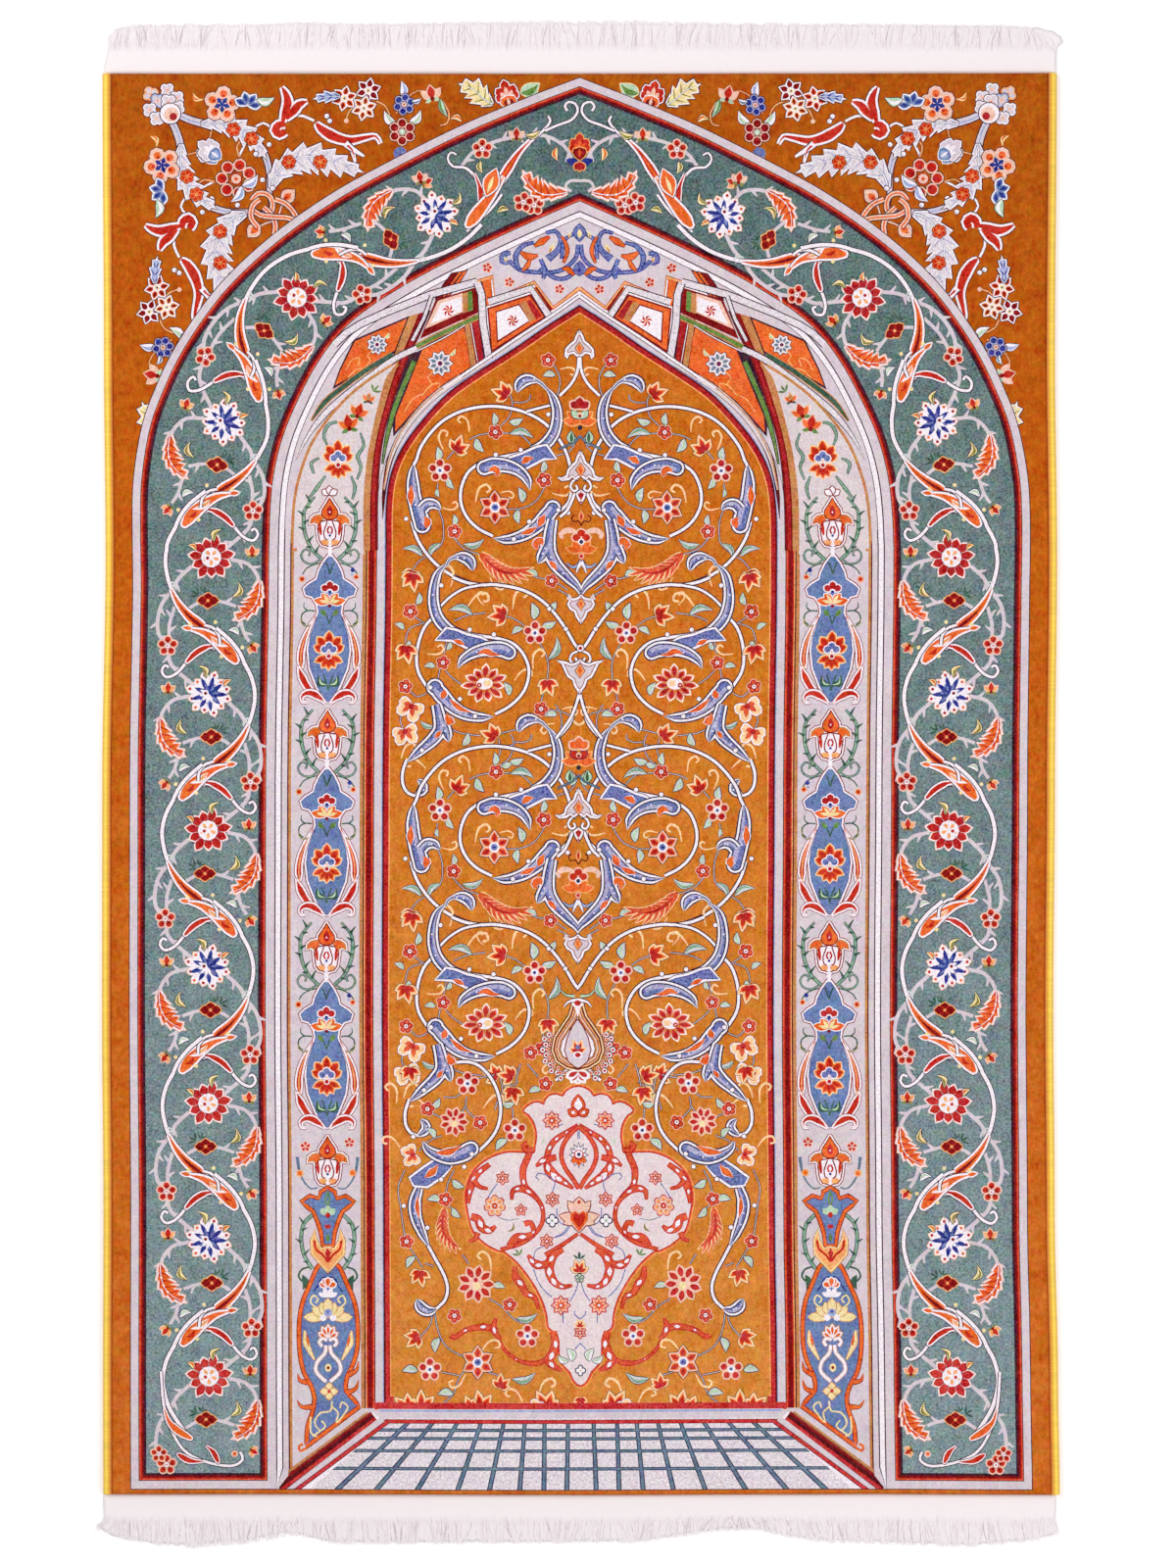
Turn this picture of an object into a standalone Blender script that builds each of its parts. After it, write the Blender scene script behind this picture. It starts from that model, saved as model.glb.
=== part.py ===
"""A pile prayer rug lying flat with its pile up, fringed at both ends and overcast along both sides.

The rug's length runs along Y, with the niche's point at +Y, and its underside lies on z = 0.
Five solids: the woven rug itself, an overcast binding on each side, and a fringe at each end.
"""

import math
import random

import bmesh
import bpy

# Driving dimensions, in metres.
RUG_WIDTH = 0.798  # over both bindings
PILE_LENGTH = 1.188  # from one end of the pile to the other, without the fringes
RUG_THICK = 0.0075  # a 2 mm woven back and 5.5 mm of cut pile
BINDING_WIDTH = 0.007
BINDING_HEIGHT = 0.0062
BAND_DEPTH = 0.019  # the plain white web that carries the fringe
BAND_THICK = 0.0018
FRINGE_REACH = 0.0455  # from the pile's end to the longest tip
SEWN_GAP = 0.0003  # left between two pieces that are sewn together

# How the cut pile rounds over at the rug's rim.
RIM_PROFILE = (
    # inset from the rim in metres, share of the full thickness
    (0.0, 0.62),
    (0.0006, 0.84),
    (0.0018, 0.96),
    (0.0042, 1.0),
)
INNER_COLUMNS = 10
INNER_ROWS = 26

# The sides sway a little where the rug lies: metres inwards, at a share of the way up the rug.
SIDE_SWAY = (
    # share, left side, right side
    (0.00, 0.0012, -0.0018),
    (0.08, 0.0010, -0.0004),
    (0.20, 0.0014, 0.0024),
    (0.34, 0.0002, 0.0036),
    (0.50, 0.0004, 0.0022),
    (0.66, 0.0032, 0.0004),
    (0.80, 0.0018, 0.0022),
    (1.00, 0.0006, 0.0006),
)
END_WAVE = 0.0005  # the weaver's end line bows by this much
END_WAVES = 3.0

# Half of a flat-bottomed oval: the overcast roll's section, from its sewn side outwards.
BINDING_SECTION = (
    # share of the width, share of the height
    (0.00, 0.00),
    (0.00, 0.66),
    (0.12, 0.88),
    (0.34, 1.00),
    (0.62, 0.97),
    (0.86, 0.76),
    (0.98, 0.44),
    (0.96, 0.16),
    (0.86, 0.00),
)
BINDING_STATIONS = 40

LOCKS = 120  # locks of warp ends in each fringe
LOCK_FILL = 0.80  # share of the pitch that a lock's root fills
TIP_FILL = 0.52
MID_THICK = 0.0021
TIP_THICK = 0.0009
LEAN_SPREAD = 0.0009  # how far one lock leans from its neighbours' way
LEAN_SEED = 7

# How much shorter than its reach each fringe is combed: metres, at a share of the way across.
FRINGE_DIP = (
    # share, top fringe, bottom fringe
    (0.000, 0.0110, 0.0080),
    (0.030, 0.0024, 0.0042),
    (0.090, 0.0024, 0.0000),
    (0.150, 0.0024, 0.0034),
    (0.200, 0.0008, 0.0106),
    (0.250, 0.0020, 0.0030),
    (0.450, 0.0000, 0.0038),
    (0.550, 0.0000, 0.0042),
    (0.670, 0.0018, 0.0148),
    (0.760, 0.0022, 0.0040),
    (0.920, 0.0034, 0.0004),
    (0.970, 0.0036, 0.0024),
    (1.000, 0.0120, 0.0080),
)
# How far the outermost lock's tip leans outwards, and the part of the width over which that dies away.
SPLAY = 0.0098
SPLAY_WIDTH = 0.055
CORNER_SPLAY = {
    # end: (left corner, right corner), in shares of SPLAY
    "top": (-0.35, 1.0),
    "bottom": (1.0, 0.62),
}

HALF_WIDTH = RUG_WIDTH / 2
HALF_LENGTH = PILE_LENGTH / 2


def smooth_between(table, share, column):
    """The table's column at this share, eased between its rows."""
    for low, high in zip(table, table[1:]):
        if share <= high[0]:
            t = (share - low[0]) / (high[0] - low[0])
            eased = t * t * (3 - 2 * t)
            return low[column] + (high[column] - low[column]) * eased
    return table[-1][column]


def outer_side(side, y):
    """x of the binding's outer edge at y, on side -1 (left) or +1 (right)."""
    share = min(max((y + HALF_LENGTH) / PILE_LENGTH, 0.0), 1.0)
    inwards = smooth_between(SIDE_SWAY, share, 1 if side < 0 else 2)
    return side * (HALF_WIDTH - inwards)


def rug_side(side, y):
    """x of the woven rug's own edge, beside the binding."""
    return outer_side(side, y) - side * (BINDING_WIDTH + SEWN_GAP)


def rug_end(end, x):
    """y of the pile's end at x, on end -1 (bottom) or +1 (top)."""
    return end * (HALF_LENGTH - END_WAVE * (1 + math.sin(END_WAVES * math.pi * x / RUG_WIDTH + end)))


def finish_object(name, bm, colour, roughness):
    """Closes the mesh, gives the object its own material and puts it in the scene."""
    bmesh.ops.recalc_face_normals(bm, faces=bm.faces)
    mesh = bpy.data.meshes.new(name)
    bm.to_mesh(mesh)
    bm.free()
    material = bpy.data.materials.new(name)
    material.use_nodes = True
    shader = material.node_tree.nodes["Principled BSDF"]
    shader.inputs["Base Color"].default_value = (*colour, 1.0)
    shader.inputs["Roughness"].default_value = roughness
    shader.inputs["Metallic"].default_value = 0.0
    mesh.materials.append(material)
    obj = bpy.data.objects.new(name, mesh)
    bpy.context.scene.collection.objects.link(obj)
    mesh.shade_smooth()
    mesh.set_sharp_from_angle(angle=math.radians(35))
    return obj


def rim_stations(length, inner_steps):
    """Distances from one rim to the other: close together at each rim, even in between."""
    insets = [row[0] for row in RIM_PROFILE]
    inner = length - 2 * insets[-1]
    middle = [insets[-1] + inner * k / inner_steps for k in range(1, inner_steps)]
    return insets + middle + [length - inset for inset in reversed(insets)]


def rim_height(inset):
    """The pile's height above the floor this far in from the nearest rim."""
    for (near, low), (far, high) in zip(RIM_PROFILE, RIM_PROFILE[1:]):
        if inset < far:
            return RUG_THICK * (low + (high - low) * (inset - near) / (far - near))
    return RUG_THICK


def build_rug():
    """The woven rug: a flat slab with a swaying outline and a rounded pile rim."""
    across = rim_stations(RUG_WIDTH, INNER_COLUMNS)
    along = rim_stations(PILE_LENGTH, INNER_ROWS)
    bm = bmesh.new()
    top = []
    for down in along:
        row = []
        for right in across:
            nominal_x = right - HALF_WIDTH
            nominal_y = down - HALF_LENGTH
            low, high = rug_end(-1, nominal_x), rug_end(1, nominal_x)
            y = low + (high - low) * down / PILE_LENGTH
            left, far = rug_side(-1, nominal_y), rug_side(1, nominal_y)
            x = left + (far - left) * right / RUG_WIDTH
            inset = min(right, RUG_WIDTH - right, down, PILE_LENGTH - down)
            row.append(bm.verts.new((x, y, rim_height(max(inset, 0.0)))))
        top.append(row)
    for lower, upper in zip(top, top[1:]):
        for k in range(len(across) - 1):
            bm.faces.new((lower[k], lower[k + 1], upper[k + 1], upper[k]))
    rim = top[0] + [row[-1] for row in top[1:-1]] + top[-1][::-1] + [row[0] for row in top[-2:0:-1]]
    foot = [bm.verts.new((v.co.x, v.co.y, 0.0)) for v in rim]
    for k, v in enumerate(rim):
        after = (k + 1) % len(rim)
        bm.faces.new((v, foot[k], foot[after], rim[after]))
    bm.faces.new(foot[::-1])
    return finish_object("rug", bm, (0.56, 0.17, 0.02), 0.9)


def build_binding(side, name):
    """The overcast yarn roll along one side, level on the floor."""
    bm = bmesh.new()
    rings = []
    for station in range(BINDING_STATIONS + 1):
        nominal_y = -HALF_LENGTH + PILE_LENGTH * station / BINDING_STATIONS
        inner = rug_side(side, nominal_y) + side * SEWN_GAP
        low, high = rug_end(-1, side * HALF_WIDTH), rug_end(1, side * HALF_WIDTH)
        y = low + (high - low) * station / BINDING_STATIONS
        ring = [
            bm.verts.new((inner + side * BINDING_WIDTH * out, y, BINDING_HEIGHT * up))
            for out, up in BINDING_SECTION
        ]
        rings.append(ring)
    for first, second in zip(rings, rings[1:]):
        for k in range(len(first)):
            after = (k + 1) % len(first)
            bm.faces.new((first[k], first[after], second[after], second[k]))
    bm.faces.new(rings[0])
    bm.faces.new(rings[-1][::-1])
    return finish_object(name, bm, (0.86, 0.55, 0.04), 0.7)


def fringe_lean(end_name, share):
    """How far a tip at this share of the width leans outwards at its corner, towards +X."""
    left, right = CORNER_SPLAY[end_name]
    near_left = max(0.0, 1 - share / SPLAY_WIDTH)
    near_right = max(0.0, 1 - (1 - share) / SPLAY_WIDTH)
    return SPLAY * (right * near_right**1.5 - left * near_left**1.5)


def build_fringe(end, end_name):
    """A plain woven band along the rug's end, with locks of warp ends that grow out of it."""
    chance = random.Random(LEAN_SEED + end)
    pitch = RUG_WIDTH / LOCKS
    bm = bmesh.new()

    def column(x, y):
        """A bottom and a top point of the band."""
        return bm.verts.new((x, y, 0.0)), bm.verts.new((x, y, BAND_THICK))

    inner, outer = [], []
    for k in range(LOCKS):
        middle = -HALF_WIDTH + pitch * (k + 0.5)
        for half in (-1, 1):
            x = middle + half * pitch * LOCK_FILL / 2
            sewn = rug_end(end, x) + end * SEWN_GAP
            inner.append(column(x, sewn))
            outer.append(column(x, end * (HALF_LENGTH + BAND_DEPTH)))
    for k in range(2 * LOCKS - 1):
        (a, a_up), (b, b_up) = inner[k], inner[k + 1]
        (c, c_up), (d, d_up) = outer[k], outer[k + 1]
        bm.faces.new((a, c, d, b))
        bm.faces.new((a_up, b_up, d_up, c_up))
        bm.faces.new((a, b, b_up, a_up))
        if k % 2:
            bm.faces.new((c, c_up, d_up, d))
    for k in (0, -1):
        (a, a_up), (c, c_up) = inner[k], outer[k]
        bm.faces.new((a, a_up, c_up, c))

    for k in range(LOCKS):
        share = (k + 0.5) / LOCKS
        root_y = end * (HALF_LENGTH + BAND_DEPTH)
        dip = smooth_between(FRINGE_DIP, share, 1 if end > 0 else 2)
        tip_y = end * (HALF_LENGTH + FRINGE_REACH - dip)
        at_rim = k in (0, LOCKS - 1)
        lean = fringe_lean(end_name, share)
        if not at_rim:
            lean += chance.uniform(-LEAN_SPREAD, LEAN_SPREAD)
        middle = -HALF_WIDTH + pitch * (k + 0.5)
        ring = [outer[2 * k][0], outer[2 * k + 1][0], outer[2 * k + 1][1], outer[2 * k][1]]
        for along, fill, thick, leaned in (
            (0.5, (LOCK_FILL + TIP_FILL) / 2, MID_THICK, 0.35),
            (1.0, TIP_FILL, TIP_THICK, 1.0),
        ):
            x = middle + lean * leaned
            y = root_y + (tip_y - root_y) * along
            half = pitch * fill / 2
            after = [
                bm.verts.new((x - half, y, 0.0)),
                bm.verts.new((x + half, y, 0.0)),
                bm.verts.new((x + half, y, thick)),
                bm.verts.new((x - half, y, thick)),
            ]
            for i in range(4):
                j = (i + 1) % 4
                bm.faces.new((ring[i], ring[j], after[j], after[i]))
            ring = after
        bm.faces.new(ring)
    return finish_object(f"fringe_{end_name}", bm, (0.88, 0.84, 0.85), 0.85)


def main():
    for obj in list(bpy.data.objects):
        bpy.data.objects.remove(obj)
    build_rug()
    build_binding(-1, "binding_left")
    build_binding(1, "binding_right")
    build_fringe(1, "top")
    build_fringe(-1, "bottom")


main()
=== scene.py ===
# %% [markdown]
# # A prayer rug with a pointed niche
# The real thing is one flat machine-woven rug: a woven back, a dense cut pile that carries the design,
# an overcast binding along each side and a combed cotton fringe at each end. This notebook keeps that
# order. The design is first drawn as a weaver draws it, on a squared chart, and is then cut out of the
# pile. The bindings and fringes come next, and the floor, lights and camera last.

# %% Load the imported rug
import math

import bmesh
import bpy
import numpy as np
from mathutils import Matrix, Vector
from mathutils.geometry import delaunay_2d_cdt


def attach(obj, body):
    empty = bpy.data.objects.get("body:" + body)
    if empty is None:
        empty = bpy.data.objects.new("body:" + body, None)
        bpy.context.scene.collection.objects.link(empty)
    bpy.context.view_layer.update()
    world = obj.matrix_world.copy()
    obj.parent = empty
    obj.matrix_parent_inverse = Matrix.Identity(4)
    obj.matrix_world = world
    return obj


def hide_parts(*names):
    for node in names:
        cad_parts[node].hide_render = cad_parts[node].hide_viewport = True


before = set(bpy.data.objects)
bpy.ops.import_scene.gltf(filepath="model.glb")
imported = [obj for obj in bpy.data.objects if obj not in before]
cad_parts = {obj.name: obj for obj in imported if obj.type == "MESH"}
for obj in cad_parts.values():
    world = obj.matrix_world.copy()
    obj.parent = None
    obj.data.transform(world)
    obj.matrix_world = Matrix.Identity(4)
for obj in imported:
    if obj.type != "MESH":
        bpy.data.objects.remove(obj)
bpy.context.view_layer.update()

print("nodes:", sorted(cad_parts))

# %% [markdown]
# ## The chart
# A carpet is woven from a squared chart in which each square is one knot. Here a knot is 0.818 mm, a
# fine quality, and the chart's sheet is 1200 squares wide and 1600 high: columns count from the left
# and rows from the top. The pile fills columns 112.6 to 1070.4 and rows 74.5 to 1525.5. The design turns
# over at its middle line, column 591.5, so only the left half is drawn, as on a real chart.

# %% The chart's squares, in metres
KNOT = 0.000818  # metres from one square to the next
MIDDLE_COLUMN = 591.5
MIDDLE_ROW = 800.0
PILE_LEFT = 112.6  # columns and rows at the pile's rim
PILE_TOP = 74.5
PILE_BOTTOM = 1525.5
SHEET_TOP = 60  # rows at which the half chart's ground begins and ends, a little past the pile
SHEET_BOTTOM = 1540
SHEET_LEFT = PILE_LEFT - 8
PAST_MIDDLE = 600  # the half chart's outlines run on to here, and the pile is cut at the middle line
PILE_LENGTH = 1.188
RUG_WIDTH = 0.798
HALF_WIDTH = RUG_WIDTH / 2
HALF_LENGTH = PILE_LENGTH / 2
BINDING_WIDTH = 0.007
SEWN_GAP = 0.0003

# The sides sway a little where the rug lies: metres inwards, at a share of the way up the rug.
SIDE_SWAY = (
    # share, left side, right side
    (0.00, 0.0012, -0.0018),
    (0.08, 0.0010, -0.0004),
    (0.20, 0.0014, 0.0024),
    (0.34, 0.0002, 0.0036),
    (0.50, 0.0004, 0.0022),
    (0.66, 0.0032, 0.0004),
    (0.80, 0.0018, 0.0022),
    (1.00, 0.0006, 0.0006),
)
END_WAVE = 0.0005
END_WAVES = 3.0


def smooth_between(table, shares, column):
    """The table's column at these shares, eased between its rows."""
    shares = np.clip(np.asarray(shares, dtype=float), table[0][0], table[-1][0])
    stops = np.array([row[0] for row in table])
    values = np.array([row[column] for row in table])
    k = np.clip(np.searchsorted(stops, shares, side="left"), 1, len(stops) - 1)
    t = (shares - stops[k - 1]) / (stops[k] - stops[k - 1])
    eased = t * t * (3 - 2 * t)
    return values[k - 1] + (values[k] - values[k - 1]) * eased


def outer_side(side, y):
    """x of the binding's outer edge at y, on side -1 (left) or +1 (right)."""
    share = (np.asarray(y, dtype=float) + HALF_LENGTH) / PILE_LENGTH
    return side * (HALF_WIDTH - smooth_between(SIDE_SWAY, share, 1 if side < 0 else 2))


def rug_side(side, y):
    """x of the woven rug's own edge, beside the binding."""
    return outer_side(side, y) - side * (BINDING_WIDTH + SEWN_GAP)


def rug_end(end, x):
    """y of the pile's end at x, on end -1 (bottom) or +1 (top)."""
    wave = np.sin(END_WAVES * math.pi * np.asarray(x, dtype=float) / RUG_WIDTH + end)
    return end * (HALF_LENGTH - END_WAVE * (1 + wave))


def lay_on_rug(squares):
    """Chart squares (column, row) to x and y in metres, stretched to the rug's own swaying edges."""
    squares = np.asarray(squares, dtype=float)
    across = (squares[:, 0] - PILE_LEFT) / (2 * (MIDDLE_COLUMN - PILE_LEFT))
    up = (PILE_BOTTOM - squares[:, 1]) / (PILE_BOTTOM - PILE_TOP)
    nominal_x = RUG_WIDTH * (across - 0.5)
    nominal_y = PILE_LENGTH * (up - 0.5)
    low, high = rug_end(-1, nominal_x), rug_end(1, nominal_x)
    left, right = rug_side(-1, nominal_y), rug_side(1, nominal_y)
    return np.column_stack((left + (right - left) * across, low + (high - low) * up))


print("the pile's first corner:", lay_on_rug([(PILE_LEFT, PILE_BOTTOM)]).round(4).tolist())

# %% [markdown]
# ## The yarns
# The rug is woven in some thirty dyed yarns. Each gets a plain name, and its colour is given as a dyer's
# card would, in the 0 to 255 steps of a screen. Blender works in linear light, so they are converted.

# %% The yarn card
YARNS = {
    # name: red, green, blue on a screen
    "amber": (186, 89, 6),
    "gold": (216, 127, 40),
    "teal": (110, 130, 130),
    "night": (64, 32, 50),
    "ink": (44, 44, 74),
    "white": (246, 236, 243),
    "lavender": (216, 201, 209),
    "cream": (222, 207, 210),
    "butter": (244, 220, 164),
    "mist": (206, 208, 208),
    "scarlet": (220, 88, 56),
    "red": (194, 44, 28),
    "crimson": (180, 32, 36),
    "wine": (132, 13, 16),
    "brown": (86, 18, 28),
    "orange": (232, 104, 46),
    "apricot": (244, 168, 108),
    "blush": (240, 194, 176),
    "ochre": (198, 132, 82),
    "blue": (110, 118, 174),
    "sky": (160, 172, 214),
    "steel": (108, 128, 176),
    "navy": (44, 54, 136),
    "green": (104, 136, 70),
    "olive": (140, 132, 70),
    "mint": (184, 208, 178),
    "moss": (62, 92, 76),
    "slate": (104, 124, 146),
    "sage": (132, 166, 140),
    "peach": (252, 208, 160),
    "lilac": (176, 170, 204),
    "pearl": (226, 215, 222),
    "shell": (232, 214, 217),
}
# how much one knot differs from the next, where it isn't the plain amount
PLAIN_GRAIN = 0.4
GRAIN = {"teal": 0.6, "blue": 0.8, "lilac": 0.6, "navy": 0.6, "lavender": 0.2, "pearl": 0.6, "white": 0.4,
         "cream": 0.3, "shell": 0.3, "amber": 0.14, "gold": 0.28, "crimson": 0.5, "wine": 0.5}


def linear(channel):
    """One channel of a screen colour in linear light."""
    share = channel / 255
    return share / 12.92 if share <= 0.04045 else ((share + 0.055) / 1.055) ** 2.4


YARN_NAMES = list(YARNS)
YARN_COLOURS = np.array([[linear(channel) for channel in YARNS[name]] for name in YARN_NAMES])
YARN_GRAIN = np.array([GRAIN.get(name, PLAIN_GRAIN) for name in YARN_NAMES])
print(len(YARN_NAMES), "yarns")

# %% [markdown]
# ## Drawing on the chart
# Everything on the chart is a closed outline filled with one yarn, and a later outline lies over the
# earlier ones, like cut paper. A vine is a line with a width, a petal is a short outline, and a motif is a
# small set of outlines that is turned, sized and set down wherever the design repeats it.

# %% The drawing tools
chart = []  # (outline, yarn), the lowest first


def ink(outline, yarn):
    """Lays one closed outline on the chart."""
    chart.append((np.asarray(outline, dtype=float), yarn))


def smooth(points, step=4.0):
    """A soft curve through the points, with a new point about every `step` squares."""
    p = np.asarray(points, dtype=float)
    before = np.vstack([2 * p[0] - p[1], p[:-1]])
    after = np.vstack([p[2:], 2 * p[-1] - p[-2]])
    out = []
    for k in range(len(p) - 1):
        a, b, c, d = before[k], p[k], p[k + 1], after[k]
        count = max(2, int(round(np.hypot(*(c - b)) / step)))
        t = np.linspace(0, 1, count, endpoint=False)[:, None]
        out.append(0.5 * (2 * b + (c - a) * t + (2 * a - 5 * b + 4 * c - d) * t**2
                          + (3 * b - a - 3 * c + d) * t**3))
    return np.vstack(out + [p[-1:]])


def normals(line):
    """Unit normals of a line's points, to the left of the way it runs."""
    along = np.gradient(line, axis=0)
    along /= np.maximum(np.hypot(along[:, 0], along[:, 1]), 1e-9)[:, None]
    return np.column_stack((along[:, 1], -along[:, 0]))


def ribbon(line, width):
    """The outline of a line with a width: one number, or (share, width) stops along it."""
    line = np.asarray(line, dtype=float)
    if np.ndim(width):
        stops = np.array(width, dtype=float)
        walked = np.concatenate([[0], np.cumsum(np.hypot(*np.diff(line, axis=0).T))])
        half = np.interp(walked / walked[-1], stops[:, 0], stops[:, 1]) / 2
    else:
        half = np.full(len(line), width / 2)
    aside = normals(line) * half[:, None]
    return np.vstack([line + aside, (line - aside)[::-1]])


def widened(width, extra):
    """A width, or its stops, with something added all along."""
    return [(share, value + extra) for share, value in width] if np.ndim(width) else width + extra


def vine(line, width, yarn="white", edge="night", rim=0.9):
    """A stem with a dark edge of `rim` squares on either side, or with none."""
    if edge:
        ink(ribbon(line, widened(width, 2 * rim)), edge)
    ink(ribbon(line, width), yarn)


def oval(centre, across, high=None, sides=10):
    """An oval's outline, `across` and `high` in all."""
    high = across if high is None else high
    angle = np.linspace(0, 2 * math.pi, sides, endpoint=False)
    return np.column_stack((np.cos(angle) * across / 2, np.sin(angle) * high / 2)) + centre


def turned(points, degrees):
    """Points turned about the origin, clockwise on the chart."""
    a = math.radians(degrees)
    return np.asarray(points,
                      dtype=float) @ np.array([[math.cos(a), math.sin(a)], [-math.sin(a), math.cos(a)]])


def petal(length, width, widest=0.6, point=0.0, start=0.0, sides=5):
    """A petal that grows up the chart from the origin: `point` 0 is round, 1 is pointed."""
    t = np.linspace(0, 1, sides + 2)[1:-1]
    beyond = np.clip((t - widest) / (1 - widest), 0, 1)
    swell = np.where(t < widest, np.sin(np.minimum(t / widest, 1) * math.pi / 2),
                     np.cos(beyond * math.pi / 2) ** (0.5 + 0.8 * point))
    half = width / 2 * swell
    reach = start + (length - start) * t
    right = np.column_stack((half, -reach))
    left = np.column_stack((-half, -reach))[::-1]
    return np.vstack([[(0, -start)], right, [(0, -length)], left])


def crescent(length, width, bend=0.35, sides=5):
    """A curved leaf from the origin up the chart, bowed to the right by a share of its length."""
    t = np.linspace(0, 1, sides + 2)
    bow = bend * length * np.sin(math.pi * t)
    half = width / 2 * np.sin(math.pi * t**0.8)
    outer = np.column_stack((bow + half, -length * t))
    inner = np.column_stack((bow - half, -length * t))[::-1]
    return np.vstack([outer, inner[1:-1]])


def grown(outline, by):
    """A closed outline made fatter by so many squares, or thinner where negative."""
    points = np.asarray(outline, dtype=float)
    along = np.roll(points, -1, axis=0) - np.roll(points, 1, axis=0)
    along /= np.maximum(np.hypot(along[:, 0], along[:, 1]), 1e-9)[:, None]
    x, y = points.T
    clockwise = np.sum(x * np.roll(y, -1) - np.roll(x, -1) * y) > 0
    aside = np.column_stack((along[:, 1], -along[:, 0]))
    return points + aside * (by if clockwise else -by)


def set_down(motif, at, turn=0.0, size=1.0, flip=False, onto=None):
    """Lays a motif's outlines on the chart. `onto` maps its points to another path, such as an arch."""
    for outline, yarn in motif:
        points = np.asarray(outline, dtype=float) * size
        if flip:
            points = points * (-1, 1)
        points = turned(points, turn) + at
        ink(points if onto is None else onto(points), yarn)


def dot(across, sides, yarn, at=(0, 0)):
    """A round spot of one yarn."""
    return oval(at, across, sides=sides), yarn


def fan(turns, outline, yarn, at=(0, 0)):
    """The same outline at several turns, moved to a place."""
    return [(turned(outline, turn) + at, yarn) for turn in turns]


def stacked(shape, *layers):
    """One outline in several sizes: (squares to grow it by, yarn) for each, the lowest first."""
    return [(grown(shape, by), yarn) for by, yarn in layers]


def drawn(points, width, yarn, step=4):
    """A soft line through the points, with a width."""
    return ribbon(smooth(points, step), width), yarn


def stroke(points, width, yarn, step=4):
    """Lays a soft line with a width on the chart."""
    ink(*drawn(points, width, yarn, step))


def on_middle(motif, row):
    """Lays a motif on the chart's middle line."""
    set_down(motif, (MIDDLE_COLUMN, row))


print("a petal has", len(petal(10, 6)), "points")
# %% [markdown]
# ## The small motifs
# The same few plants come back all over the rug: round blossoms with a pale rim, three-petalled buds,
# serrated leaves, curved leaflets and split leaves that swell out of a vine. Each is a short function that
# gives a list of outlines growing up the chart from their own origin, to be turned and set down.

# %% Blossoms and buds
def ring_of(count, outline, yarn, first=0.0):
    """The same petal set round a centre."""
    return [(turned(outline, first + 360 * k / count), yarn) for k in range(count)]


def ring_spots(count, radius, first=0.0):
    """Places set round a centre."""
    return [turned([(0, -radius)], first + 360 * k / count)[0] for k in range(count)]


def blossom(radius, petals=5, rim="blush", body="red", heart="wine", core=("white", "red"), edge=None,
            fill=0.7):
    """A small blossom of separate round petals, each rimmed and darker within, and a two-coloured core."""
    across = 1.42 * radius * math.sin(math.pi / petals)
    spots = ring_spots(petals, radius - across / 2)
    rounds = ((across + 2.4, edge), (across + 0.6, rim), (across * fill, body))
    out = [dot(wide, 8, yarn, spot) for wide, yarn in rounds if yarn for spot in spots]
    if heart:
        out += [dot(across * fill * 0.46, 5, heart, spot * 0.8) for spot in spots]
    return out + [dot(radius * 0.62, 8, heart or body), dot(radius * 0.5, 8, core[0]),
                  dot(radius * 0.2, 5, core[1])]


def quatrefoil(radius):
    """A four-petalled flower, longer across than high, with a small pale core."""
    out = [(turned(grown(petal(radius * reach, radius * 0.82, 0.55, 1.0), grow), turn), yarn)
           for grow, yarn in ((1.2, "apricot"), (0.0, "wine"))
           for turn, reach in ((0, 0.72), (180, 0.72), (90, 1.0), (270, 1.0))]
    out.append(dot(radius * 0.34, 6, "apricot"))
    return out + ring_of(4, petal(radius * 0.5, radius * 0.18, 0.5, 1.0, start=1.2, sides=2), "red", 45)


def bud(size=8, body="red", side="apricot", sepal="olive"):
    """A bud of three petals that opens up the chart, on two small sepals."""
    out = [(grown(petal(size, size * 0.62, 0.45, 1.0), 1.1), "blush")]
    out += [(grown(turned(petal(size * 0.95, size * 0.5, 0.5, 1.0), turn), 1.0), "blush")
            for turn in (-48, 48)]
    out += fan((-48, 48), petal(size * 0.9, size * 0.42, 0.5, 1.0), side)
    out.append((petal(size, size * 0.56, 0.45, 1.0), body))
    out += fan((-110, 110), petal(size * 0.62, size * 0.3, 0.5, 1.0), sepal)
    return out + [dot(size * 0.36, 6, "wine")]


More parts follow.
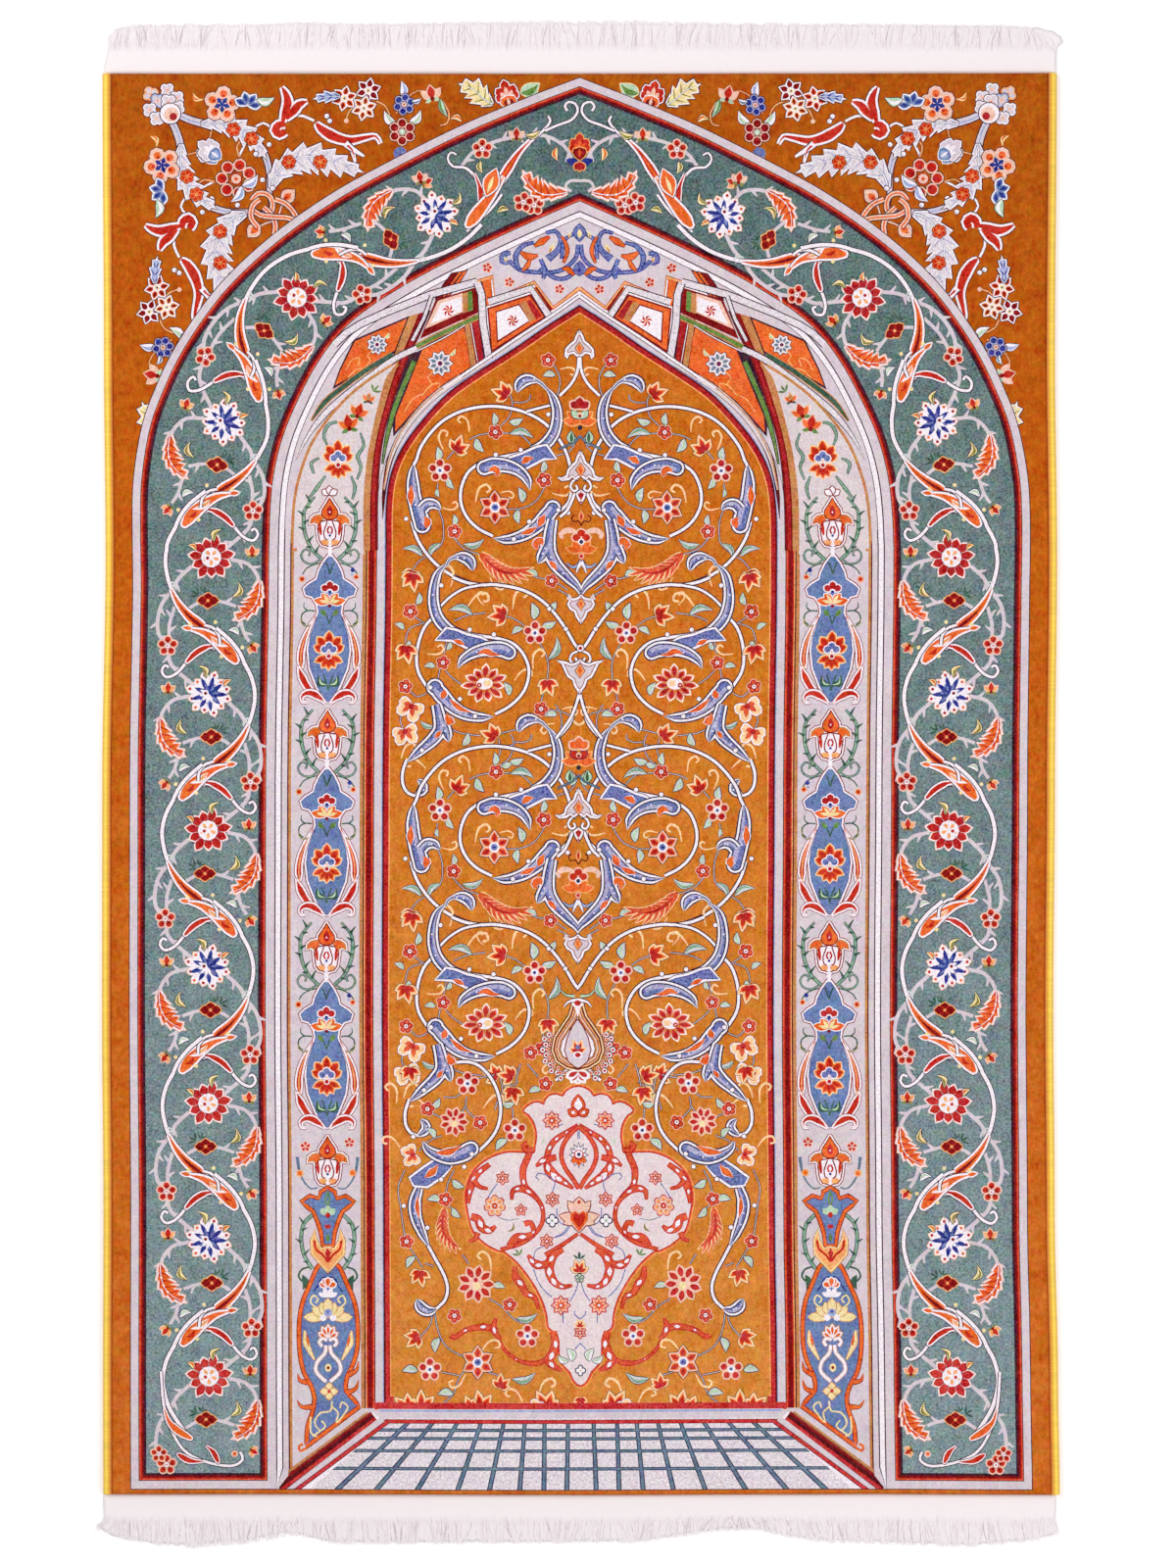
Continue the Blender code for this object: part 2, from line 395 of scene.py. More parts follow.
def rosette(radius=22, warm=True):
    """The border's great rosette, warm and red or cool and blue, its petals long and short in turn."""
    uneven = (1.0, 0.88, 1.04, 0.92, 0.98, 0.86, 1.02, 0.9, 1.0, 0.94, 0.86, 1.0)
    heart_at = np.array((-3.4, 1.6))
    if warm:
        layers = ((1.2, 0.42, "blush"), (0.3, 0.4, "white"), (-1.2, 0.36, "red"), (-3.6, 0.28, "crimson"))
        out = [(turned(petal(radius * uneven[k] + grow, radius * wide, 0.62, 0.9, start=7), 360 * k / 11),
                yarn)
               for grow, wide, yarn in layers for k in range(11)]
        out.append(dot(radius * 0.86, 11, "white"))
        out += ring_of(5, petal(radius * 0.36, radius * 0.16, 0.6, 0.8, start=2, sides=3), "apricot", 20)
        return out + [dot(radius * 0.3, 7, "white", heart_at), dot(radius * 0.16, 6, "crimson", heart_at)]
    out = [(turned(petal(radius * uneven[k] + grow, radius * wide, 0.78, 0.5), 30 * k), yarn)
           for grow, wide, yarn in ((0.8, 0.38, "apricot"), (0.0, 0.37, "white")) for k in range(12)]
    for k in range(12):
        spot = turned([(0, -radius * uneven[k] * 0.82)], 30 * k)[0]
        out.append(dot(3.4, 6, ("crimson", "orange", "red")[k % 3], spot))
    for k in range(9):
        out.append((turned(petal(radius * 0.78 * uneven[k], radius * 0.2, 0.6, 0.9, sides=3), 40 * k + 12),
                    "navy"))
    out.append(dot(radius * 0.74, 9, "navy", (-1, 0)))
    out += fan([51.4 * k + 6 for k in range(7)],
               petal(radius * 0.5, radius * 0.13, 0.6, 0.9, start=2, sides=3), "blue")
    out += fan([34 * k + 50 for k in range(5)], petal(radius * 0.42, radius * 0.14, 0.6, 0.6, sides=3),
               "white")
    return out + [dot(radius * 0.3, 7, "white", -heart_at), dot(radius * 0.15, 6, "wine", -heart_at)]


def round_flower(radius):
    """Five separate round petals on a pale halo, with a white core and a blue eye."""
    spots = ring_spots(5, radius * 0.6)
    out = [dot(radius * 0.8, 9, "blush", spot) for spot in spots]
    out += [dot(radius * 0.54, 8, "crimson", spot) for spot in spots]
    out += [dot(radius * 0.22, 5, "red", spot * 1.12) for spot in spots]
    return out + [dot(radius * 0.62, 9, "white"), dot(radius * 0.3, 7, "blue"),
                  dot(radius * 0.14, 5, "ink")]


def maroon_flower(radius):
    """The smallest flower: five scallops edged in wine, a wine ring and a pale eye."""
    rounds = ((1.04, "blush"), (0.84, "crimson"), (0.5, "scarlet"))
    out = [dot(radius * across, 8, yarn, spot) for across, yarn in rounds
           for spot in ring_spots(5, radius * 0.58, 10)]
    return out + [dot(radius * 0.86, 8, "wine"), dot(radius * 0.62, 7, "white"),
                  dot(radius * 0.26, 5, "red")]


def star_flower(radius=16, petals=6, rim="blush", body="orange", heart="crimson", edge="night",
                core="blue"):
    """A star of pointed petals, each darker towards its point, round a white core with an eye."""
    wide = radius * 0.62
    out = ring_of(petals, grown(petal(radius, wide, 0.46, 1.0), 1.5), edge)
    out += ring_of(petals, grown(petal(radius, wide, 0.46, 1.0), 0.7), rim)
    out += ring_of(petals, petal(radius * 0.93, wide * 0.7, 0.46, 1.0, start=radius * 0.2), body)
    out += ring_of(petals, petal(radius * 0.84, wide * 0.42, 0.5, 1.0, start=radius * 0.3, sides=3), heart)
    return out + [dot(radius * 0.66, 9, "white"), dot(radius * 0.42, 7, core),
                  dot(radius * 0.18, 5, "navy")]


def tulip(size=20, edge="night"):
    """A flower of five pointed petals that opens up the chart, dark at its root."""
    layers = ((1.3, 1.0, 0.4, edge), (0.8, 1.0, 0.4, "peach"), (-0.6, 0.92, 0.38, "orange"),
              (0.0, 0.7, 0.26, "red"),
              (0.0, 0.46, 0.26, "crimson"))
    return [(turned(grown(petal(size * reach * share, size * wide, 0.5, 1.0), grow), turn), yarn)
            for grow, share, wide, yarn in layers if yarn
            for turn, reach in ((-66, 0.74), (58, 0.66), (-20, 1.0), (24, 0.9))]


def lily(size=20):
    """A cream flower of round petals with a red throat."""
    out = [(turned(grown(petal(size * reach, size * 0.56, 0.66), grow), turn), yarn)
           for grow, yarn in ((1.0, "wine"), (0.5, "white"), (-0.8, "peach"))
           for turn, reach in ((-80, 0.66), (80, 0.66), (-30, 0.9), (36, 0.86))]
    out += [(turned(petal(size * reach, size * 0.26, 0.5, 0.8), turn), "scarlet")
            for turn, reach in ((-70, 0.44), (70, 0.44), (-26, 0.66), (30, 0.62))]
    return out + [dot(size * 0.3, 7, "crimson", (0, -size * 0.1))]


def palmette(high=30, outer="red", inner="butter", heart="crimson", rim="blush", base="navy", edge=None):
    """A fan of petals over a cup: the upright flower that stands wherever two vines meet."""
    sides = ((-62, 0.62), (62, 0.62), (-34, 0.8), (34, 0.8), (0, 1.0))
    out = [(turned(grown(petal(high * reach * 0.62, high * 0.26, 0.7), grow), turn) - (0, high * 0.3), yarn)
           for grow, yarn in ((2.2, edge), (1.2, rim), (0.0, outer)) if yarn for turn, reach in sides]
    out += [(turned(petal(high * reach * 0.42, high * 0.13, 0.68, sides=3), turn) - (0, high * 0.3), inner)
            for turn, reach in sides]
    cup = np.array([(0, 0), (0.14, -0.1), (0.24, -0.24), (0.2, -0.38), (0, -0.44),
                    (-0.2, -0.38), (-0.24, -0.24), (-0.14, -0.1)]) * high
    out += [(grown(cup, 1.0), rim), (cup, heart), (cup * 0.62 + (0, -high * 0.07), base)]
    return out + [(petal(high * 0.3, high * 0.1, 0.5, 1.0, sides=3) + (0, -high * 0.1), inner)]


# %% Leaves, sprigs and stems
def walked_along(line):
    """The way walked along a line at each of its points."""
    return np.concatenate([[0], np.cumsum(np.hypot(*np.diff(line, axis=0).T))])


def evenly(line, count):
    """The line's points again, `count` of them at even steps."""
    walked = walked_along(line)
    steps = np.linspace(0, walked[-1], count)
    return np.column_stack([np.interp(steps, walked, line[:, axis]) for axis in (0, 1)])


def acanthus(line, wide, lobes=7, left=1.0, right=1.0, body="lavender", vein="lilac", deep="slate",
             edge="night"):
    """A long lobed leaf along a line, with shaded veins: `left` and `right` are its halves' shares."""
    spine = evenly(np.asarray(line, dtype=float), 2 * lobes + 1)
    aside = normals(spine)
    along = np.column_stack((-aside[:, 1], aside[:, 0]))
    step = np.hypot(*(spine[1] - spine[0]))
    share = np.linspace(0, 1, len(spine))
    half = wide / 2 * np.sin(math.pi * np.clip(share * 0.94 + 0.04, 0, 1)) ** 0.7
    lobe = np.arange(len(spine)) % 2 == 1
    sides = []
    for sign, part in ((1, left), (-1, right)):
        reach = np.where(lobe, half * 1.16, half * 0.6) * part
        sides.append(spine + sign * aside * reach[:, None]
                     + along * (np.where(lobe, step * 0.9, 0))[:, None])
    shape = np.vstack([sides[0], spine[-1:] + along[-1:] * step, sides[1][::-1]])
    out = [(grown(shape, 2.2), edge), (grown(shape, 1.0), "white"), (grown(shape, -0.4), body)]
    for side in sides:
        for k in range(1, len(spine), 2):
            root = spine[k - 1]
            tip = root + (side[k] - root) * 0.72
            out.append((ribbon(np.array([root, (root + tip) / 2, tip]), [(0, 1.8), (1, 0.6)]), vein))
    out.append((ribbon(spine, [(0, wide * 0.1), (0.6, wide * 0.07), (1, 0.6)]), deep))
    return out + [(ribbon(spine, [(0, wide * 0.05), (0.6, wide * 0.04), (1, 0.4)]), "white")]


def serrated_leaf(length, width, bend):
    """A curved leaf with small teeth inside its bow and long ones outside it, and a row of pale dots."""
    t = np.linspace(0, 1, 9)
    spine = np.column_stack((bend * length * np.sin(math.pi * t * 0.9), -length * t))
    out = acanthus(spine, width * 1.3, 6, 0.55, 1.25, "orange", "red", "red", "blush")
    spots = [[np.interp(share, t, spine[:, axis]) for axis in (0, 1)] for share in (0.26, 0.44, 0.62)]
    return out + [dot(2.4, 6, "white", spot) for spot in spots]


def leaflet(length=14, width=6, bend=0.3, body="butter", shade="olive", edge="ink"):
    """A small curved leaf with a shaded outer half and a thin dark edge."""
    shape = crescent(length, width, bend)
    half = crescent(length * 0.94, width * 0.42, bend + 0.07)
    return ([(grown(shape, 0.8), edge)] if edge else []) + [(shape, body), (half, shade)]


def sprig(size=9, yarn="moss"):
    """Three hair-thin leaflets."""
    return fan((-50, 0, 50), petal(size, size * 0.28, 0.5, 1.0, sides=3), yarn)


def hook(size):
    """A short pale stroke with a hooked end."""
    line = smooth(np.array([(0, 0), (0.1, -0.4), (0.3, -0.8), (0.7, -0.95), (0.9, -0.66),
                            (0.66, -0.5)]) * size, 3)
    return [(ribbon(line, [(0, 0.8), (0.4, 2.0), (0.8, 2.2), (1, 1.6)]), "peach")]


def feather(length, width):
    """A long toothed leaf that curves, its teeth ending in pale hooks."""
    t = np.linspace(0, 1, 11)
    spine = np.column_stack((0.22 * length * np.sin(math.pi * t), -length * t))
    side = normals(spine)
    half = width / 2 * np.sin(math.pi * np.clip(0.1 + t * 0.85, 0, 1))
    out = []
    for extra, yarn in ((1.4, "peach"), (-0.6, "scarlet")):
        for k in range(1, 10):
            for sign in (-1, 1):
                tip = spine[k] + sign * side[k] * half[k] * (1.5 if sign < 0 else 0.9) + (0, -length * 0.1)
                root = spine[k - 1]
                out.append((ribbon(smooth([root, (root + tip) / 2 + (0, 1.5), tip], 4),
                                   [(0, 4.4 + extra), (0.5, 3.6 + extra), (1, 0.4 + extra * 0.6)]), yarn))
        out.append((ribbon(spine, [(0, 1.5 + extra), (0.4, width * 0.34 + extra), (1, 0.4 + extra)]), yarn))
    return out + [(ribbon(spine[1:9], [(0, 1), (0.5, 2.6), (1, 0.4)]), "crimson")]


def thorny(line, width, every=15.0):
    """Lays a pale stem with short thorns on either side in turn, one after each `every` squares."""
    reach = 7.4
    ink(ribbon(line, width * 0.84), "lavender")
    walked = walked_along(line)
    aside = normals(line)
    for k, spot in enumerate(np.arange(every * 0.6, walked[-1] - every * 0.3, every)):
        at = np.array([np.interp(spot, walked, line[:, axis]) for axis in (0, 1)])
        out = np.array([np.interp(spot, walked, aside[:, axis]) for axis in (0, 1)])
        along = np.array([-out[1], out[0]])
        side = 1 if k % 2 else -1
        tip = at + side * out * reach + along * reach * 0.7
        ink([at + along * 2.6, tip + along * 0.8, tip - along * 0.8, at - along * 2.6], "lavender")


def split_leaf(line, wide, body="orange", heart=None, bulb=0.72, rim=2.2):
    """Lays a leaf that swells out of a vine along a line and ends in a rounded bulb."""
    blunt = wide * 0.5
    stops = [(0, 0.6), (0.35, wide * 0.55), (bulb, wide), (bulb * 0.4 + 0.6, wide * 0.92), (1, blunt)]
    for extra, yarn in ((2 * rim + 1.6, "night"), (2 * rim, "white"), (0.0, body)):
        ink(ribbon(line, widened(stops, extra)), yarn)
        ink(*dot(blunt + extra, 8, yarn, line[-1]))
    if heart:
        ink(ribbon(line, [(share, max(value - wide * 0.55, 0.3)) for share, value in stops]), heart)


print("outlines in a warm rosette:", len(rosette()), "- in a cool one:", len(rosette(warm=False)))
# %% [markdown]
# ## The corners above the arch
# Each upper corner holds a spray of flowers that is the same on both sides of the corner's diagonal. It is
# drawn once, above the diagonal, and turned over for the other half. Long white leaves with blue veins
# grow from a cluster of tiny flowers in the corner, tied lower down by a ribbon.

# %% The corner spray
half_sheet = [(MIDDLE_COLUMN, SHEET_TOP), (SHEET_LEFT, SHEET_TOP), (SHEET_LEFT, SHEET_BOTTOM),
              (MIDDLE_COLUMN, SHEET_BOTTOM)]
ink(half_sheet, "amber")
DIAGONAL = 57.3  # columns by which the corner's diagonal runs ahead of the rows


def same(points):
    return np.asarray(points, dtype=float)


def over_diagonal(points):
    """Points turned over the corner's diagonal."""
    points = np.asarray(points, dtype=float)
    return np.column_stack((points[:, 1] + DIAGONAL, points[:, 0] - DIAGONAL))


def trumpet(size=20):
    """A split flower: two curved red petals and a curled red bulb, all rimmed in white."""
    out = []
    petals = (
        [(0, 0), (2, -9), (5, -18), (3, -27), (-1, -34)],
        [(3, -3), (10, -10), (16, -17), (24, -20)],
        [(2, 2), (-4, 3), (-7, 8), (-3, 12), (2, 9)],
    )
    widths = ([(0, 4), (0.5, 9), (0.85, 5), (1, 1)], [(0, 4), (0.45, 9), (0.8, 6), (1, 1)],
              [(0, 6), (0.5, 9), (1, 7)])
    for extra, yarn in ((6.4, "night"), (4.4, "white"), (-0.4, "red")):
        for points, stops in zip(petals, widths):
            out.append(drawn(np.array(points) * size / 20, widened(stops, extra), yarn))
    return out


def draw_spray(onto):
    """One half of the corner spray, laid on the chart through a mapping."""

    def line(*points, step=5.0):
        return onto(smooth(points, step))

    def plant(motif, at, turn=0.0, size=1.0, flip=False):
        set_down(motif, at, turn, size, flip, onto)

    # thin stems
    for points, width, yarn in (
        (((276, 131), (268, 126), (258, 132), (252, 142), (243, 160)), 2.2, "white"),
        (((299, 119), (309, 119), (320, 124)), 2.6, "white"),
        (((243, 160), (241, 150), (246, 143)), 1.6, "apricot"),
        (((384, 104), (392, 108), (397, 117), (398, 128)), 1.6, "apricot"),
        (((362, 108), (356, 114), (353, 122)), 1.6, "apricot"),
        (((443, 98), (432, 93), (420, 96), (404, 116)), 1.3, "apricot"),
        (((449, 128), (456, 126), (458, 116), (452, 104)), 1.6, "apricot"),
        (((206, 158), (213, 142), (216, 128)), 1.4, "apricot"),
        (((282, 226), (286, 212), (290, 205)), 1.6, "blush"),
    ):
        vine(line(*points), width, yarn, "night", 0.6)
    # the white stem and its long leaves
    vine(line((181, 117), (192, 122), (206, 126), (222, 127)), [(0, 6.5), (1, 7.5)], "lavender", "night",
         1.2)
    ink(ribbon(line((184, 119), (194, 123.5), (208, 127)), 1.6), "sky")
    vine(line((262, 146), (270, 160), (274, 176), (274, 196), (277, 214)), [(0, 7), (1, 3.8)], "lavender",
         "night", 1.2)
    ink(ribbon(line((265, 151), (272, 166), (275, 184)), 1.6), "sky")
    leaf = smooth([(205, 127), (224, 126), (242, 131), (258, 143), (268, 158)], 4)
    plant(acanthus(leaf, 21, 7, 0.9, 1.05, "pearl"), (0, 0))
    leaf = smooth([(276, 192), (281, 178), (297, 165), (318, 160), (342, 166), (364, 174)], 4)
    plant(acanthus(leaf, 27, 8, 0.9, 1.2, "pearl"), (0, 0))
    for at in ((237.5, 132.5), (256, 142), (294, 166), (326, 166)):
        plant(blossom(6.8, 6, "orange", "red", None, ("apricot", "wine"), "wine"), at, 20)
    for at in ((267, 184), (215, 203), (274, 148), (250, 220), (336, 124), (333, 119)):
        plant([dot(6.6, 8, "night"), dot(5.0, 8, "white"),
               dot(1.8, 5, "sky", (0.8, 0.8))], at)
    # the great flowers
    great = blossom(19, 5, "blush", "orange", "red", ("white", "navy"), "night", 0.5)
    plant(great, (226, 107), 8)
    plant([(turned(petal(8.5, 4.4, 0.6, 0.8), turn), "navy") for turn in (-108, -36, 36, 108, 180)],
          (226, 107))
    bell = [(turned(grown(petal(14, 8, 0.6, 0.8), by), turn), yarn)
            for by, yarn in ((1.8, "night"), (1.0, "white"), (-0.6, "steel"),
                             (-2.0, "navy")) for turn in (-74, -24, 28, 80)]
    plant(bell, (252, 108), 10)
    plant(leaflet(19, 9, 0.2, "mint", "white", "night"), (261, 102), 84)
    plant(palmette(31, "lavender", "white", "steel", "white", "sky", "night"), (220, 167), -38)
    plant(trumpet(21), (288, 125))
    # the long comma leaf with two tails
    for extra, yarn in ((5.8, "night"), (4.2, "white"), (-0.4, "red")):
        plant([drawn([(322, 126), (327, 132), (340, 140), (356, 144), (372, 141), (383, 139.6), (388, 147)],
                     widened([(0, 2), (0.08, 7), (0.25, 9.6), (0.5, 7), (0.8, 3.4), (1, 0.8)], extra),
                     yarn),
               dot(5.6 + extra, 9, yarn, (324.6, 129.4))], (0, 0))
    for tip in ((362, 166), (371, 160)):
        for extra, yarn in ((3.6, "night"), (1.8, "white")):
            plant([drawn([(352, 147), (358, 152), tip], widened([(0, 5), (1, 0.8)], extra), yarn)], (0, 0))
    plant([drawn([(354, 149), (359, 154), (361, 162)], [(0, 2.4), (1, 0.5)], "red")], (0, 0))
    # the small flowers towards the arch
    for at, body in (((375.5, 93), "wine"), ((351, 101), "orange"), ((371, 111), "apricot")):
        plant(star_flower(13, 6, "white", body, "wine", "night", "butter"), at, 12)
    plant(acanthus(smooth([(346, 99), (336, 99), (323, 101)], 3), 10, 3, body="sky", vein="navy"), (0, 0))
    plant([dot(5, 7, "blush")], (353, 124))
    plant(leaflet(17, 8, 0.12, "white", "sky", "night"), (411, 100), -6)
    plant(blossom(11, 6, "lilac", "navy", None, ("blush", "crimson"), "night", 0.8), (412, 107), 10)
    plant(leaflet(10, 5, 0.2, "white", "slate", "night"), (420, 104), 70)
    plant(leaflet(19, 8, -0.15, "white", "mint", "night"), (404, 128), -40)
    plant(leaflet(18, 8, 0.2, "white", "mint", "night"), (417, 126), 42)
    plant(blossom(14, 6, "blush", "wine", "crimson", ("mint", "white"), "night", 0.84), (410, 135), 0)
    plant(bud(14, "red", "blush", "mint"), (441, 101), -12)
    plant(leaflet(20, 6, 0.1, "mint", "green", "night"), (449, 101), 158)
    plant([dot(14, 10, "blue")], (408, 157))
    # crescents, flame buds and the ribbon knot
    plant([(crescent(13, 4.6, 0.3), "butter"), (crescent(11, 2.0, 0.38), "orange")], (196, 95), 120)
    plant([(grown(petal(19, 15, 0.5, 0.8), 0.9), "night"), (petal(19, 15, 0.5, 0.8), "blush"),
           (petal(14, 7, 0.5, 1.0, start=3), "orange"), (petal(9, 3, 0.5, 1.0, start=4, sides=3), "red")],
          (286, 207), 48)


for onto in (same, over_diagonal):
    draw_spray(onto)

# the parts that lie across the diagonal
for at, size, body in (
    ((153, 96), 7.5, "apricot"), ((170, 92), 6.5, "white"), ((180, 100), 6.5, "white"),
    ((160, 103), 7, "sky"),
    ((152, 112), 6.5, "white"), ((159, 121), 6.5, "white"), ((171, 104), 7, "white"),
    ((181, 110), 6, "white"),
):
    set_down(blossom(size + 1, 4, body, "lavender", None, ("blush", "orange"), "night"), at, size * 20)
set_down([dot(23, 14, "night"), dot(21, 14, "white"),
          dot(15, 12, "blush", (1, 1)), dot(8, 9, "crimson", (3, 3))], (173, 116))
set_down(blossom(21, 7, "blush", "red", "crimson", ("blush", "scarlet"), "night", 0.8), (240, 183), 15)
for side in (-1, 1):
    set_down(leaflet(20, 9, 0.2, "white", "sky", "night"), (246, 190), -45 + side * 100, flip=side < 0)
for points in (
    ((256, 205), (262, 198), (272, 199), (277, 206), (276, 216), (268, 221), (258, 216)),
    ((262, 232), (255, 222), (257, 210), (264, 204)), ((280, 204), (290, 208), (298, 216), (303, 225)),
    ((268, 212), (276, 220), (280, 230), (279, 240)), ((268, 221), (280, 222), (293, 223), (301, 226)),
):
    vine(smooth(points, 4), 5.0, "blush", "night", 1.0)
    stroke(points, 1.5, "orange")
for onto in (same, over_diagonal):
    set_down(acanthus(smooth([(502, 106), (492, 100), (484, 92), (472, 87)], 4), 22, 4, 1, 1, "butter",
                      "olive",
                      "green", "night"), (0, 0), onto=onto)
    set_down(leaflet(22, 15, 0.1, "mint", "green", "butter"), (531, 95), 62, onto=onto)
    set_down(palmette(34, "red", "blush", "orange", "white", "wine", "night"), (521, 112), -14, onto=onto)
    set_down(leaflet(12, 6, 0.3, "butter", "orange", "night"), (471, 124), -80, onto=onto)
print(len(chart), "outlines on the chart")
# %% [markdown]
# ## The frames
# Three arches lie inside each other: the outer and inner edges of the teal border, and the niche's own
# edge. Each is one curve for the left half, and the stripes beside it are the same curve set in
# or out by a few squares, so that they stay parallel round the bend as a woven stripe does.

# %% The three arches
LEG_END = 1503.5  # row where the teal border's legs end
SILL = 1519.6  # row where the stripes end, above the last margin
NICHE_FOOT = 1437.0  # row where the niche ends, above the tiled floor
OUTER_MARGIN = 16.6  # squares of stripes outside the teal border
OUTER_ARCH = (
    # column, row: the teal border's outer edge, from the peak down to the straight leg
    (591.5, 95.8), (544, 114.1), (471.7, 145.2), (385.3, 189.3), (342.7, 213.7), (300.4, 242.5),
    (263, 273.2),
    (231.6, 304.8), (206.3, 338.2), (186.8, 369.4), (171.5, 401.4), (157.9, 438), (149.2, 486.8),
    (147.2, 530), (147.9, 600),
)
INNER_ARCH = (
    # column, row: the teal border's inner edge
    (591.5, 196.3), (559.6, 210.2), (516.4, 229.7), (472.8, 250.6), (430, 272.5), (393.4, 293.7),
    (366, 312.2),
    (343.6, 331.5), (321.7, 358.8), (302, 392.5), (280.8, 439.6), (269.6, 481.6), (265.2, 520),
    (263.6, 560),
)
NICHE_ARCH = (
    # column, row: the outer edge of the niche's crimson edging
    (591.5, 312), (560.4, 331.7), (525.6, 355.6), (492, 377.2), (457.7, 401.2), (429.8, 430.2),
    (409, 458.5), (396.7, 487.7), (392.3, 520), (391.8, 560),
)


def leg_curve(arch, foot):
    """The arch's curve from the peak, carried straight down to a row."""
    curve = smooth(arch, 9.0)
    last = curve[-1]
    steps = np.linspace(last[1], foot, 12)[1:]
    return np.vstack([curve, np.column_stack((np.full(len(steps), last[0]), steps))])


def set_in(curve, by):
    """The curve moved towards the middle by so many squares, or outwards where negative."""
    aside = normals(curve)
    moved = curve + aside * by
    moved[0] = (MIDDLE_COLUMN, curve[0][1] + by / aside[0][1])
    return moved


def within(curve, by, foot):
    """All that lies between the set-in curve and the middle line, down to a row."""
    side = set_in(curve, by)
    side = side[side[:, 1] < foot]
    return np.vstack([side, [(side[-1][0], foot), (MIDDLE_COLUMN, foot)]])


outer_curve = leg_curve(OUTER_ARCH, LEG_END)
inner_curve = leg_curve(INNER_ARCH, LEG_END)
niche_curve = leg_curve(NICHE_ARCH, NICHE_FOOT)
print("the outer arch has", len(outer_curve), "points from peak to foot")

# %% [markdown]
# ## The stripes
# Each frame is a stack of filled outlines, the widest first, so that only a rim of each one shows. The
# red bands shade from bright red to near black towards the teal, as three reds laid inside each other.

# %% Lay the grounds and the stripes
STRIPE_FOOT = 1520.4


def border_ring(by):
    """The teal border's outline, made wider all round by so many squares."""
    outside = set_in(outer_curve, -by)
    inside = set_in(inner_curve, by)
    foot = LEG_END + by
    corners = [(outside[-1][0], foot), (inside[-1][0], foot)]
    return np.vstack([outside, corners, inside[::-1]])


BORDER_STRIPES = (
    # squares outside the teal, yarn: the red rounds over into shadow
    (7.9, "night"), (7.1, "scarlet"), (5.9, "red"), (4.8, "wine"), (3.0, "brown"), (1.6, "night"),
    (0.0, "teal"),
)
for by, foot, yarn in ((-OUTER_MARGIN, STRIPE_FOOT, "night"), (-15.7, SILL, "lavender")):
    ink(within(outer_curve, by, foot), yarn)
for by, yarn in BORDER_STRIPES:
    ink(border_ring(by), yarn)
INNER_STRIPES = (
    # squares in from the teal's inner edge, yarn
    (16.7, "night"), (17.9, "white"), (22.9, "night"), (24.1, "lavender"), (29.5, "brown"),
    (30.8, "ochre"), (33.4, "lavender"),
)
for by, yarn in INNER_STRIPES:
    ink(within(inner_curve, by, SILL), yarn)
NICHE_STRIPES = (
    # squares in from the niche's edging, yarn
    (-24.4, "ochre"), (-21.0, "brown"), (-19.7, "apricot"), (-18.6, "red"), (-17.3, "wine"), (-13.0, "red"),
    (-12.0, "scarlet"), (-10.6, "night"), (-9.7, "lavender"), (-2.2, "sky"), (-1.2, "brown"),
    (0.0, "wine"), (0.9, "crimson"), (4.2, "red"), (5.3, "apricot"), (6.4, "gold"),
)
for by, yarn in NICHE_STRIPES:
    ink(within(niche_curve, by, NICHE_FOOT - max(by, 0)), yarn)
print(len(chart), "outlines on the chart")

# %% [markdown]
# ## The teal border
# One white vine swings from side to side up the border, and each half swing carries the same plants,
# turned over: a great rosette in the bay, a toothed leaf, buds, a four-petalled flower and, where the vine
# crosses the middle, a pair of split leaves with a curled tendril. The legs are drawn straight, and the same
# drawing is bent over the arch: its rows become steps along the arch's middle line.

# %% Bending the border round the arch
BORDER_MIDDLE = 212.0  # column
BEND_ROW = 560.0  # above this row the border leaves the straight
ARCH_MIDDLE = (
    # column, row: the border's middle line from the bend to the peak
    (211, 560), (211.5, 520), (215, 480), (224, 438), (240, 394), (262, 352), (290, 316), (322, 287),
    (360, 262), (400, 241), (445, 219), (490, 198), (540, 174), (591.5, 149), (640, 126),
)
ARCH_STEPS = (
    # row of the straight drawing, squares walked along the arch, share of the leg's width
    (560, 0, 1.0), (432, 128, 1.0), (293, 277, 0.9), (154, 443, 0.82), (15, 610, 0.8), (-60, 700, 0.8),
)
arch_line = smooth(ARCH_MIDDLE, 5.0)
arch_walk = walked_along(arch_line)
arch_aside = -normals(arch_line)


def bent(points):
    """Points of the straight border drawing, bent round the arch."""
    points = np.asarray(points, dtype=float).copy()
    high = points[:, 1] < BEND_ROW
    if high.any():
        rows, steps, shares = np.array(ARCH_STEPS, dtype=float)[::-1].T
        step = np.interp(points[high, 1], rows, steps)
        share = np.interp(points[high, 1], rows, shares)
        at = np.column_stack([np.interp(step, arch_walk, arch_line[:, axis]) for axis in (0, 1)])
        aside = np.column_stack([np.interp(step, arch_walk, arch_aside[:, axis]) for axis in (0, 1)])
        points[high] = at + aside * ((points[high, 0] - BORDER_MIDDLE) * share)[:, None]
    return points


def bent_turn(at):
    """How far the border leans at a spot of the straight drawing, in degrees clockwise."""
    ends = bent([(at[0], at[1] + 2.0), (at[0], at[1] - 2.0)])
    way = ends[1] - ends[0]
    return math.degrees(math.atan2(way[0], -way[1]))


print("the arch's middle line is", round(arch_walk[-1]), "squares long")

# %% One half swing of the border
HALF_SWING = 139.3  # rows from one rosette to the next


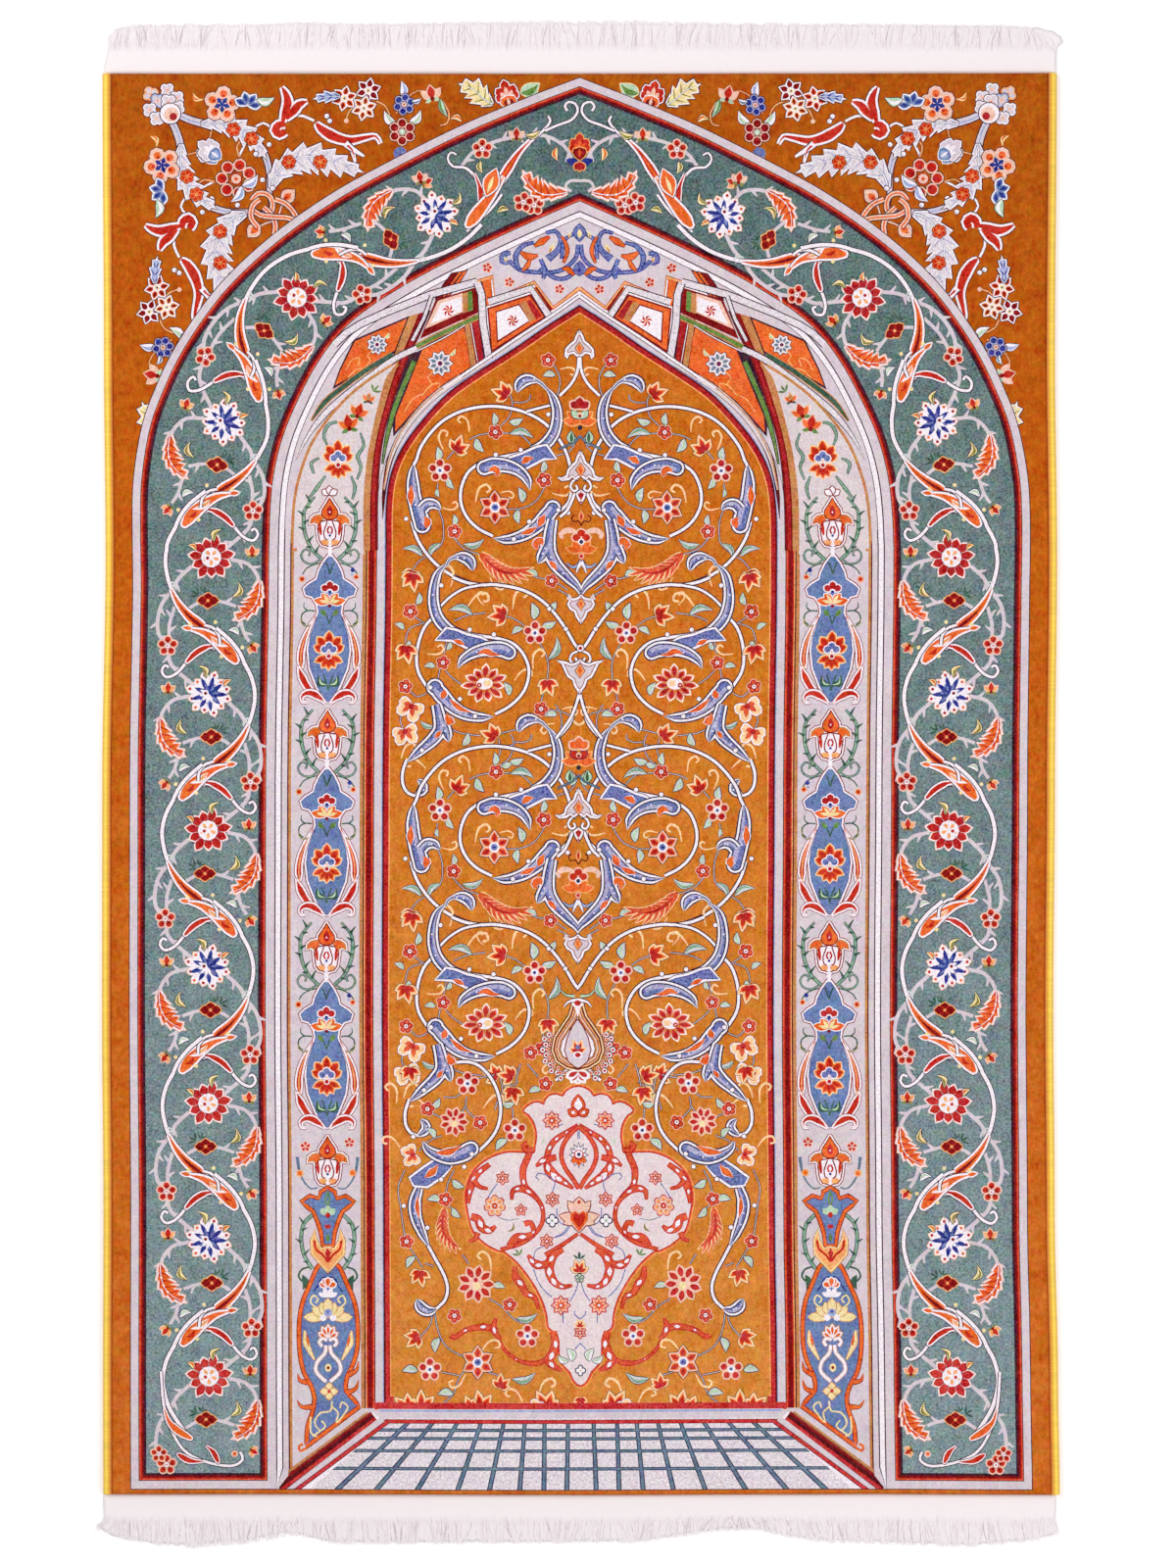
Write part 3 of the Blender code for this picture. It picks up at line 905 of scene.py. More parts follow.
def draw_half_swing(row, hand, warm, last=False):
    """The plants of one bay. `hand` is 1 where the vine runs on the left of the rosette, -1 where right."""

    def spot(x, y):
        return np.array([BORDER_MIDDLE + hand * x, row + y])

    def path(*points, step=5.0):
        return bent(smooth([spot(x, y) for x, y in points], step))

    def plant(motif, x, y, turn=0.0, size=1.0):
        at = spot(x, y)
        set_down(motif, bent([at])[0], hand * turn + bent_turn(at), size, flip=hand < 0)

    # pale thorned stems
    thorny(path((20, 2), (38, 7), (48, 20), (49, 32)), 4.4)
    thorny(path((-20, 9), (-33, 21), (-39, 32), (-50, 47), (-54, 62), (-53, 78), (-44, 90)), 4.6)
    if not last:
        thorny(path((-43, 92), (-41, 106), (-34, 115), (-14, 132)), 4.6)
        thorny(path((-42, 84), (-42, 68), (-37, 50)), 4.2)
        thorny(path((30, 60), (34, 76), (40, 86)), 4.0, every=11)
    thorny(path((-24, 53), (-12, 46), (2, 44), (14, 46), (26, 50)), 4.0, every=26)
    # the white vine's bay
    vine(path((-35, -32), (-43, -17), (-47, 1), (-45, 18), (-39, 35), (-24, 58)), 3.8)
    plant(rosette(24, warm=warm), 0, 0, 15)
    plant(serrated_leaf(44, 14, -0.24), 50, 25, 216)
    plant(blossom(11), -43.5, 90)
    plant(quatrefoil(11), -3, 44)
    plant(bud(10), 42, -2, 0)
    plant(leaflet(17, 6.5, 0.34), 22, 41, 20)
    plant(leaflet(15, 5.5, -0.3), 4, -16, 30)
    plant(leaflet(10, 5, 0.2, shade="orange"), -15, -8, -50)
    plant(sprig(9), -13, 38, -60)
    plant(sprig(7), -8, 36, 20)
    if last:
        return
    plant(bud(9), 42, 90, 140)
    plant(leaflet(13, 6, 0.25, body="white", shade="mint"), 30, 79, -70)
    plant(sprig(8, "mist"), -36, 26, -130)
    # the split leaves at the crossing
    branch = path((12, 93), (2, 92), (-10, 94), (-20, 101), (-27, 111), (-35, 119), (-44, 122), (-49, 116),
                  (-46, 110), (-42, 112), step=3.0)
    vine(branch, [(0, 4.2), (0.5, 3.0), (1, 2.6)])
    split_leaf(path((10, 90), (-2, 91), (-14, 97), (-23, 106)), 5.0, body="red", bulb=0.45, rim=1.6)
    split_leaf(path((-41, 32), (-35, 44), (-26, 56), (-15, 66), (-5, 73)), 8.5, heart="wine", bulb=0.78)
    plant([(grown(petal(12, 5, 0.5, 1.0), 0.8), "white"), (petal(11, 4, 0.5, 1.0), "orange")], -18, 73, -80)
    split_leaf(path((-20, 73), (-6, 77), (8, 86), (19, 96), (26, 105)), 11.5)
    plant([(crescent(22, 6, 0.12), "white"), (crescent(18, 3, 0.12), "apricot")], 0, 80, 120)
    plant([(crescent(12, 4, 0.2), "red")], 14, 92, 125)
    vine(path((-6, 69), (3, 72), (9, 80), (10, 89), step=3.0), 2.6)
    vine(path((6, 72), (21, 85), (31, 98), (36, 109)), 3.6)
    for x, y in ((33, 92), (5, 66), (12, 101), (-21, 68)):
        plant([dot(4.2, 7, "butter")], x, y)


chart_before = len(chart)
LOWEST_ROSETTE = 1405.0  # row
for swing in range(9, -1, -1):
    warm = swing % 2 == 0
    draw_half_swing(LOWEST_ROSETTE - swing * HALF_SWING, 1 if warm else -1, warm, last=swing == 0)
print("the border's outlines:", len(chart) - chart_before)

# %% [markdown]
# ## The columns
# A cream column stands on either side of the niche. Under a cusped crown hangs a blue cartouche with two
# flowers in it. The pair comes three times, 217 squares apart, and a fourth crown stands over the foot.
# Green thorned stems ring the upper crowns, and red and white leaves wrap each cartouche. One pair is drawn
# about the column's own middle line and repeated, and `both` turns an outline over for the other half.

# %% The column's crowns and cartouches
COLUMN_MIDDLE = 333.8
CROWN_ROWS = (534.5, 751.5, 968.5, 1186.0)
CARTOUCHE = (
    # squares from the column's middle, rows down from the cartouche's top
    (0, 0), (6.5, 8.4), (11, 17.4), (13, 25), (21.7, 30.4), (26, 34.4), (24, 40), (17.4, 41.8),
    (12, 49.8), (10.8, 58.4), (14.6, 69.4), (19, 82.4), (20.6, 97), (18.4, 115), (10.8, 134), (2, 149.4),
)


def both(outline):
    """An outline on the right of the middle line, and the same on the left."""
    points = np.asarray(outline, dtype=float)
    return [points, points * (-1, 1)]


def pair(outline, yarn):
    """An outline on both sides of the middle line, in one yarn."""
    return [(shape, yarn) for shape in both(outline)]


def halves(outline):
    """One outline made of a right half and its own turned-over left half."""
    points = np.asarray(outline, dtype=float)
    return np.vstack([points, (points * (-1, 1))[::-1]])


def curve_pair(points, width, *layers, step=3.0):
    """A tapering line on both sides of the middle, in several widths: (extra width, yarn)."""
    line = smooth(points, step)
    return [(shape, yarn) for extra, yarn in layers for shape in both(ribbon(line, widened(width, extra)))]


def crown():
    """The cusped crown: a spade with two drooping leaves over a small urn."""
    spade = [(0, -27), (4.2, -20), (8.4, -14), (9.2, -9), (5.6, -4), (0, -3)]
    leaf = [(6, -7), (10.5, -9.5), (15.5, -8.5), (19.6, -5), (20.8, 1.2), (15.6, -0.6), (11.4, 2.6),
            (7.4, 0)]
    urn = [(0, -4), (9, -2.6), (13.4, 3), (12.6, 11), (11.4, 18), (8, 22.6), (3.4, 23.4), (0, 26)]
    out = []
    for by, yarn in ((2.4, "wine"), (1.5, "white")):
        out += [(grown(halves(shape), by), yarn) for shape in (spade, urn)]
        out += [(grown(shape, by), yarn) for shape in both(leaf)]
    out += pair(leaf, "ochre")
    out += [(grown(shape, -1.6), "orange") for shape in both(leaf)]
    out += stacked(halves(spade), (0, "wine"), (-1.1, "orange"))
    out += [(halves([(0, -19), (3, -14), (2.6, -9), (0, -7)]), "crimson"), dot(2.0, 5, "white", (0, -11.5))]
    out += stacked(halves(urn), (0, "wine"), (-1.3, "white"))
    out += curve_pair([(9.8, -0.4), (10.2, 5), (9.2, 12)], [(0, 1.2), (0.5, 4), (1, 1.6)], (0, "red"))
    out += curve_pair([(2.6, -2), (4.4, 3), (6.2, 9), (5.4, 15), (2.4, 17)], 1.3, (0, "wine"))
    out += curve_pair([(0.6, 3), (2.6, 7), (1.0, 10.6)], 1.8, (0, "crimson"))
    out += [dot(3.0, 6, "navy", (0, 12.4))]
    out += pair([(1, 18), (6, 16.4), (9.6, 18), (7, 22), (1.6, 22)], "apricot")
    return out


def cartouche():
    """The blue cartouche with its lotus, its palmette and the leaves wrapped round it."""
    shape = halves(CARTOUCHE)
    out = stacked(shape, (3.4, "wine"), (2.4, "white"), (0.6, "navy"), (0, "steel"))
    # the leaves outside
    wrap = [(14.5, 62), (20.6, 74), (26.0, 88), (28.6, 102), (27.8, 117)]
    for points, stops in (
        (wrap, [(0, 1.2), (0.5, 6.4), (0.85, 7.4), (1, 2)]),
        ([(31.5, 112), (27.0, 124), (20.6, 135), (12, 144)], [(0, 1.2), (0.35, 8.4), (0.75, 7.4), (1, 2)]),
        ([(2.4, 151), (8, 146), (15, 141.4), (22, 140.6), (27, 144.4), (25.6, 150), (21.6, 149.4)],
         [(0, 2), (0.35, 8.6), (0.6, 6.4), (0.85, 3), (1, 2)]),
    ):
        out += curve_pair(points, stops, (2.6, "wine"), (1.2, "white"), (-2.6, "red"))
    out += curve_pair(wrap[1:], [(0, 0.6), (0.5, 1.6), (1, 0.8)], (0, "apricot"))
    out += curve_pair([(6, 146.5), (13, 142.6), (19, 141.6)], [(0, 1.5), (0.5, 5.6), (1, 2)], (0, "red"))
    out += curve_pair([(15, 57), (22, 56.4), (28, 60), (28.6, 67), (24, 71)], 1.5, (0, "moss"))
    out += curve_pair([(28.4, 64), (28.6, 69), (23.6, 73), (19.6, 71)], 1.2, (0, "olive"))
    out += curve_pair([(22, 57), (26.4, 53), (26, 48)], [(0, 1.8), (1, 0.8)], (0, "moss"))
    # the stems and flowers inside
    for low, high, wide in ((7, 19, 4.4), (56, 70, 6), (122, 138, 5)):
        out += curve_pair([(0, high), (wide * 0.4, (low + high) / 2), (wide, low)], 1.5, (0, "moss"))
    out += pair(turned(petal(9, 5, 0.5, 1.0), 40) + (3.4, 62), "green")
    out += pair(turned(crescent(15, 7.4, 0.3), 42) + (0, 133), "moss")
    out += pair(turned(crescent(12, 2.2, 0.34), 42) + (0.6, 132), "mint")
    for by, yarn in ((1.3, "white"), (0.0, "crimson")):
        for turn in (-64, 0, 64):
            out.append((grown(turned(petal(9.4, 6.6, 0.66), turn), by) + (0, 36), yarn))
    out += [(oval((0, 36.6), 6.4, 5, sides=8), "white"), (oval((0, 37.4), 4.0, 3.4, sides=7), "navy")]
    for by, yarn in ((1.0, "white"), (0.0, "orange")):
        for turn, reach in ((-78, 16.6), (78, 16.6), (-40, 13), (40, 13)):
            out.append((grown(turned(petal(reach, 7.6, 0.55, 0.7), turn), by) + (0, 49), yarn))
    out += fan((-76, 76, -36, 36), petal(11, 3.4, 0.5, 1.0), "butter", (0, 48.6))
    out.append(dot(3.8, 7, "wine", (0, 51.6)))
    out += [(shape + (0, 95), yarn) for shape, yarn in great_flower()]
    return out


def great_flower():
    """An open flower seen half from the side: long upper petals, a blue heart and a fan of short ones."""
    out = []
    for by, yarn in ((1.5, "peach"), (0.1, "orange"), (-1.3, "red")):
        for turn, reach in ((-68, 16), (68, 16), (-38, 19), (38, 19), (0, 21)):
            out.append((grown(turned(petal(reach, 8.4, 0.66, 0.4), turn), by) + (0, 3.6), yarn))
        for turn, reach in ((-112, 15), (112, 15), (-150, 13.5), (150, 13.5), (180, 14)):
            out.append((grown(turned(petal(reach, 6.6, 0.55, 0.9), turn), by) + (0, 8), yarn))
    for by, yarn in ((1.3, "white"), (0.0, "blue")):
        for spot in ((-4.4, 1.0), (4.4, 1.0), (0, -2.6)):
            out.append(dot(7 + by * 2, 8, yarn, spot))
    out += [dot(6.4, 8, "white", (0, 8)), dot(4.4, 7, "crimson", (0, 8))]
    return out


def green_stem(points, dark, width, thorns, reach, lift, thorn_width):
    """A green stem in a dark one, with mossy thorns at these shares, on one side and then the other."""
    line = smooth(points, 4)
    out = [(ribbon(line, dark), "ink"), (ribbon(line, width), "sage")]
    for k, share in enumerate(thorns):
        spot = int(share * (len(line) - 1))
        at = line[spot]
        tip = at + normals(line)[spot] * (reach if k % 2 else -reach) + (0, -4)
        out.append((ribbon(np.array([at, (at + tip) / 2 + (0, -lift), tip]), thorn_width), "moss"))
    return out


def crown_stems():
    """The green stems round a crown: two thorned ones, two spirals and two thin sprigs."""
    out = []
    stem = [(-7, 38), (-17.4, 28), (-22.4, 19), (-25.6, 10), (-26.8, 0), (-26.2, -12), (-22, -19),
            (-15, -27)]
    for flip in (1, -1):
        out += green_stem(np.array(stem) * (flip, 1), [(0, 3.8), (0.6, 4.2), (1, 2.6)],
                          [(0, 2.4), (0.6, 2.8), (1, 1.4)],
                          (0.16, 0.26, 0.38, 0.5, 0.62, 0.74, 0.84, 0.94), 6.4, 0.4, [(0, 3.6), (1, 0.8)])
        curl = [(-10, 37), (-18, 41.6), (-26.6, 39), (-29.6, 32), (-25.4, 26.6), (-20.6, 29), (-22, 33.6)]
        out.append(drawn(np.array(curl) * (flip, 1), 2.3, "ink", 3))
        out.append(drawn(np.array(curl) * (flip, 1), 1.1, "sage", 3))
        thin = [(-7, 40), (-16, 42), (-24, 46), (-28, 52)]
        out.append(drawn(np.array(thin) * (flip, 1), 1.3, "moss"))
    for at, across, yarn in (((-28.6, 57), 7.4, "apricot"), ((-28.6, 57), 4.6, "red"),
                             ((23.4, 47.6), 5, "navy"),
                             ((22.6, 52.0), 3, "sky"), ((27, 54.6), 6.4, "apricot"),
                             ((27, 54.6), 4, "red")):
        out.append(dot(across, 6, yarn, at))
    return out


# the column's top, where it bends with the arch
COLUMN_EDGE = ((296.4, 560), (297.4, 530), (300, 506), (306, 482), (317, 454.5), (334.6, 428.6),
               (356.4, 405),
               (378, 388), (392, 379), (404, 371))
RIB_LEFT = ((368.6, 562), (369.0, 510), (373.3, 467), (380, 435), (387.3, 406), (394, 384), (402, 362),
            (408, 346), (417, 323))
RIB_RIGHT = ((382.2, 562), (382.8, 510), (386.2, 467), (392.3, 435), (401.5, 406), (409, 384), (418, 360),
             (426, 345), (438, 317))
print("outlines in a cartouche:", len(cartouche()), "- in a crown:", len(crown()))

# %% [markdown]
# ## The fan above the columns
# Between the columns' tops and the two arches the stripes part into a fan of painted panels, as in a
# vaulted porch: white ribs, orange and white panels edged in ochre, wine and green, and a pale field with
# blue scrolls at the peak. Each panel and rib is one outline, laid in the order in which they overlap.

# %% Lay the fan panels
fan_edge = set_in(inner_curve, 23.6)
fan_edge = fan_edge[fan_edge[:, 1] < 545]
niche_edge = set_in(niche_curve, -10.2)
niche_edge = niche_edge[niche_edge[:, 1] < 562]
ink(np.vstack([fan_edge, [(296, 545), (296, 562)], niche_edge[::-1]]), "lavender")

ZIGZAG = [(466, 294.5), (502.4, 282.3), (505, 305), (545, 288), (564.6, 313.8), (591.5, 293.5)]
ink(ZIGZAG + [(591.5, 303), (560, 322), (520, 346), (486, 368), (470, 336), (440, 312)], "white")
# blue scrolls at the peak
for points, width in (
    (((590, 249), (588, 262), (577.7, 272.6), (564.6, 277.4), (545, 277.4), (529.9, 274.8), (519, 266)),
     2.6),
    (((551.6, 264), (558.1, 277), (566.8, 283.4), (577.7, 283.4), (587, 276.9)), 2.6),
    (((559, 264), (569, 255.2), (572.2, 244.4), (566.8, 235.7), (557, 237.4)),
     [(0, 6.4), (0.4, 3.4), (1, 2)]),
    (((573.3, 264), (574.2, 252), (577.6, 243), (586, 238)), 2.2),
    (((519, 268), (513, 266), (514.6, 259), (521, 258)), [(0, 2.6), (0.4, 7), (1, 2)]),
    (((530, 276), (526, 262), (533, 251), (545, 247)), [(0, 1.4), (0.4, 4.4), (1, 1.6)]),
    (((552, 272), (556, 278), (554, 284)), [(0, 6), (1, 2)]),
):
    vine(smooth(points, 4), width, "blue", "navy", 1.0)
for at, size, turn in (((560, 258), 11, 30), ((517, 268), 7, -20), ((580, 243), 8, 20)):
    set_down([(petal(size, size * 0.42, 0.5, 0.8), "butter"),
              (petal(size * 0.7, size * 0.2, 0.5, 1.0), "ochre")],
             at, turn)
for points, width in (
    (((575, 268), (579, 257), (577, 247), (573, 241)), [(0, 1.6), (0.5, 3.6), (1, 1.4)]),
    (((545, 251), (553, 246), (561, 241)), [(0, 2), (0.5, 6.4), (1, 1.6)]),
    (((531, 257), (540, 262), (549, 260)), [(0, 1.6), (0.5, 7.4), (1, 1.4)]),
    (((541, 264), (538, 271), (533, 276)), [(0, 1.6), (0.5, 4.4), (1, 1.4)]),
    (((586, 280), (579, 274), (574, 274)), [(0, 2), (0.5, 5.4), (1, 1.4)]),
):
    vine(smooth(points, 3), width, "orange", "wine", 0.8)
on_middle([(grown(petal(18, 12, 0.55, 0.8), 1), "navy"), (petal(18, 12, 0.55, 0.8), "blue"),
          (petal(13, 5, 0.5, 0.8, start=3), "butter")], 246)
on_middle([(grown(petal(15, 12, 0.4, 0.5), 0.8), "navy"), (petal(15, 12, 0.4, 0.5), "blue"),
          (turned(petal(9, 5, 0.5, 1.0), -60) + (0, -3), "blue"),
          (petal(8, 3, 0.5, 1.0, start=3), "navy")], 281)
for at in ((497, 273), (519.5, 287.6), (571, 294.5)):
    set_down(blossom(5.4, 5, "blush", "red", None, ("blush", "wine")), at, 12)
vine(np.array(ZIGZAG), 2.8, "apricot", "crimson", 0.9)
ink([(490.5, 287.4), (500.6, 284.2), (503, 309.6), (496, 312.6)], "wine")
ink([(492.2, 287.2), (500.2, 284.6), (502, 309.6), (496.6, 311.6)], "orange")
ink([(540.6, 295.2), (546.6, 292.6), (562.8, 316.2), (556.6, 321)], "orange")
ink([(545.8, 292.8), (547.6, 292.2), (564, 315.6), (562, 317)], "wine")

# white panels with a red sprig, and the strips beside them
for points, yarn in (
    ([(444, 306), (486.8, 292.6), (490, 318), (428, 346)], "wine"),
    ([(446.4, 307.2), (471.8, 299), (471.8, 318.6), (433, 336)], "blush"),
    ([(449.7, 309.6), (470.6, 303), (470.6, 317.6), (438.8, 331)], "white"),
    ([(471.8, 299.6), (476.8, 298), (477.4, 318), (471.8, 320)], "ochre"),
    ([(476.8, 298), (481.4, 296.4), (482.4, 316.4), (477.4, 318)], "green"),
    ([(482.0, 296.2), (487.2, 294.6), (488.6, 315), (483, 316.4)], "wine"),
    ([(496.8, 314.2), (541.6, 299.6), (558, 323), (501, 360)], "wine"),
    ([(498.8, 315.4), (540.4, 301.8), (555, 322.8), (502, 357)], "orange"),
    ([(505.4, 317.6), (530, 309.6), (540.8, 327.6), (506.6, 350)], "wine"),
    ([(506.6, 318.6), (529.4, 311.2), (539.6, 327), (508, 347)], "white"),
    ([(530, 309.4), (536.2, 307.2), (546.6, 325), (540.4, 328.6)], "ochre"),
    ([(536.8, 307), (541.4, 305.4), (553.2, 322.4), (547, 325.6)], "crimson"),
):
    ink(points, yarn)
for at in ((457, 317), (523, 327)):
    for turn in (20, 80, 140, 200, 265, 320):
        set_down([(crescent(6.6, 2.2, 0.3), "red")], at, turn)
    set_down([dot(2.4, 6, "apricot")], at)

# orange panels with a rosette, edged in ochre and wine
for points, yarn in (
    ([(338, 398), (345, 378), (360, 347), (417, 322.6), (410, 356), (376, 376)], "night"),
    ([(340.6, 394), (347, 377), (361.4, 348.6), (416, 324.8), (408.6, 354), (375, 374)], "orange"),
    ([(410, 360), (429.6, 354), (473.5, 332), (484.6, 374), (452, 394), (420, 424), (400, 446), (399, 430)],
     "night"),
    ([(413.6, 399), (431, 355.6), (472.6, 334), (482.8, 373.4), (455, 389.6), (431, 409), (415, 426),
      (402, 441), (402.6, 425)], "orange"),
    ([(472.4, 326), (478.6, 323.4), (487, 371), (479.6, 376)], "wine"),
    ([(472.9, 327), (478, 324.6), (485.4, 371.4), (480.2, 374.8)], "ochre"),
    ([(479.4, 323), (487.6, 319.6), (494, 366), (487.6, 370.4)], "night"),
    ([(480.2, 323.4), (487.2, 320.6), (493, 366), (488.2, 369.6)], "crimson"),
):
    ink(points, yarn)
for at, size in (((384, 352), 9), ((448.5, 371), 11.4)):
    set_down(star_flower(size * 1.1, 9, "white", "lavender", "slate", "night", "wine"), at, 10)
    set_down(leaflet(size * 0.9, 4, 0.2, "butter", "mint", None), at + np.array((size * 0.8, -size * 0.7)),
             40)
    set_down([(ribbon(smooth([(-6, 7), (-12, 14), (-8, 20), (-14, 26)], 4) * size / 11, 1.4), "apricot")],
             at)
for points in (((352, 378), (358, 368), (366, 366), (364, 374)), ((354, 386), (362, 378), (370, 376)),
               ((430, 404), (438, 394), (448, 391), (447, 397)), ((412, 420), (420, 408), (430, 402))):
    stroke(points, 1.3, "apricot", 3)

# the pale bands below the orange panels, down to the column's foot
stroke([(492, 371), (470, 385), (448, 400), (427, 419), (408, 444), (396, 470), (390, 500), (388, 530)],
       [(0, 7.4), (0.7, 6.4), (0.9, 3.4), (1, 0.5)], "brown", 8)
stroke([(492, 371), (470, 385), (448, 400), (427, 419), (408, 444), (396, 470), (390, 500)],
       [(0, 6.2), (0.7, 5.2), (1, 0.8)], "cream", 8)
stroke([(482, 376), (458, 391), (432, 412), (410, 438), (396, 468), (389, 500)], 1.3, "ochre", 8)
vine(smooth([(422, 369), (411, 394), (402, 416), (396, 436), (391.6, 455), (388.4, 474)], 8),
     [(0, 5), (0.6, 4.4), (1, 0.8)], "green", "night", 0.9)

# the red rib, from the column's right side up to the arch
rib_left, rib_right = smooth(RIB_LEFT, 9), smooth(RIB_RIGHT, 9)
count = min(len(rib_left), len(rib_right))
rib_left, rib_right = evenly(rib_left, count), evenly(rib_right, count)
for first, last, yarn in ((-0.08, 1.06, "night"), (0.0, 0.46, "ochre"), (0.46, 1.0, "wine"),
                          (0.62, 0.86, "crimson")):
    span = rib_right - rib_left
    ink(np.vstack([rib_left + span * first, (rib_left + span * last)[::-1]]), yarn)
for points, yarn in (
    ([(460, 278.6), (477.6, 275), (465.4, 295), (458.8, 301.6), (442.6, 306.4), (451.4, 290)], "night"),
    ([(461, 279.4), (467, 278), (457, 292), (450.4, 303.6), (444.2, 305.2), (452, 291)], "wine"),
    ([(467.6, 278.2), (476, 276.4), (464.4, 294.4), (458, 301), (451.4, 303.2), (458, 291.6)], "orange"),
    ([(471, 277.4), (472.6, 277), (461.6, 293), (455.4, 302), (454, 302.4), (460, 292)], "brown"),
):
    ink(points, yarn)

# the white ribs, with the green line that runs beside one of them
vine(smooth([(316, 430), (330, 411), (350, 394.6), (374, 377.4), (400, 362)], 8),
     [(0, 1), (0.2, 4.6), (1, 4.6)],
     "moss", "ochre", 1.1)
stroke([(300, 470), (312, 446), (330, 423), (350, 405), (376, 385), (402, 366.6), (426, 354)],
       [(0, 1), (0.3, 7.4), (1, 7.4)], "night", 8)
stroke([(300, 470), (312, 446), (330, 423), (350, 405), (376, 385), (402, 366.6), (428, 354)],
       [(0, 0.4), (0.3, 5.4), (1, 5.4)], "pearl", 8)
vine(smooth([(424, 354), (452, 339.6), (490, 322)], 8), 3.8, "green", "ochre", 1.2)
vine(smooth([(424, 359), (454, 344), (474, 331.6)], 8), 1.0, "white", "night", 0.7)
for points, wide in (
    (((340, 352), (352, 340.6), (366, 331.6), (392, 319.6), (440, 300.4), (487, 287.4)), 6.4),
    (((498, 308), (541.6, 294), (559.6, 321)), 6.2),
    (((486.6, 288), (491, 300), (492.6, 330), (498.6, 366)), 6.6),
    (((440, 302), (432, 325), (420, 348)), 3.0),
):
    vine(np.array(points, dtype=float), wide, "pearl", "night", 1.1)
vine(smooth([(470, 384), (500, 363.4), (530, 343), (564, 321), (591.5, 301.5)], 9), 2.6, "white", "night",
     0.8)
stroke([(452, 396), (470, 384), (500, 364)], 2.0, "white", 9)

# %% Lay the columns' panels and everything on them
top_panel = np.vstack([smooth(COLUMN_EDGE, 8), smooth(RIB_LEFT[:6], 8)[::-1]])
ink(grown(top_panel, 3.0), "ochre")
ink(top_panel, "cream")
ink([(300, 545), (368.6, 545), (368.6, 566), (300, 566)], "cream")
for first, last, yarn in ((-0.04, 0.46, "ochre"), (0.46, 1.0, "wine"), (0.58, 0.84, "crimson")):
    keep = rib_left[:, 1] > 385
    span = (rib_right - rib_left)[keep]
    edge = rib_left[keep]
    ink(np.vstack([edge + span * first, (edge + span * last)[::-1]]), yarn)
for row in CROWN_ROWS[:3]:
    set_down(crown_stems(), (COLUMN_MIDDLE, row))
    set_down(cartouche(), (COLUMN_MIDDLE, row + 32.6))
for row in CROWN_ROWS:
    set_down(crown(), (COLUMN_MIDDLE, row))
    ink(np.array([(-2.4, 24), (2.4, 24), (1.6, 34), (-1.6, 34)]) + (COLUMN_MIDDLE, row), "white")
for turn in (-58, 0, 58):
    set_down(stacked(petal(9, 6, 0.6, 0.8), (1.1, "wine"), (0, "white")),
             (COLUMN_MIDDLE, CROWN_ROWS[0] - 29), turn)
set_down(great_flower(), (343, 467))
for points in (((332, 455), (328.6, 444), (335, 433), (347, 431)), ((324, 468), (315.4, 473), (318, 484)),
               ((366, 442), (369.6, 455), (363, 466), (366.4, 477), (362, 490)),
               ((330, 486), (321, 498), (312, 510)), ((356, 486), (360, 498), (357, 510))):
    stroke(points, [(0, 2.2), (0.5, 4.2), (1, 2.4)], "ink")
    stroke(points, [(0, 1.0), (0.5, 2.8), (1, 1.2)], "sage")
for at, size, turn in (((355, 438), 15, -10), ((363, 425), 14, 20)):
    set_down(bud(size, "red", "orange", "green"), at, turn)
set_down(bud(9, "ochre", "orange", "moss"), (374.6, 410), 8)
set_down(sprig(9, "green"), (380, 400), 40)
print(len(chart), "outlines on the chart")

# %% [markdown]
# ## The columns' feet
# Under the last crown a blue goblet with an orange rim stands in a gold crescent on a great blue bulb full
# of cream scrolls. The bulb's foot is cut off along the slope of the floor, like the column itself.

# %% The goblet and the bulb
GOBLET = [(0, 1211), (8, 1216), (9.6, 1222.4), (18.4, 1219.6), (28, 1226), (22.4, 1232), (15.8, 1237),
          (11.5, 1247),
          (8, 1258), (6, 1272)]
BULB_LEFT = [(-4, 1286), (-11.5, 1293), (-18.7, 1309.6), (-27, 1329.7), (-30.4, 1352.7), (-29.6, 1381.4),
             (-25.4, 1401.5), (-18.6, 1414), (-14.8, 1427), (-17.2, 1441.7), (-22, 1456), (-23.4, 1478)]
BULB_RIGHT = [(4, 1286), (12.6, 1293), (20, 1309.6), (27.3, 1326.8), (30.8, 1346.9), (30.8, 1372.8),
              (27, 1390),
              (20, 1406), (19, 1419), (27, 1428), (32.4, 1436)]
foot = []
stem = [(15.8, 1240), (24.4, 1249), (27.3, 1263.7), (24.4, 1280.9), (15.8, 1295.3)]
for flip in (1, -1):
    foot += green_stem(np.array(stem) * (flip, 1), 4.2, 2.8, (0.2, 0.36, 0.56, 0.74, 0.9), 6, 0,
                       [(0, 3.2), (1, 0.6)])
    foot.append(drawn(np.array([(19, 1293), (27, 1296), (30, 1303), (26, 1308)]) * (flip, 1), 2, "moss", 3))
    foot.append((turned(crescent(16, 7, 0.2 * flip), 180) + (flip * 26, 1301), "moss"))
    ring = [(10, 1212), (17, 1213.4), (24.4, 1206), (29, 1195), (31, 1181)]
    foot.append(drawn(np.array(ring) * (flip, 1), [(0, 1.4), (0.6, 2.2), (1, 3.6)], "slate"))
for at, across, yarn in (((-28.4, 1197.7), 8, "apricot"), ((-28.4, 1197.7), 5, "orange"),
                         ((25.6, 1197), 8, "apricot"), ((25.6, 1197), 5, "orange")):
    foot.append(dot(across, 7, yarn, at))
foot += stacked(halves(GOBLET), (1.6, "wine"), (0.6, "orange"), (-2.6, "wine"), (-3.4, "steel"))
foot += curve_pair([(0, 1216), (2, 1224), (0.6, 1230)], 1.6, (0, "green"))
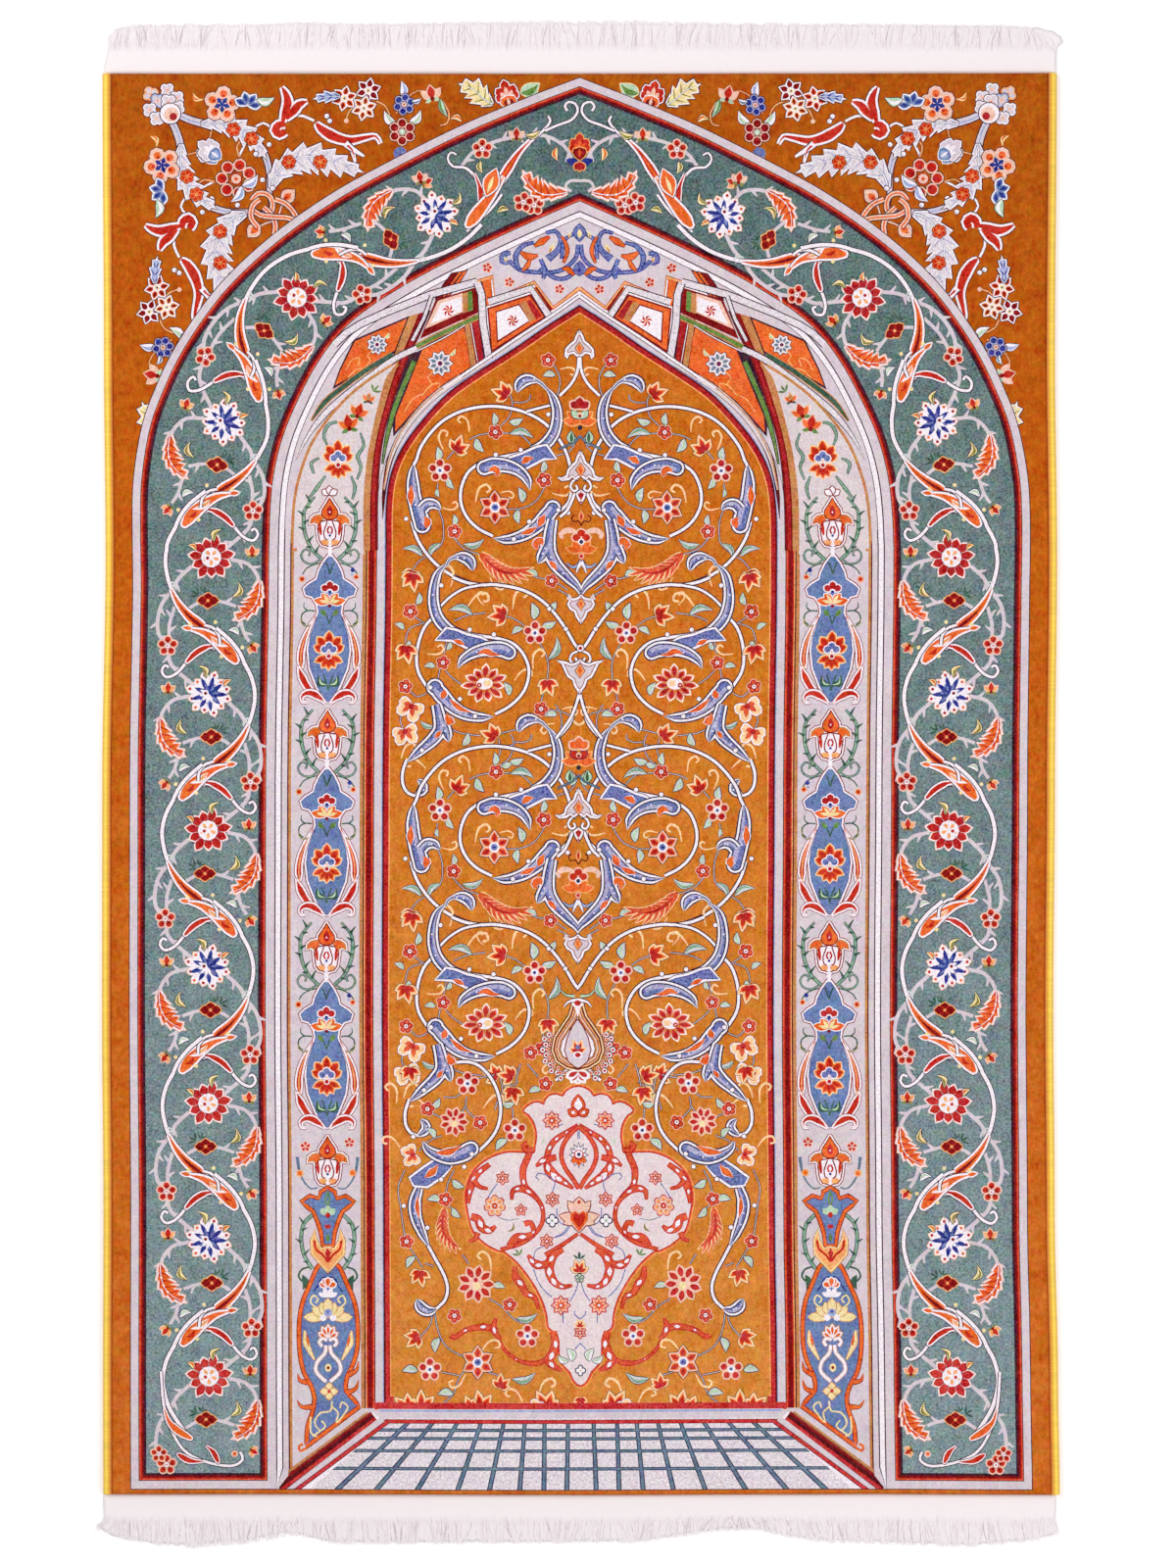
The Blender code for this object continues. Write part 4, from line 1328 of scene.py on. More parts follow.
foot += fan((-52, 0, 52), petal(10, 7, 0.6, 0.6), "mint", (0, 1240))
foot += [(petal(6, 5.6, 0.5, 1.0) + (0, 1243), "crimson"), dot(4.4, 7, "red", (0, 1241)),
         (oval((0, 1252), 7, 4.6, sides=7), "crimson"), (petal(9, 4, 0.5, 1.0) + (0, 1268), "green")]
crescent_half = [(0, 1272), (6.6, 1274), (11.6, 1265), (12.6, 1254), (17.6, 1266), (17, 1280), (9.4, 1289),
                 (0, 1299)]
bulb = np.vstack([smooth(BULB_RIGHT, 6), smooth(BULB_LEFT, 6)[::-1]])
foot += stacked(bulb, (1.8, "wine"), (0.9, "orange"), (-2.6, "wine"), (-3.3, "steel"))
foot += stacked(halves(crescent_half), (1.0, "ochre"), (0, "butter"), (-1.4, "apricot"))
foot += curve_pair([(14, 1266), (12, 1275), (5, 1281), (0, 1288)], 2.4, (0, "red"))
foot.append((halves([(0, 1274), (3, 1279), (0, 1287)]), "crimson"))
# inside the bulb
foot += curve_pair([(2, 1303), (8, 1306), (10, 1312), (15, 1318)], 1.6, (0, "navy"))
for turn in (-70, -30, 30, 70, 0):
    foot.append((grown(turned(petal(9, 6, 0.6), turn), 0.9) + (0, 1313), "white"))
    foot.append((turned(petal(8.6, 5, 0.6), turn) + (0, 1313), "orange"))
foot += fan((-66, -24, 24, 66), petal(11, 5, 0.6, 0.8), "white", (0, 1324))
for turn, reach in ((-88, 25), (88, 25), (-58, 19), (58, 19), (-26, 17), (26, 17), (0, 20)):
    foot.append((grown(turned(petal(reach, 9, 0.66, 0.4), turn), 0.8) + (0, 1345), "ochre"))
    foot.append((turned(petal(reach, 9, 0.66, 0.4), turn) + (0, 1345), "butter"))
for spot, across, yarn in (((0, 1340), 9, "sky"), ((-5, 1345), 7, "white"), ((5, 1345), 7, "white"),
                           ((0, 1339), 4, "blue")):
    foot.append(dot(across, 8, yarn, spot))
foot += curve_pair([(13, 1334), (18, 1329), (15, 1322), (10, 1326), (13, 1330)], 1.7, (0, "butter"))
foot += curve_pair([(24, 1358), (22, 1372), (14, 1388)], [(0, 1.4), (0.4, 6), (1, 1.2)], (1.4, "ochre"),
                   (0, "butter"))
foot += curve_pair([(22, 1362), (20, 1374)], [(0, 1), (0.5, 3), (1, 1)], (0, "orange"))
for by, yarn in ((1.1, "ochre"), (0.0, "white"), (-1.6, "orange")):
    for turn, reach in ((-60, 12), (60, 12), (-28, 14), (28, 14), (0, 15)):
        foot.append((grown(turned(petal(reach, 6, 0.6, 0.6), turn), by) + (0, 1366), yarn))
foot += curve_pair([(1, 1368), (6, 1366), (9, 1370), (6, 1374)], 3.0, (1.4, "ochre"), (0, "white"))
lyre = [(2, 1373), (3.4, 1381), (11, 1390), (12.6, 1399), (7, 1406), (2, 1410)]
foot += curve_pair(lyre, 3.2, (1.4, "ochre"), (0, "white"))
foot += [(oval((0, 1396), 7, 9, sides=8), "butter"), dot(3.4, 6, "wine", (0, 1396))]
for turn in (0, 90, 180, 270):
    foot.append((grown(turned(petal(9, 7, 0.5, 0.6), turn), 0.9) + (1, 1420), "ochre"))
    foot.append((turned(petal(9, 7, 0.5, 0.6), turn) + (1, 1420), "butter"))
foot.append(dot(4, 6, "crimson", (1, 1420)))
for points in (((4, 1430), (2, 1440), (-8, 1442), (-14, 1452), (-8, 1460), (-3, 1455), (-7, 1450)),
               ((4, 1436), (10, 1442), (8, 1452), (14, 1446), (20, 1436), (14, 1431), (12, 1437)),
               ((-8, 1460), (-16, 1466)), ((-18, 1446), (-18, 1462), (-12, 1466))):
    foot.append(drawn(points, 1.7, "butter", 3))
for points, flip in ((((-21, 1411), (-29, 1409), (-31, 1402)), 1),
                     (((-17, 1436), (-27, 1436), (-32, 1429)), 1),
                     (((21, 1403), (29, 1398), (31, 1389)), 1), (((20, 1421), (28, 1417), (31, 1408)), 1)):
    foot.append(drawn(points, [(0, 6.4), (0.5, 4.4), (1, 0.8)], "wine", 3))
    foot.append(drawn(points, [(0, 4.6), (0.5, 2.8), (1, 0.4)], "orange", 3))
foot.append(drawn([(-23, 1478), (-29, 1481), (-30, 1476), (-26, 1474)], 2.6, "orange", 3))
for at in ((-22.6, 1170.4), (22.6, 1166)):
    foot += [(shape + at, yarn) for shape,
             yarn in blossom(5.6, 5, "blush", "crimson", None, ("blush", "crimson"))]
set_down(foot, (COLUMN_MIDDLE, 0))
print(len(chart), "outlines on the chart")
# %% [markdown]
# ## The niche's field
# White vines curl through the gold field in great loops, each with split blue leaves, and close round a
# flower. Two loops, one above the other, make a unit that is woven twice. Such a field is worked out
# larger than the chart and then reduced, so its points are in steps of that drawing: 5.2 to a square.

# %% The field's own drawing
field_steps = 5.227  # steps of the working drawing in one square
FIELD_PERIOD = 346.6  # rows from one unit to the next
field_corner = np.array((378.4, 300.0))


def from_field(points):
    """Steps of the field's working drawing in chart squares."""
    return np.asarray(points, dtype=float) / field_steps + field_corner


def field_line(points, step=4.0):
    return smooth(from_field(points), step)


def field_vine(*points, width=2.9):
    vine(field_line(points), width, "white", "night", 1.15)


def rimmed(stops, extra):
    """Widths with a rim of `extra` that runs out to a point wherever the leaf itself does."""
    shares = sorted({0.0, 0.08, 0.2, 0.5, 0.8, 0.92, 1.0} | {share for share, _ in stops})
    widths = np.interp(shares, *zip(*stops))
    return [(share, max(width + extra * min(1.0, width / 2.4), 0.1)) for share,
            width in zip(shares, widths)]


def blue_leaf(*leaves):
    """Split leaves that grow out of one another, blue in a white band with a dark edge.

    Each is (points, widths) or (points, widths, across its bulb).
    """
    lines = [(field_line(points, 3.0), stops, bulb[0] if bulb else 0) for points, stops, *bulb in leaves]
    for extra, yarn in ((8.6, "ink"), (5.8, "white"), (1.6, "ink"), (-0.8, "blue")):
        for line, stops, bulb in lines:
            ink(ribbon(line, rimmed(stops, extra)), yarn)
            if bulb:
                ink(oval(line[-1], bulb * 0.88 + extra, sides=12), yarn)
    for line, stops, _ in lines:
        share = np.linspace(0, 1, len(line))
        widths = np.interp(share, *zip(*stops))
        inside = line + normals(line) * widths[:, None] * 0.2
        ink(ribbon(inside, [(stop, value * 0.46) for stop, value in stops]), "lilac")
        for spot in (0.45, 0.66):
            k = int(spot * (len(line) - 1))
            ink(*dot(1.9, 6, "white", line[k] - normals(line)[k] * 0.8))


def embers(rows):
    """Orange patches in a pale line inside the blue leaves: (width, points) for each."""
    for width, *points in rows:
        line = field_line(points, 3.0)
        for extra, yarn in ((4.2, "white"), (2.0, "red"), (0.2, "orange")):
            ink(ribbon(line, [(0, 0.5), (0.25, (width + extra) * 0.7), (0.5, width + extra), (1, 0.5)]),
                yarn)


def patch(points):
    """A straight-sided blue patch where two leaves part."""
    for by, yarn in ((3.4, "night"), (2.6, "white"), (0.1, "navy"), (-0.7, "blue")):
        ink(grown(from_field(points), by), yarn)


def white_knots(spots):
    """White dots in a dark edge, where a vine and a leaf part."""
    for spot in spots:
        set_down([dot(6.0, 8, "night"), dot(4.6, 7, "white")], from_field([spot])[0])


HEAD = [(0, 0.9), (0.3, 1.2), (0.55, 5.6), (0.75, 6.2), (1, 0.1)]
NOTCH = [(0, 3.0), (0.45, 6.4), (0.75, 5.0), (1, 0.1)]
TAIL = [(0, 5.0), (0.3, 8.0), (0.5, 7.4), (0.75, 4.4), (1, 0.1)]
TAPER = [(0, 0.1), (0.15, 2.4), (0.35, 5.0), (0.6, 7.8), (0.85, 10.2), (1, 9)]
ARM = [(0, 0.3), (0.2, 2.8), (0.5, 5.4), (0.75, 6.2), (1, 4.6)]

FLOWER_KINDS = {
    # name: what is set down, grown to its usual size
    "small": maroon_flower(7.4),
    "round": round_flower(12.8),
    "star": star_flower(17, core="blue"),
    "tulip": tulip(17),
    "lily": lily(19),
    "leaf": leaflet(14.5, 7.0, 0.14, "mist", "mint", "ink"),
    "long leaf": leaflet(25, 7.4, 0.2, "mist", "sage", "ink"),
    "hook": hook(15),
    "feather": feather(56, 16),
}


def plant_field(rows):
    """Sets down (kind, step across, step down, then turn, size and flip where they matter) for each row."""
    for kind, x, y, *how in rows:
        set_down(FLOWER_KINDS[kind], from_field([(x, y)])[0], *how)


def stems_of(lines):
    for points in lines:
        vine(field_line(points, 5.0), 0.7, "lavender", "ink", 0.7)


def draw_upper_loop(first):
    """The loop that opens towards the middle, with the star in it."""
    stems_of((
        ((400, 880), (425, 850), (445, 830)), ((520, 775), (570, 752), (630, 742)),
        ((700, 740), (770, 745), (815, 765), (860, 815)),
        ((690, 700), (735, 655), (752, 600), (750, 560), (738, 535)),
        ((758, 575), (805, 578), (845, 560), (848, 535)),
        ((975, 375), (1005, 430), (1008, 490), (990, 545)), ((348, 1010), (335, 1080)),
        ((350, 1150), (372, 1210), (375, 1290), (360, 1340), (300, 1390), (240, 1430), (205, 1480)),
        ((430, 1300), (490, 1360), (575, 1390)),
        ((925, 1020), (890, 1080), (850, 1120), (780, 1145), (715, 1145)),
        ((912, 890), (915, 960)), ((850, 1500), (900, 1515), (960, 1525), (1040, 1575)),
        ((985, 860), (1050, 840), (1085, 800)),
    ))
    plant_field((
        ("hook", 520, 735, 10, 1.0, 1), ("hook", 380, 830, -40, 1.1), ("hook", 1010, 400, 60, 0.9),
        ("hook", 550, 1110, -5, 1.2), ("hook", 680, 1060, 60, 0.8), ("hook", 370, 1140, 120, 0.9, 1),
        ("hook", 960, 1060, 120, 1.1, 1), ("hook", 625, 1510, 170, 1.0, 1),
        ("leaf", 348, 890), ("leaf", 400, 980, 150, 0.9), ("leaf", 555, 770, 150, 1.1),
        ("leaf", 652, 700, 0, 0.9), ("leaf", 735, 682, 75), ("long leaf", 735, 745, 100, 1.0, 1),
        ("leaf", 985, 430, -95, 0.9), ("leaf", 800, 1110, -15, 1.1), ("leaf", 778, 1148, 178),
        ("leaf", 432, 1235, 0, 0.8), ("long leaf", 360, 1330, 215, 0.8), ("long leaf", 480, 1335, 75, 0.9),
        ("long leaf", 265, 1400, -70, 0.9), ("leaf", 905, 950, 10, 0.9), ("leaf", 1062, 810, 5),
        ("leaf", 880, 1500, -70, 0.8), ("leaf", 345, 1040, 170, 0.6),
    ))
    # vines
    field_vine((218, 925), (224, 905), (235, 885), (262, 812), (330, 722), (410, 657), (520, 613),
               (650, 598), (780, 617), (880, 657),
               (955, 715), (1008, 785), (1042, 855), (1062, 930))
    field_vine((830, 624), (890, 608), (955, 592), width=2.4)
    field_vine((882, 812), (800, 844), (700, 866), (620, 882), (558, 912), (505, 958), (472, 1040),
               (472, 1122), (507, 1197), (565, 1252), (640, 1290))
    field_vine((1062, 1060), (1048, 1108), (1005, 1152))
    field_vine((205, 1215), (232, 1300), (280, 1380), (340, 1445), (420, 1500), (500, 1535), (575, 1556))
    # leaves
    blue_leaf((((930, 492), (968, 545), (990, 610), (990, 680), (970, 745), (925, 800), (860, 838)), ARM))
    blue_leaf((((938, 505), (905, 472), (870, 457), (832, 455), (803, 470), (786, 495), (782, 525)), HEAD))
    patch([(690, 896), (745, 874), (800, 856), (880, 820), (930, 808), (978, 876), (918, 872), (860, 902),
           (800, 936)])
    blue_leaf((((843, 1045), (825, 985), (780, 940), (715, 915), (645, 912), (598, 926)), TAPER, 11))
    blue_leaf((((640, 1302), (715, 1308), (800, 1285), (870, 1240), (925, 1185), (962, 1140)), TAPER, 12))
    blue_leaf((((960, 1200), (944, 1290), (944, 1370), (978, 1440), (1040, 1505), (1095, 1560),
                (1124, 1622)), TAIL),
              (((944, 1300), (918, 1370), (882, 1436)), NOTCH))
    blue_leaf((((218, 915), (214, 1000), (222, 1090), (246, 1170), (262, 1232)),
               [(0, 0.6), (0.3, 7), (0.6, 8.6), (0.8, 11), (1, 11)], 13))
    blue_leaf((((262, 1150), (290, 1122), (330, 1122), (362, 1150)), [(0, 6), (0.4, 6), (1, 0.5)]))
    # orange inside the leaves
    embers((
        (5.4, (620, 945), (650, 930), (672, 955), (655, 975)),
        (5.0, (800, 905), (825, 880), (862, 872)),
        (6.0, (885, 1240), (905, 1200), (920, 1175)),
        (4.0, (790, 1278), (840, 1262), (878, 1240)),
        (5.2, (205, 1130), (202, 1080), (206, 1020)),
        (6.4, (280, 1250), (290, 1210), (270, 1190)),
        (6.4, (885, 1360), (868, 1335), (900, 1310), (905, 1340)),
        (3.6, (940, 1420), (965, 1445), (985, 1470)),
    ))
    white_knots(((945, 640), (660, 856), (795, 830), (835, 1212), (1045, 1165), (176, 1200), (752, 1306),
                 (992, 1150)))
    # flowers
    plant_field((
        ("small", 660, 735, 20), ("small", 917, 990, 40, 1.05),
        ("small", 435, 1266), ("small", 955, 1527, 10, 0.95), ("round", 360, 942),
        ("star", 652, 1137), ("tulip", 445, 838, 42, 1.05), ("tulip", 215, 1480, 205),
        ("feather", 575, 1385, 104),
    ))
    if first:
        plant_field((("small", 945, 350), ("tulip", 728, 540, -50, 1.05)))


def draw_lower_loop():
    """The loop that opens outwards, with the rosette in it."""
    stems_of((
        ((265, 395), (215, 360)), ((295, 390), (240, 405), (190, 430), (170, 500)),
        ((430, 385), (500, 355), (600, 340)),
        ((700, 355), (760, 375), (810, 410)), ((895, 505), (925, 560), (940, 620), (935, 690)),
        ((395, 480), (380, 560)),
        ((390, 650), (430, 690), (490, 730)), ((360, 640), (350, 690)),
        ((290, 770), (240, 790), (205, 760)),
        ((160, 870), (152, 920), (170, 960)), ((420, 960), (490, 985), (580, 995)),
        ((670, 990), (720, 975), (780, 960)),
        ((680, 1010), (690, 1080), (660, 1140), (650, 1180)), ((695, 1052), (750, 1045), (775, 1025)),
        ((950, 855), (1010, 865), (1060, 885)),
        ((905, 810), (915, 770)), ((985, 215), (1050, 250)),
    ))
    plant_field((
        ("hook", 505, 305, 20, 1.3), ("hook", 590, 300, -60, 0.8), ("hook", 745, 320, -10, 1.3),
        ("hook", 290, 560, 110, 1.0, 1), ("hook", 860, 640, -20, 1.2), ("hook", 760, 700, 20, 1.1),
        ("hook", 160, 1120, 0, 1.1), ("hook", 290, 1170, -30, 1.2, 1), ("hook", 1060, 850, 180, 1.2, 1),
        ("hook", 980, 930, -80, 0.9, 1), ("hook", 410, 200, 30, 1.2, 1),
        ("long leaf", 530, 350, -80), ("leaf", 858, 375, -8, 1.2), ("leaf", 905, 405, 75),
        ("leaf", 800, 420, -120, 0.9), ("long leaf", 938, 590, 20), ("leaf", 335, 628, -90, 0.8),
        ("leaf", 735, 780, -25), ("leaf", 230, 300, 10, 0.9), ("leaf", 490, 1050, 20),
        ("long leaf", 260, 920, 105, 0.7), ("leaf", 975, 280, 190, 0.9), ("leaf", 165, 430, -60, 0.8),
        ("leaf", 395, 540, 20, 0.7), ("leaf", 690, 1150, 80, 0.9), ("leaf", 190, 490, 165, 0.9),
    ))
    field_vine((420, 152), (490, 178), (575, 192), (650, 190), (780, 213), (880, 260), (960, 332),
               (1030, 425),
               (1078, 505), (1112, 545))
    field_vine((575, 192), (480, 213), (405, 259), (352, 312), width=2.4)
    field_vine((318, 365), (272, 420), (243, 500), (233, 590), (246, 662), (290, 735))
    field_vine((440, 428), (520, 455), (610, 468), (690, 482), (755, 508), (806, 562), (836, 640),
               (826, 722), (790, 787), (730, 842), (660, 880))
    field_vine((1112, 770), (1090, 830), (1060, 930), (1000, 1000), (975, 1020))
    field_vine((190, 1125), (168, 1190), (170, 1260), (200, 1305), (240, 1318))
    blue_leaf((((395, 75), (345, 125), (322, 200), (320, 290), (345, 370), (400, 430), (470, 468)), ARM))
    blue_leaf((((386, 92), (400, 62), (428, 46), (465, 42), (500, 54), (520, 80), (528, 118)), HEAD))
    patch([(338, 484), (392, 428), (440, 438), (500, 462), (575, 478), (640, 505), (560, 542), (515, 528),
           (470, 506), (420, 483)])
    blue_leaf((((455, 640), (480, 592), (540, 552), (620, 532), (690, 535), (728, 552)), TAPER, 10))
    blue_leaf((((655, 892), (580, 898), (500, 882), (430, 842), (372, 782), (335, 738)), TAPER, 13))
    blue_leaf((((345, 830), (362, 900), (366, 960), (330, 1015), (262, 1075), (188, 1140)), TAIL),
              (((352, 890), (384, 940), (402, 985), (414, 1030)), NOTCH))
    blue_leaf((((238, 1318), (278, 1285), (272, 1250), (248, 1232)), [(0, 1), (0.5, 4.4), (1, 0.6)]))
    embers((
        (4.4, (560, 560), (600, 545), (640, 560), (680, 565)),
        (3.6, (430, 485), (465, 500), (490, 512)),
        (6.0, (370, 800), (385, 770), (382, 750)),
        (3.4, (410, 800), (470, 850), (530, 872)),
        (6.0, (395, 930), (425, 925), (400, 900), (405, 880)),
        (3.6, (340, 1010), (360, 985), (372, 970)),
    ))
    white_knots(((360, 195), (515, 430), (645, 455), (470, 800), (310, 740), (552, 892), (940, 318),
                 (1030, 425), (270, 1075)))
    plant_field((
        ("small", 375, 607, 0, 0.95), ("small", 196, 335, 20, 1.05), ("small", 176, 735),
        ("small", 905, 852, 10), ("round", 865, 447), ("tulip", 705, 355, -75, 1.1),
        ("tulip", 208, 135, 195, 1.1), ("tulip", 178, 520, 190, 1.1), ("tulip", 935, 700, 180),
        ("tulip", 665, 1005, -48, 1.05), ("lily", 215, 830, 205, 1.1), ("lily", 175, 965, 165, 1.05),
    ))
    centre = from_field([(600, 718)])[0]
    petals = []
    for grow, wide, yarn in ((1.4, 8.6, "peach"), (0.2, 8.2, "white"), (-1.4, 7.0, "scarlet"),
                             (-3.4, 4.4, "crimson")):
        for k, reach in enumerate((1.0, 0.88, 0.98, 0.84, 1.02, 0.9, 0.96, 0.86, 1.0, 0.9, 0.84)):
            shape = petal(24.0 * reach + grow, wide, 0.62, 0.8, start=7)
            petals.append((turned(shape, 360 * k / 11 + 8) * (1, 0.84), yarn))
    petals += [(oval((0, 0), 17, 12, sides=12), "white"), (oval((3, 0), 8, 7, sides=8), "peach"),
               dot(5.4, 7, "crimson", (-5.6, 1.0)), dot(2.2, 5, "blush", (-5.6, 1.0))]
    set_down(petals, centre, -6)


for unit in (0, 1):
    field_corner = np.array((378.4 + (2.2 if unit else 0), 300.0 + unit * FIELD_PERIOD))
    draw_upper_loop(unit == 0)
    field_corner = np.array((379.2 + (2.6 if unit else 0), 560.0 + unit * FIELD_PERIOD))
    draw_lower_loop()
print(len(chart), "outlines on the chart")
# %% [markdown]
# ## On the niche's middle line
# White spades and shields stand on the middle line wherever two vines meet, with small flowers between
# them. Each is given by its right half, as steps from its own top. Above the vase hangs a pomegranate: a
# pear-shaped flower in many rims with a fringe of florets.

# %% Spades, shields and the pomegranate
SPADE = [(0, 0), (3.6, 5.6), (5.6, 11.6), (9.6, 15), (13.6, 20), (15, 25.6), (19, 27.6), (24.6, 27.4),
         (19.6, 31.4),
         (12, 30.6), (8.4, 27.4), (5.6, 30.4), (0, 27)]
SHIELD = [(0, 0), (4, 3.4), (9, 5), (15, 2.4), (24.4, 1), (19, 5.4), (16, 12), (12.6, 18.6), (7.6, 21.6),
          (5.6, 28), (0, 36)]
TREFOIL = [(0, 0), (3.6, 5.4), (5.6, 11), (10, 14.4), (14.6, 19.6), (15.4, 27), (12, 30), (10.6, 25.4),
           (6, 24.4), (3, 27.4),
           (0, 26.6)]


def white_ornament(half, heart_row, heart=7.0):
    """A white shape with a lavender lining and an orange heart."""
    shape = halves(half)
    out = stacked(shape, (1.0, "night"), (0, "white"), (-2.4, "wine"), (-3.2, "lavender"))
    diamond = np.array([(0, -1), (0.66, 0), (0, 1), (-0.66, 0)]) * heart + (0, heart_row)
    return out + stacked(diamond, (1.0, "wine"), (0, "apricot"), (-1.8, "orange"))


def curls():
    """Two white curls, as under a spade."""
    points = [(2.6, 0), (8, 2.4), (10.6, 8), (7.4, 12.6), (3.4, 10.6), (5, 6.6)]
    return curve_pair(points, 2.2, (1.8, "night"), (0, "white"))


for points in (((591, 362), (589.4, 378), (583, 391), (571, 403.4)),
               ((591.5, 706), (587, 722), (581, 735), (568, 753))):
    vine(smooth(points, 4), 2.7)
for row in (453, 799.6):
    vine(smooth([(587, row + 46), (578, row + 66), (570, row + 74)], 4), 2.7)
on_middle(white_ornament(TREFOIL, 19, 6), 336)
for row, body, sides in ((404, "crimson", "mint"), (751, "orange", "red")):
    flower = []
    for turns, shape, down, by, edge, yarn in (
        ((-82, 82, -50, 50), petal(17, 7.4, 0.5, 0.9), 27, 1.5, "apricot", "orange"),
        ((-46, 46), petal(12, 7, 0.55, 0.6), 23, 0.9, "ink", sides),
        ((-58, 0, 58), petal(11, 8, 0.6, 0.5), 12, 1.8, "blush", body),
    ):
        petals = fan(turns, shape, yarn, (0, down))
        flower += [(grown(outline, by), edge) for outline, _ in petals] + petals
    eye = [dot(6, 8, "blush", (0, 19)), dot(3.4, 7, "wine", (0, 20)), dot(5, 8, "ink", (0, 32))]
    on_middle(flower + eye, row)
for row in (444, 790):
    twig = curve_pair([(0, 0), (4, 5), (12, 9.6), (22, 14)], 1.6, (1.2, "ink"), (0, "slate"))
    twig += [(shape + (side * 9, 8), yarn) for side in (-1, 1)
             for shape, yarn in leaflet(13, 8, 0.05 * side, "mint", "moss", "ink")]
    on_middle(twig, row)
for row in (459, 803.6):
    drop = halves([(0, 40), (5.4, 44), (3.6, 49.6), (0, 55)])
    on_middle(stacked(drop, (1.0, "night"), (0, "white"), (-2.2, "crimson")), row)
    on_middle(curls(), row + 29)
    on_middle(white_ornament(SPADE, 20), row)
for row in (606, 952.6):
    on_middle(white_ornament([(x * 0.62 if x > 16 else x * 0.9, y * 0.84) for x, y in SHIELD], 10, 6), row)
on_middle(curls(), 664)
on_middle(white_ornament(SHIELD, 12), 672)
on_middle([dot(9, 8, "night"), dot(7.4, 8, "white"), dot(4, 6, "crimson")], 661)
# the flowers between them
for row in (540, 886):
    flower = []
    for side in (-1, 1):
        plume = smooth([(0, 6), (side * 8, 1.4), (side * 16, 1), (side * 21, 5), (side * 19, 9)], 3)
        flower += [(ribbon(plume, [(0, 2), (0.5, 6), (0.85, 5), (1, 3)]), "blush")]
    for by, yarn in ((1.5, "blush"), (0.0, "red")):
        flower += [(grown(oval(spot, 8.4, 7.4, sides=8), by), yarn) for spot in ((-5, 8), (5, 8), (0, 3.4))]
    for by, yarn in ((1.2, "apricot"), (0.0, "orange")):
        flower += [(grown(turned(petal(reach, 7, 0.5, 0.9), turn), by) + (0, 22), yarn)
                   for turn, reach in ((-78, 16), (78, 16), (-44, 13), (44, 13))]
    flower += [dot(7, 8, "white", (0, 12.4)), dot(4.4, 7, "ink", (0, 12.4)),
               dot(6, 7, "blush", (0, 27)), dot(4, 6, "red", (0, 27))]
    flower += curve_pair([(0, 32), (4, 37), (10, 38), (15, 34)], [(0, 4), (1, 1)], (1.4, "ink"), (0, "sky"))
    flower += curve_pair([(0, 33), (3.4, 39), (5, 44)], [(0, 4), (1, 1)], (1.4, "ink"), (0, "white"))
    flower += curve_pair([(0, -4), (3, -9), (8, -8), (10, -12), (7, -15)], 1.3, (0, "brown"))
    flower += [(petal(12, 6, 0.5, 1.0) + (0, -8), "apricot"), (petal(9, 2.6, 0.5, 1.0) + (0, -9), "red")]
    on_middle(flower, row)

# the pomegranate
fruit = []
for count, reach, low, across, yarns in ((25, 36, 34, 7.0, ("night", "white", "crimson")),
                                         (27, 31, 30, 5.6, ("brown", "blush", "red"))):
    for k, angle in enumerate(np.linspace(-118, 118, count)):
        step = 1.0 if k % 2 else 0.92
        spot = np.array([math.sin(math.radians(angle)) * reach,
                         math.cos(math.radians(angle)) * low]) * step + (0, 52)
        if abs(angle) > 20:
            fruit += [dot(across * share, 6, yarn, spot) for share, yarn in zip((1.0, 0.8, 0.42), yarns)]
pear = [(0, 0), (5.6, 3), (7, 10), (9.6, 18), (16.6, 28), (24.4, 40), (27, 53), (22.6, 65), (12, 72),
        (0, 75)]
for by, yarn in ((1.0, "night"), (0.0, "peach"), (-1.6, "brown"), (-3.2, "apricot"), (-4.8, "brown"),
                 (-5.6, "blush"),
                 (-7.2, "ochre"), (-8.8, "brown"), (-9.6, "white")):
    fruit.append((grown(halves(pear), by), yarn))
inner_pear = [(0, 22), (5, 29), (10.4, 41), (13, 53), (9.6, 64), (4, 69), (0, 71)]
fruit += stacked(halves(inner_pear), (1.2, "wine"), (0, "lavender"))
fruit += [(shape + (0, 55), yarn) for shape, yarn in tulip(13, None)]
fruit += [(oval((0, 58), 10, 8, sides=9), "white"), (oval((0, 58), 6, 5, sides=8), "crimson"),
          dot(5, 7, "blue", (0, 50)), (oval((0, 5), 12, 10, sides=9),
                                       "white"), (oval((0, 5), 7, 6, sides=8), "crimson")]
fruit += curve_pair([(3, 2), (10, 4), (14, 9)], [(0, 3), (1, 1)], (1.6, "night"), (0, "white"))
fruit += curve_pair([(3, -2), (12, -3), (17, -8)], [(0, 3), (1, 1)], (1.6, "night"), (0, "mint"))
for turn in (-64, -32, 0, 32, 64):
    fruit.append((grown(turned(petal(13, 7, 0.6, 0.4), 180 + turn), 1.2) + (0, 75), "white"))
    fruit.append((turned(petal(11, 5, 0.6, 0.6), 180 + turn) + (0, 75), "crimson"))
on_middle(fruit, 1018)

# %% [markdown]
# ## The vase
# The niche's foot holds a great pale vase with a scalloped lip, two round shoulders and a narrow foot. It is
# crossed by orange bands edged in crimson, each holding slips of white, and strewn with small flowers. Its
# working drawing has 5.6 steps to a square above and 4.9 below.

# %% Drawing tools for the vase
# steps of the working drawing in a square, and the chart square of its corner: above, below and for bands
VASE_ABOVE = 5.6, np.array((462.0, 1000.0))
VASE_BELOW = 4.9, np.array((440.4, 1180.0))
VASE_BANDS = 5.6, np.array((461.4, 1000.0))
vase_steps, vase_corner = VASE_ABOVE


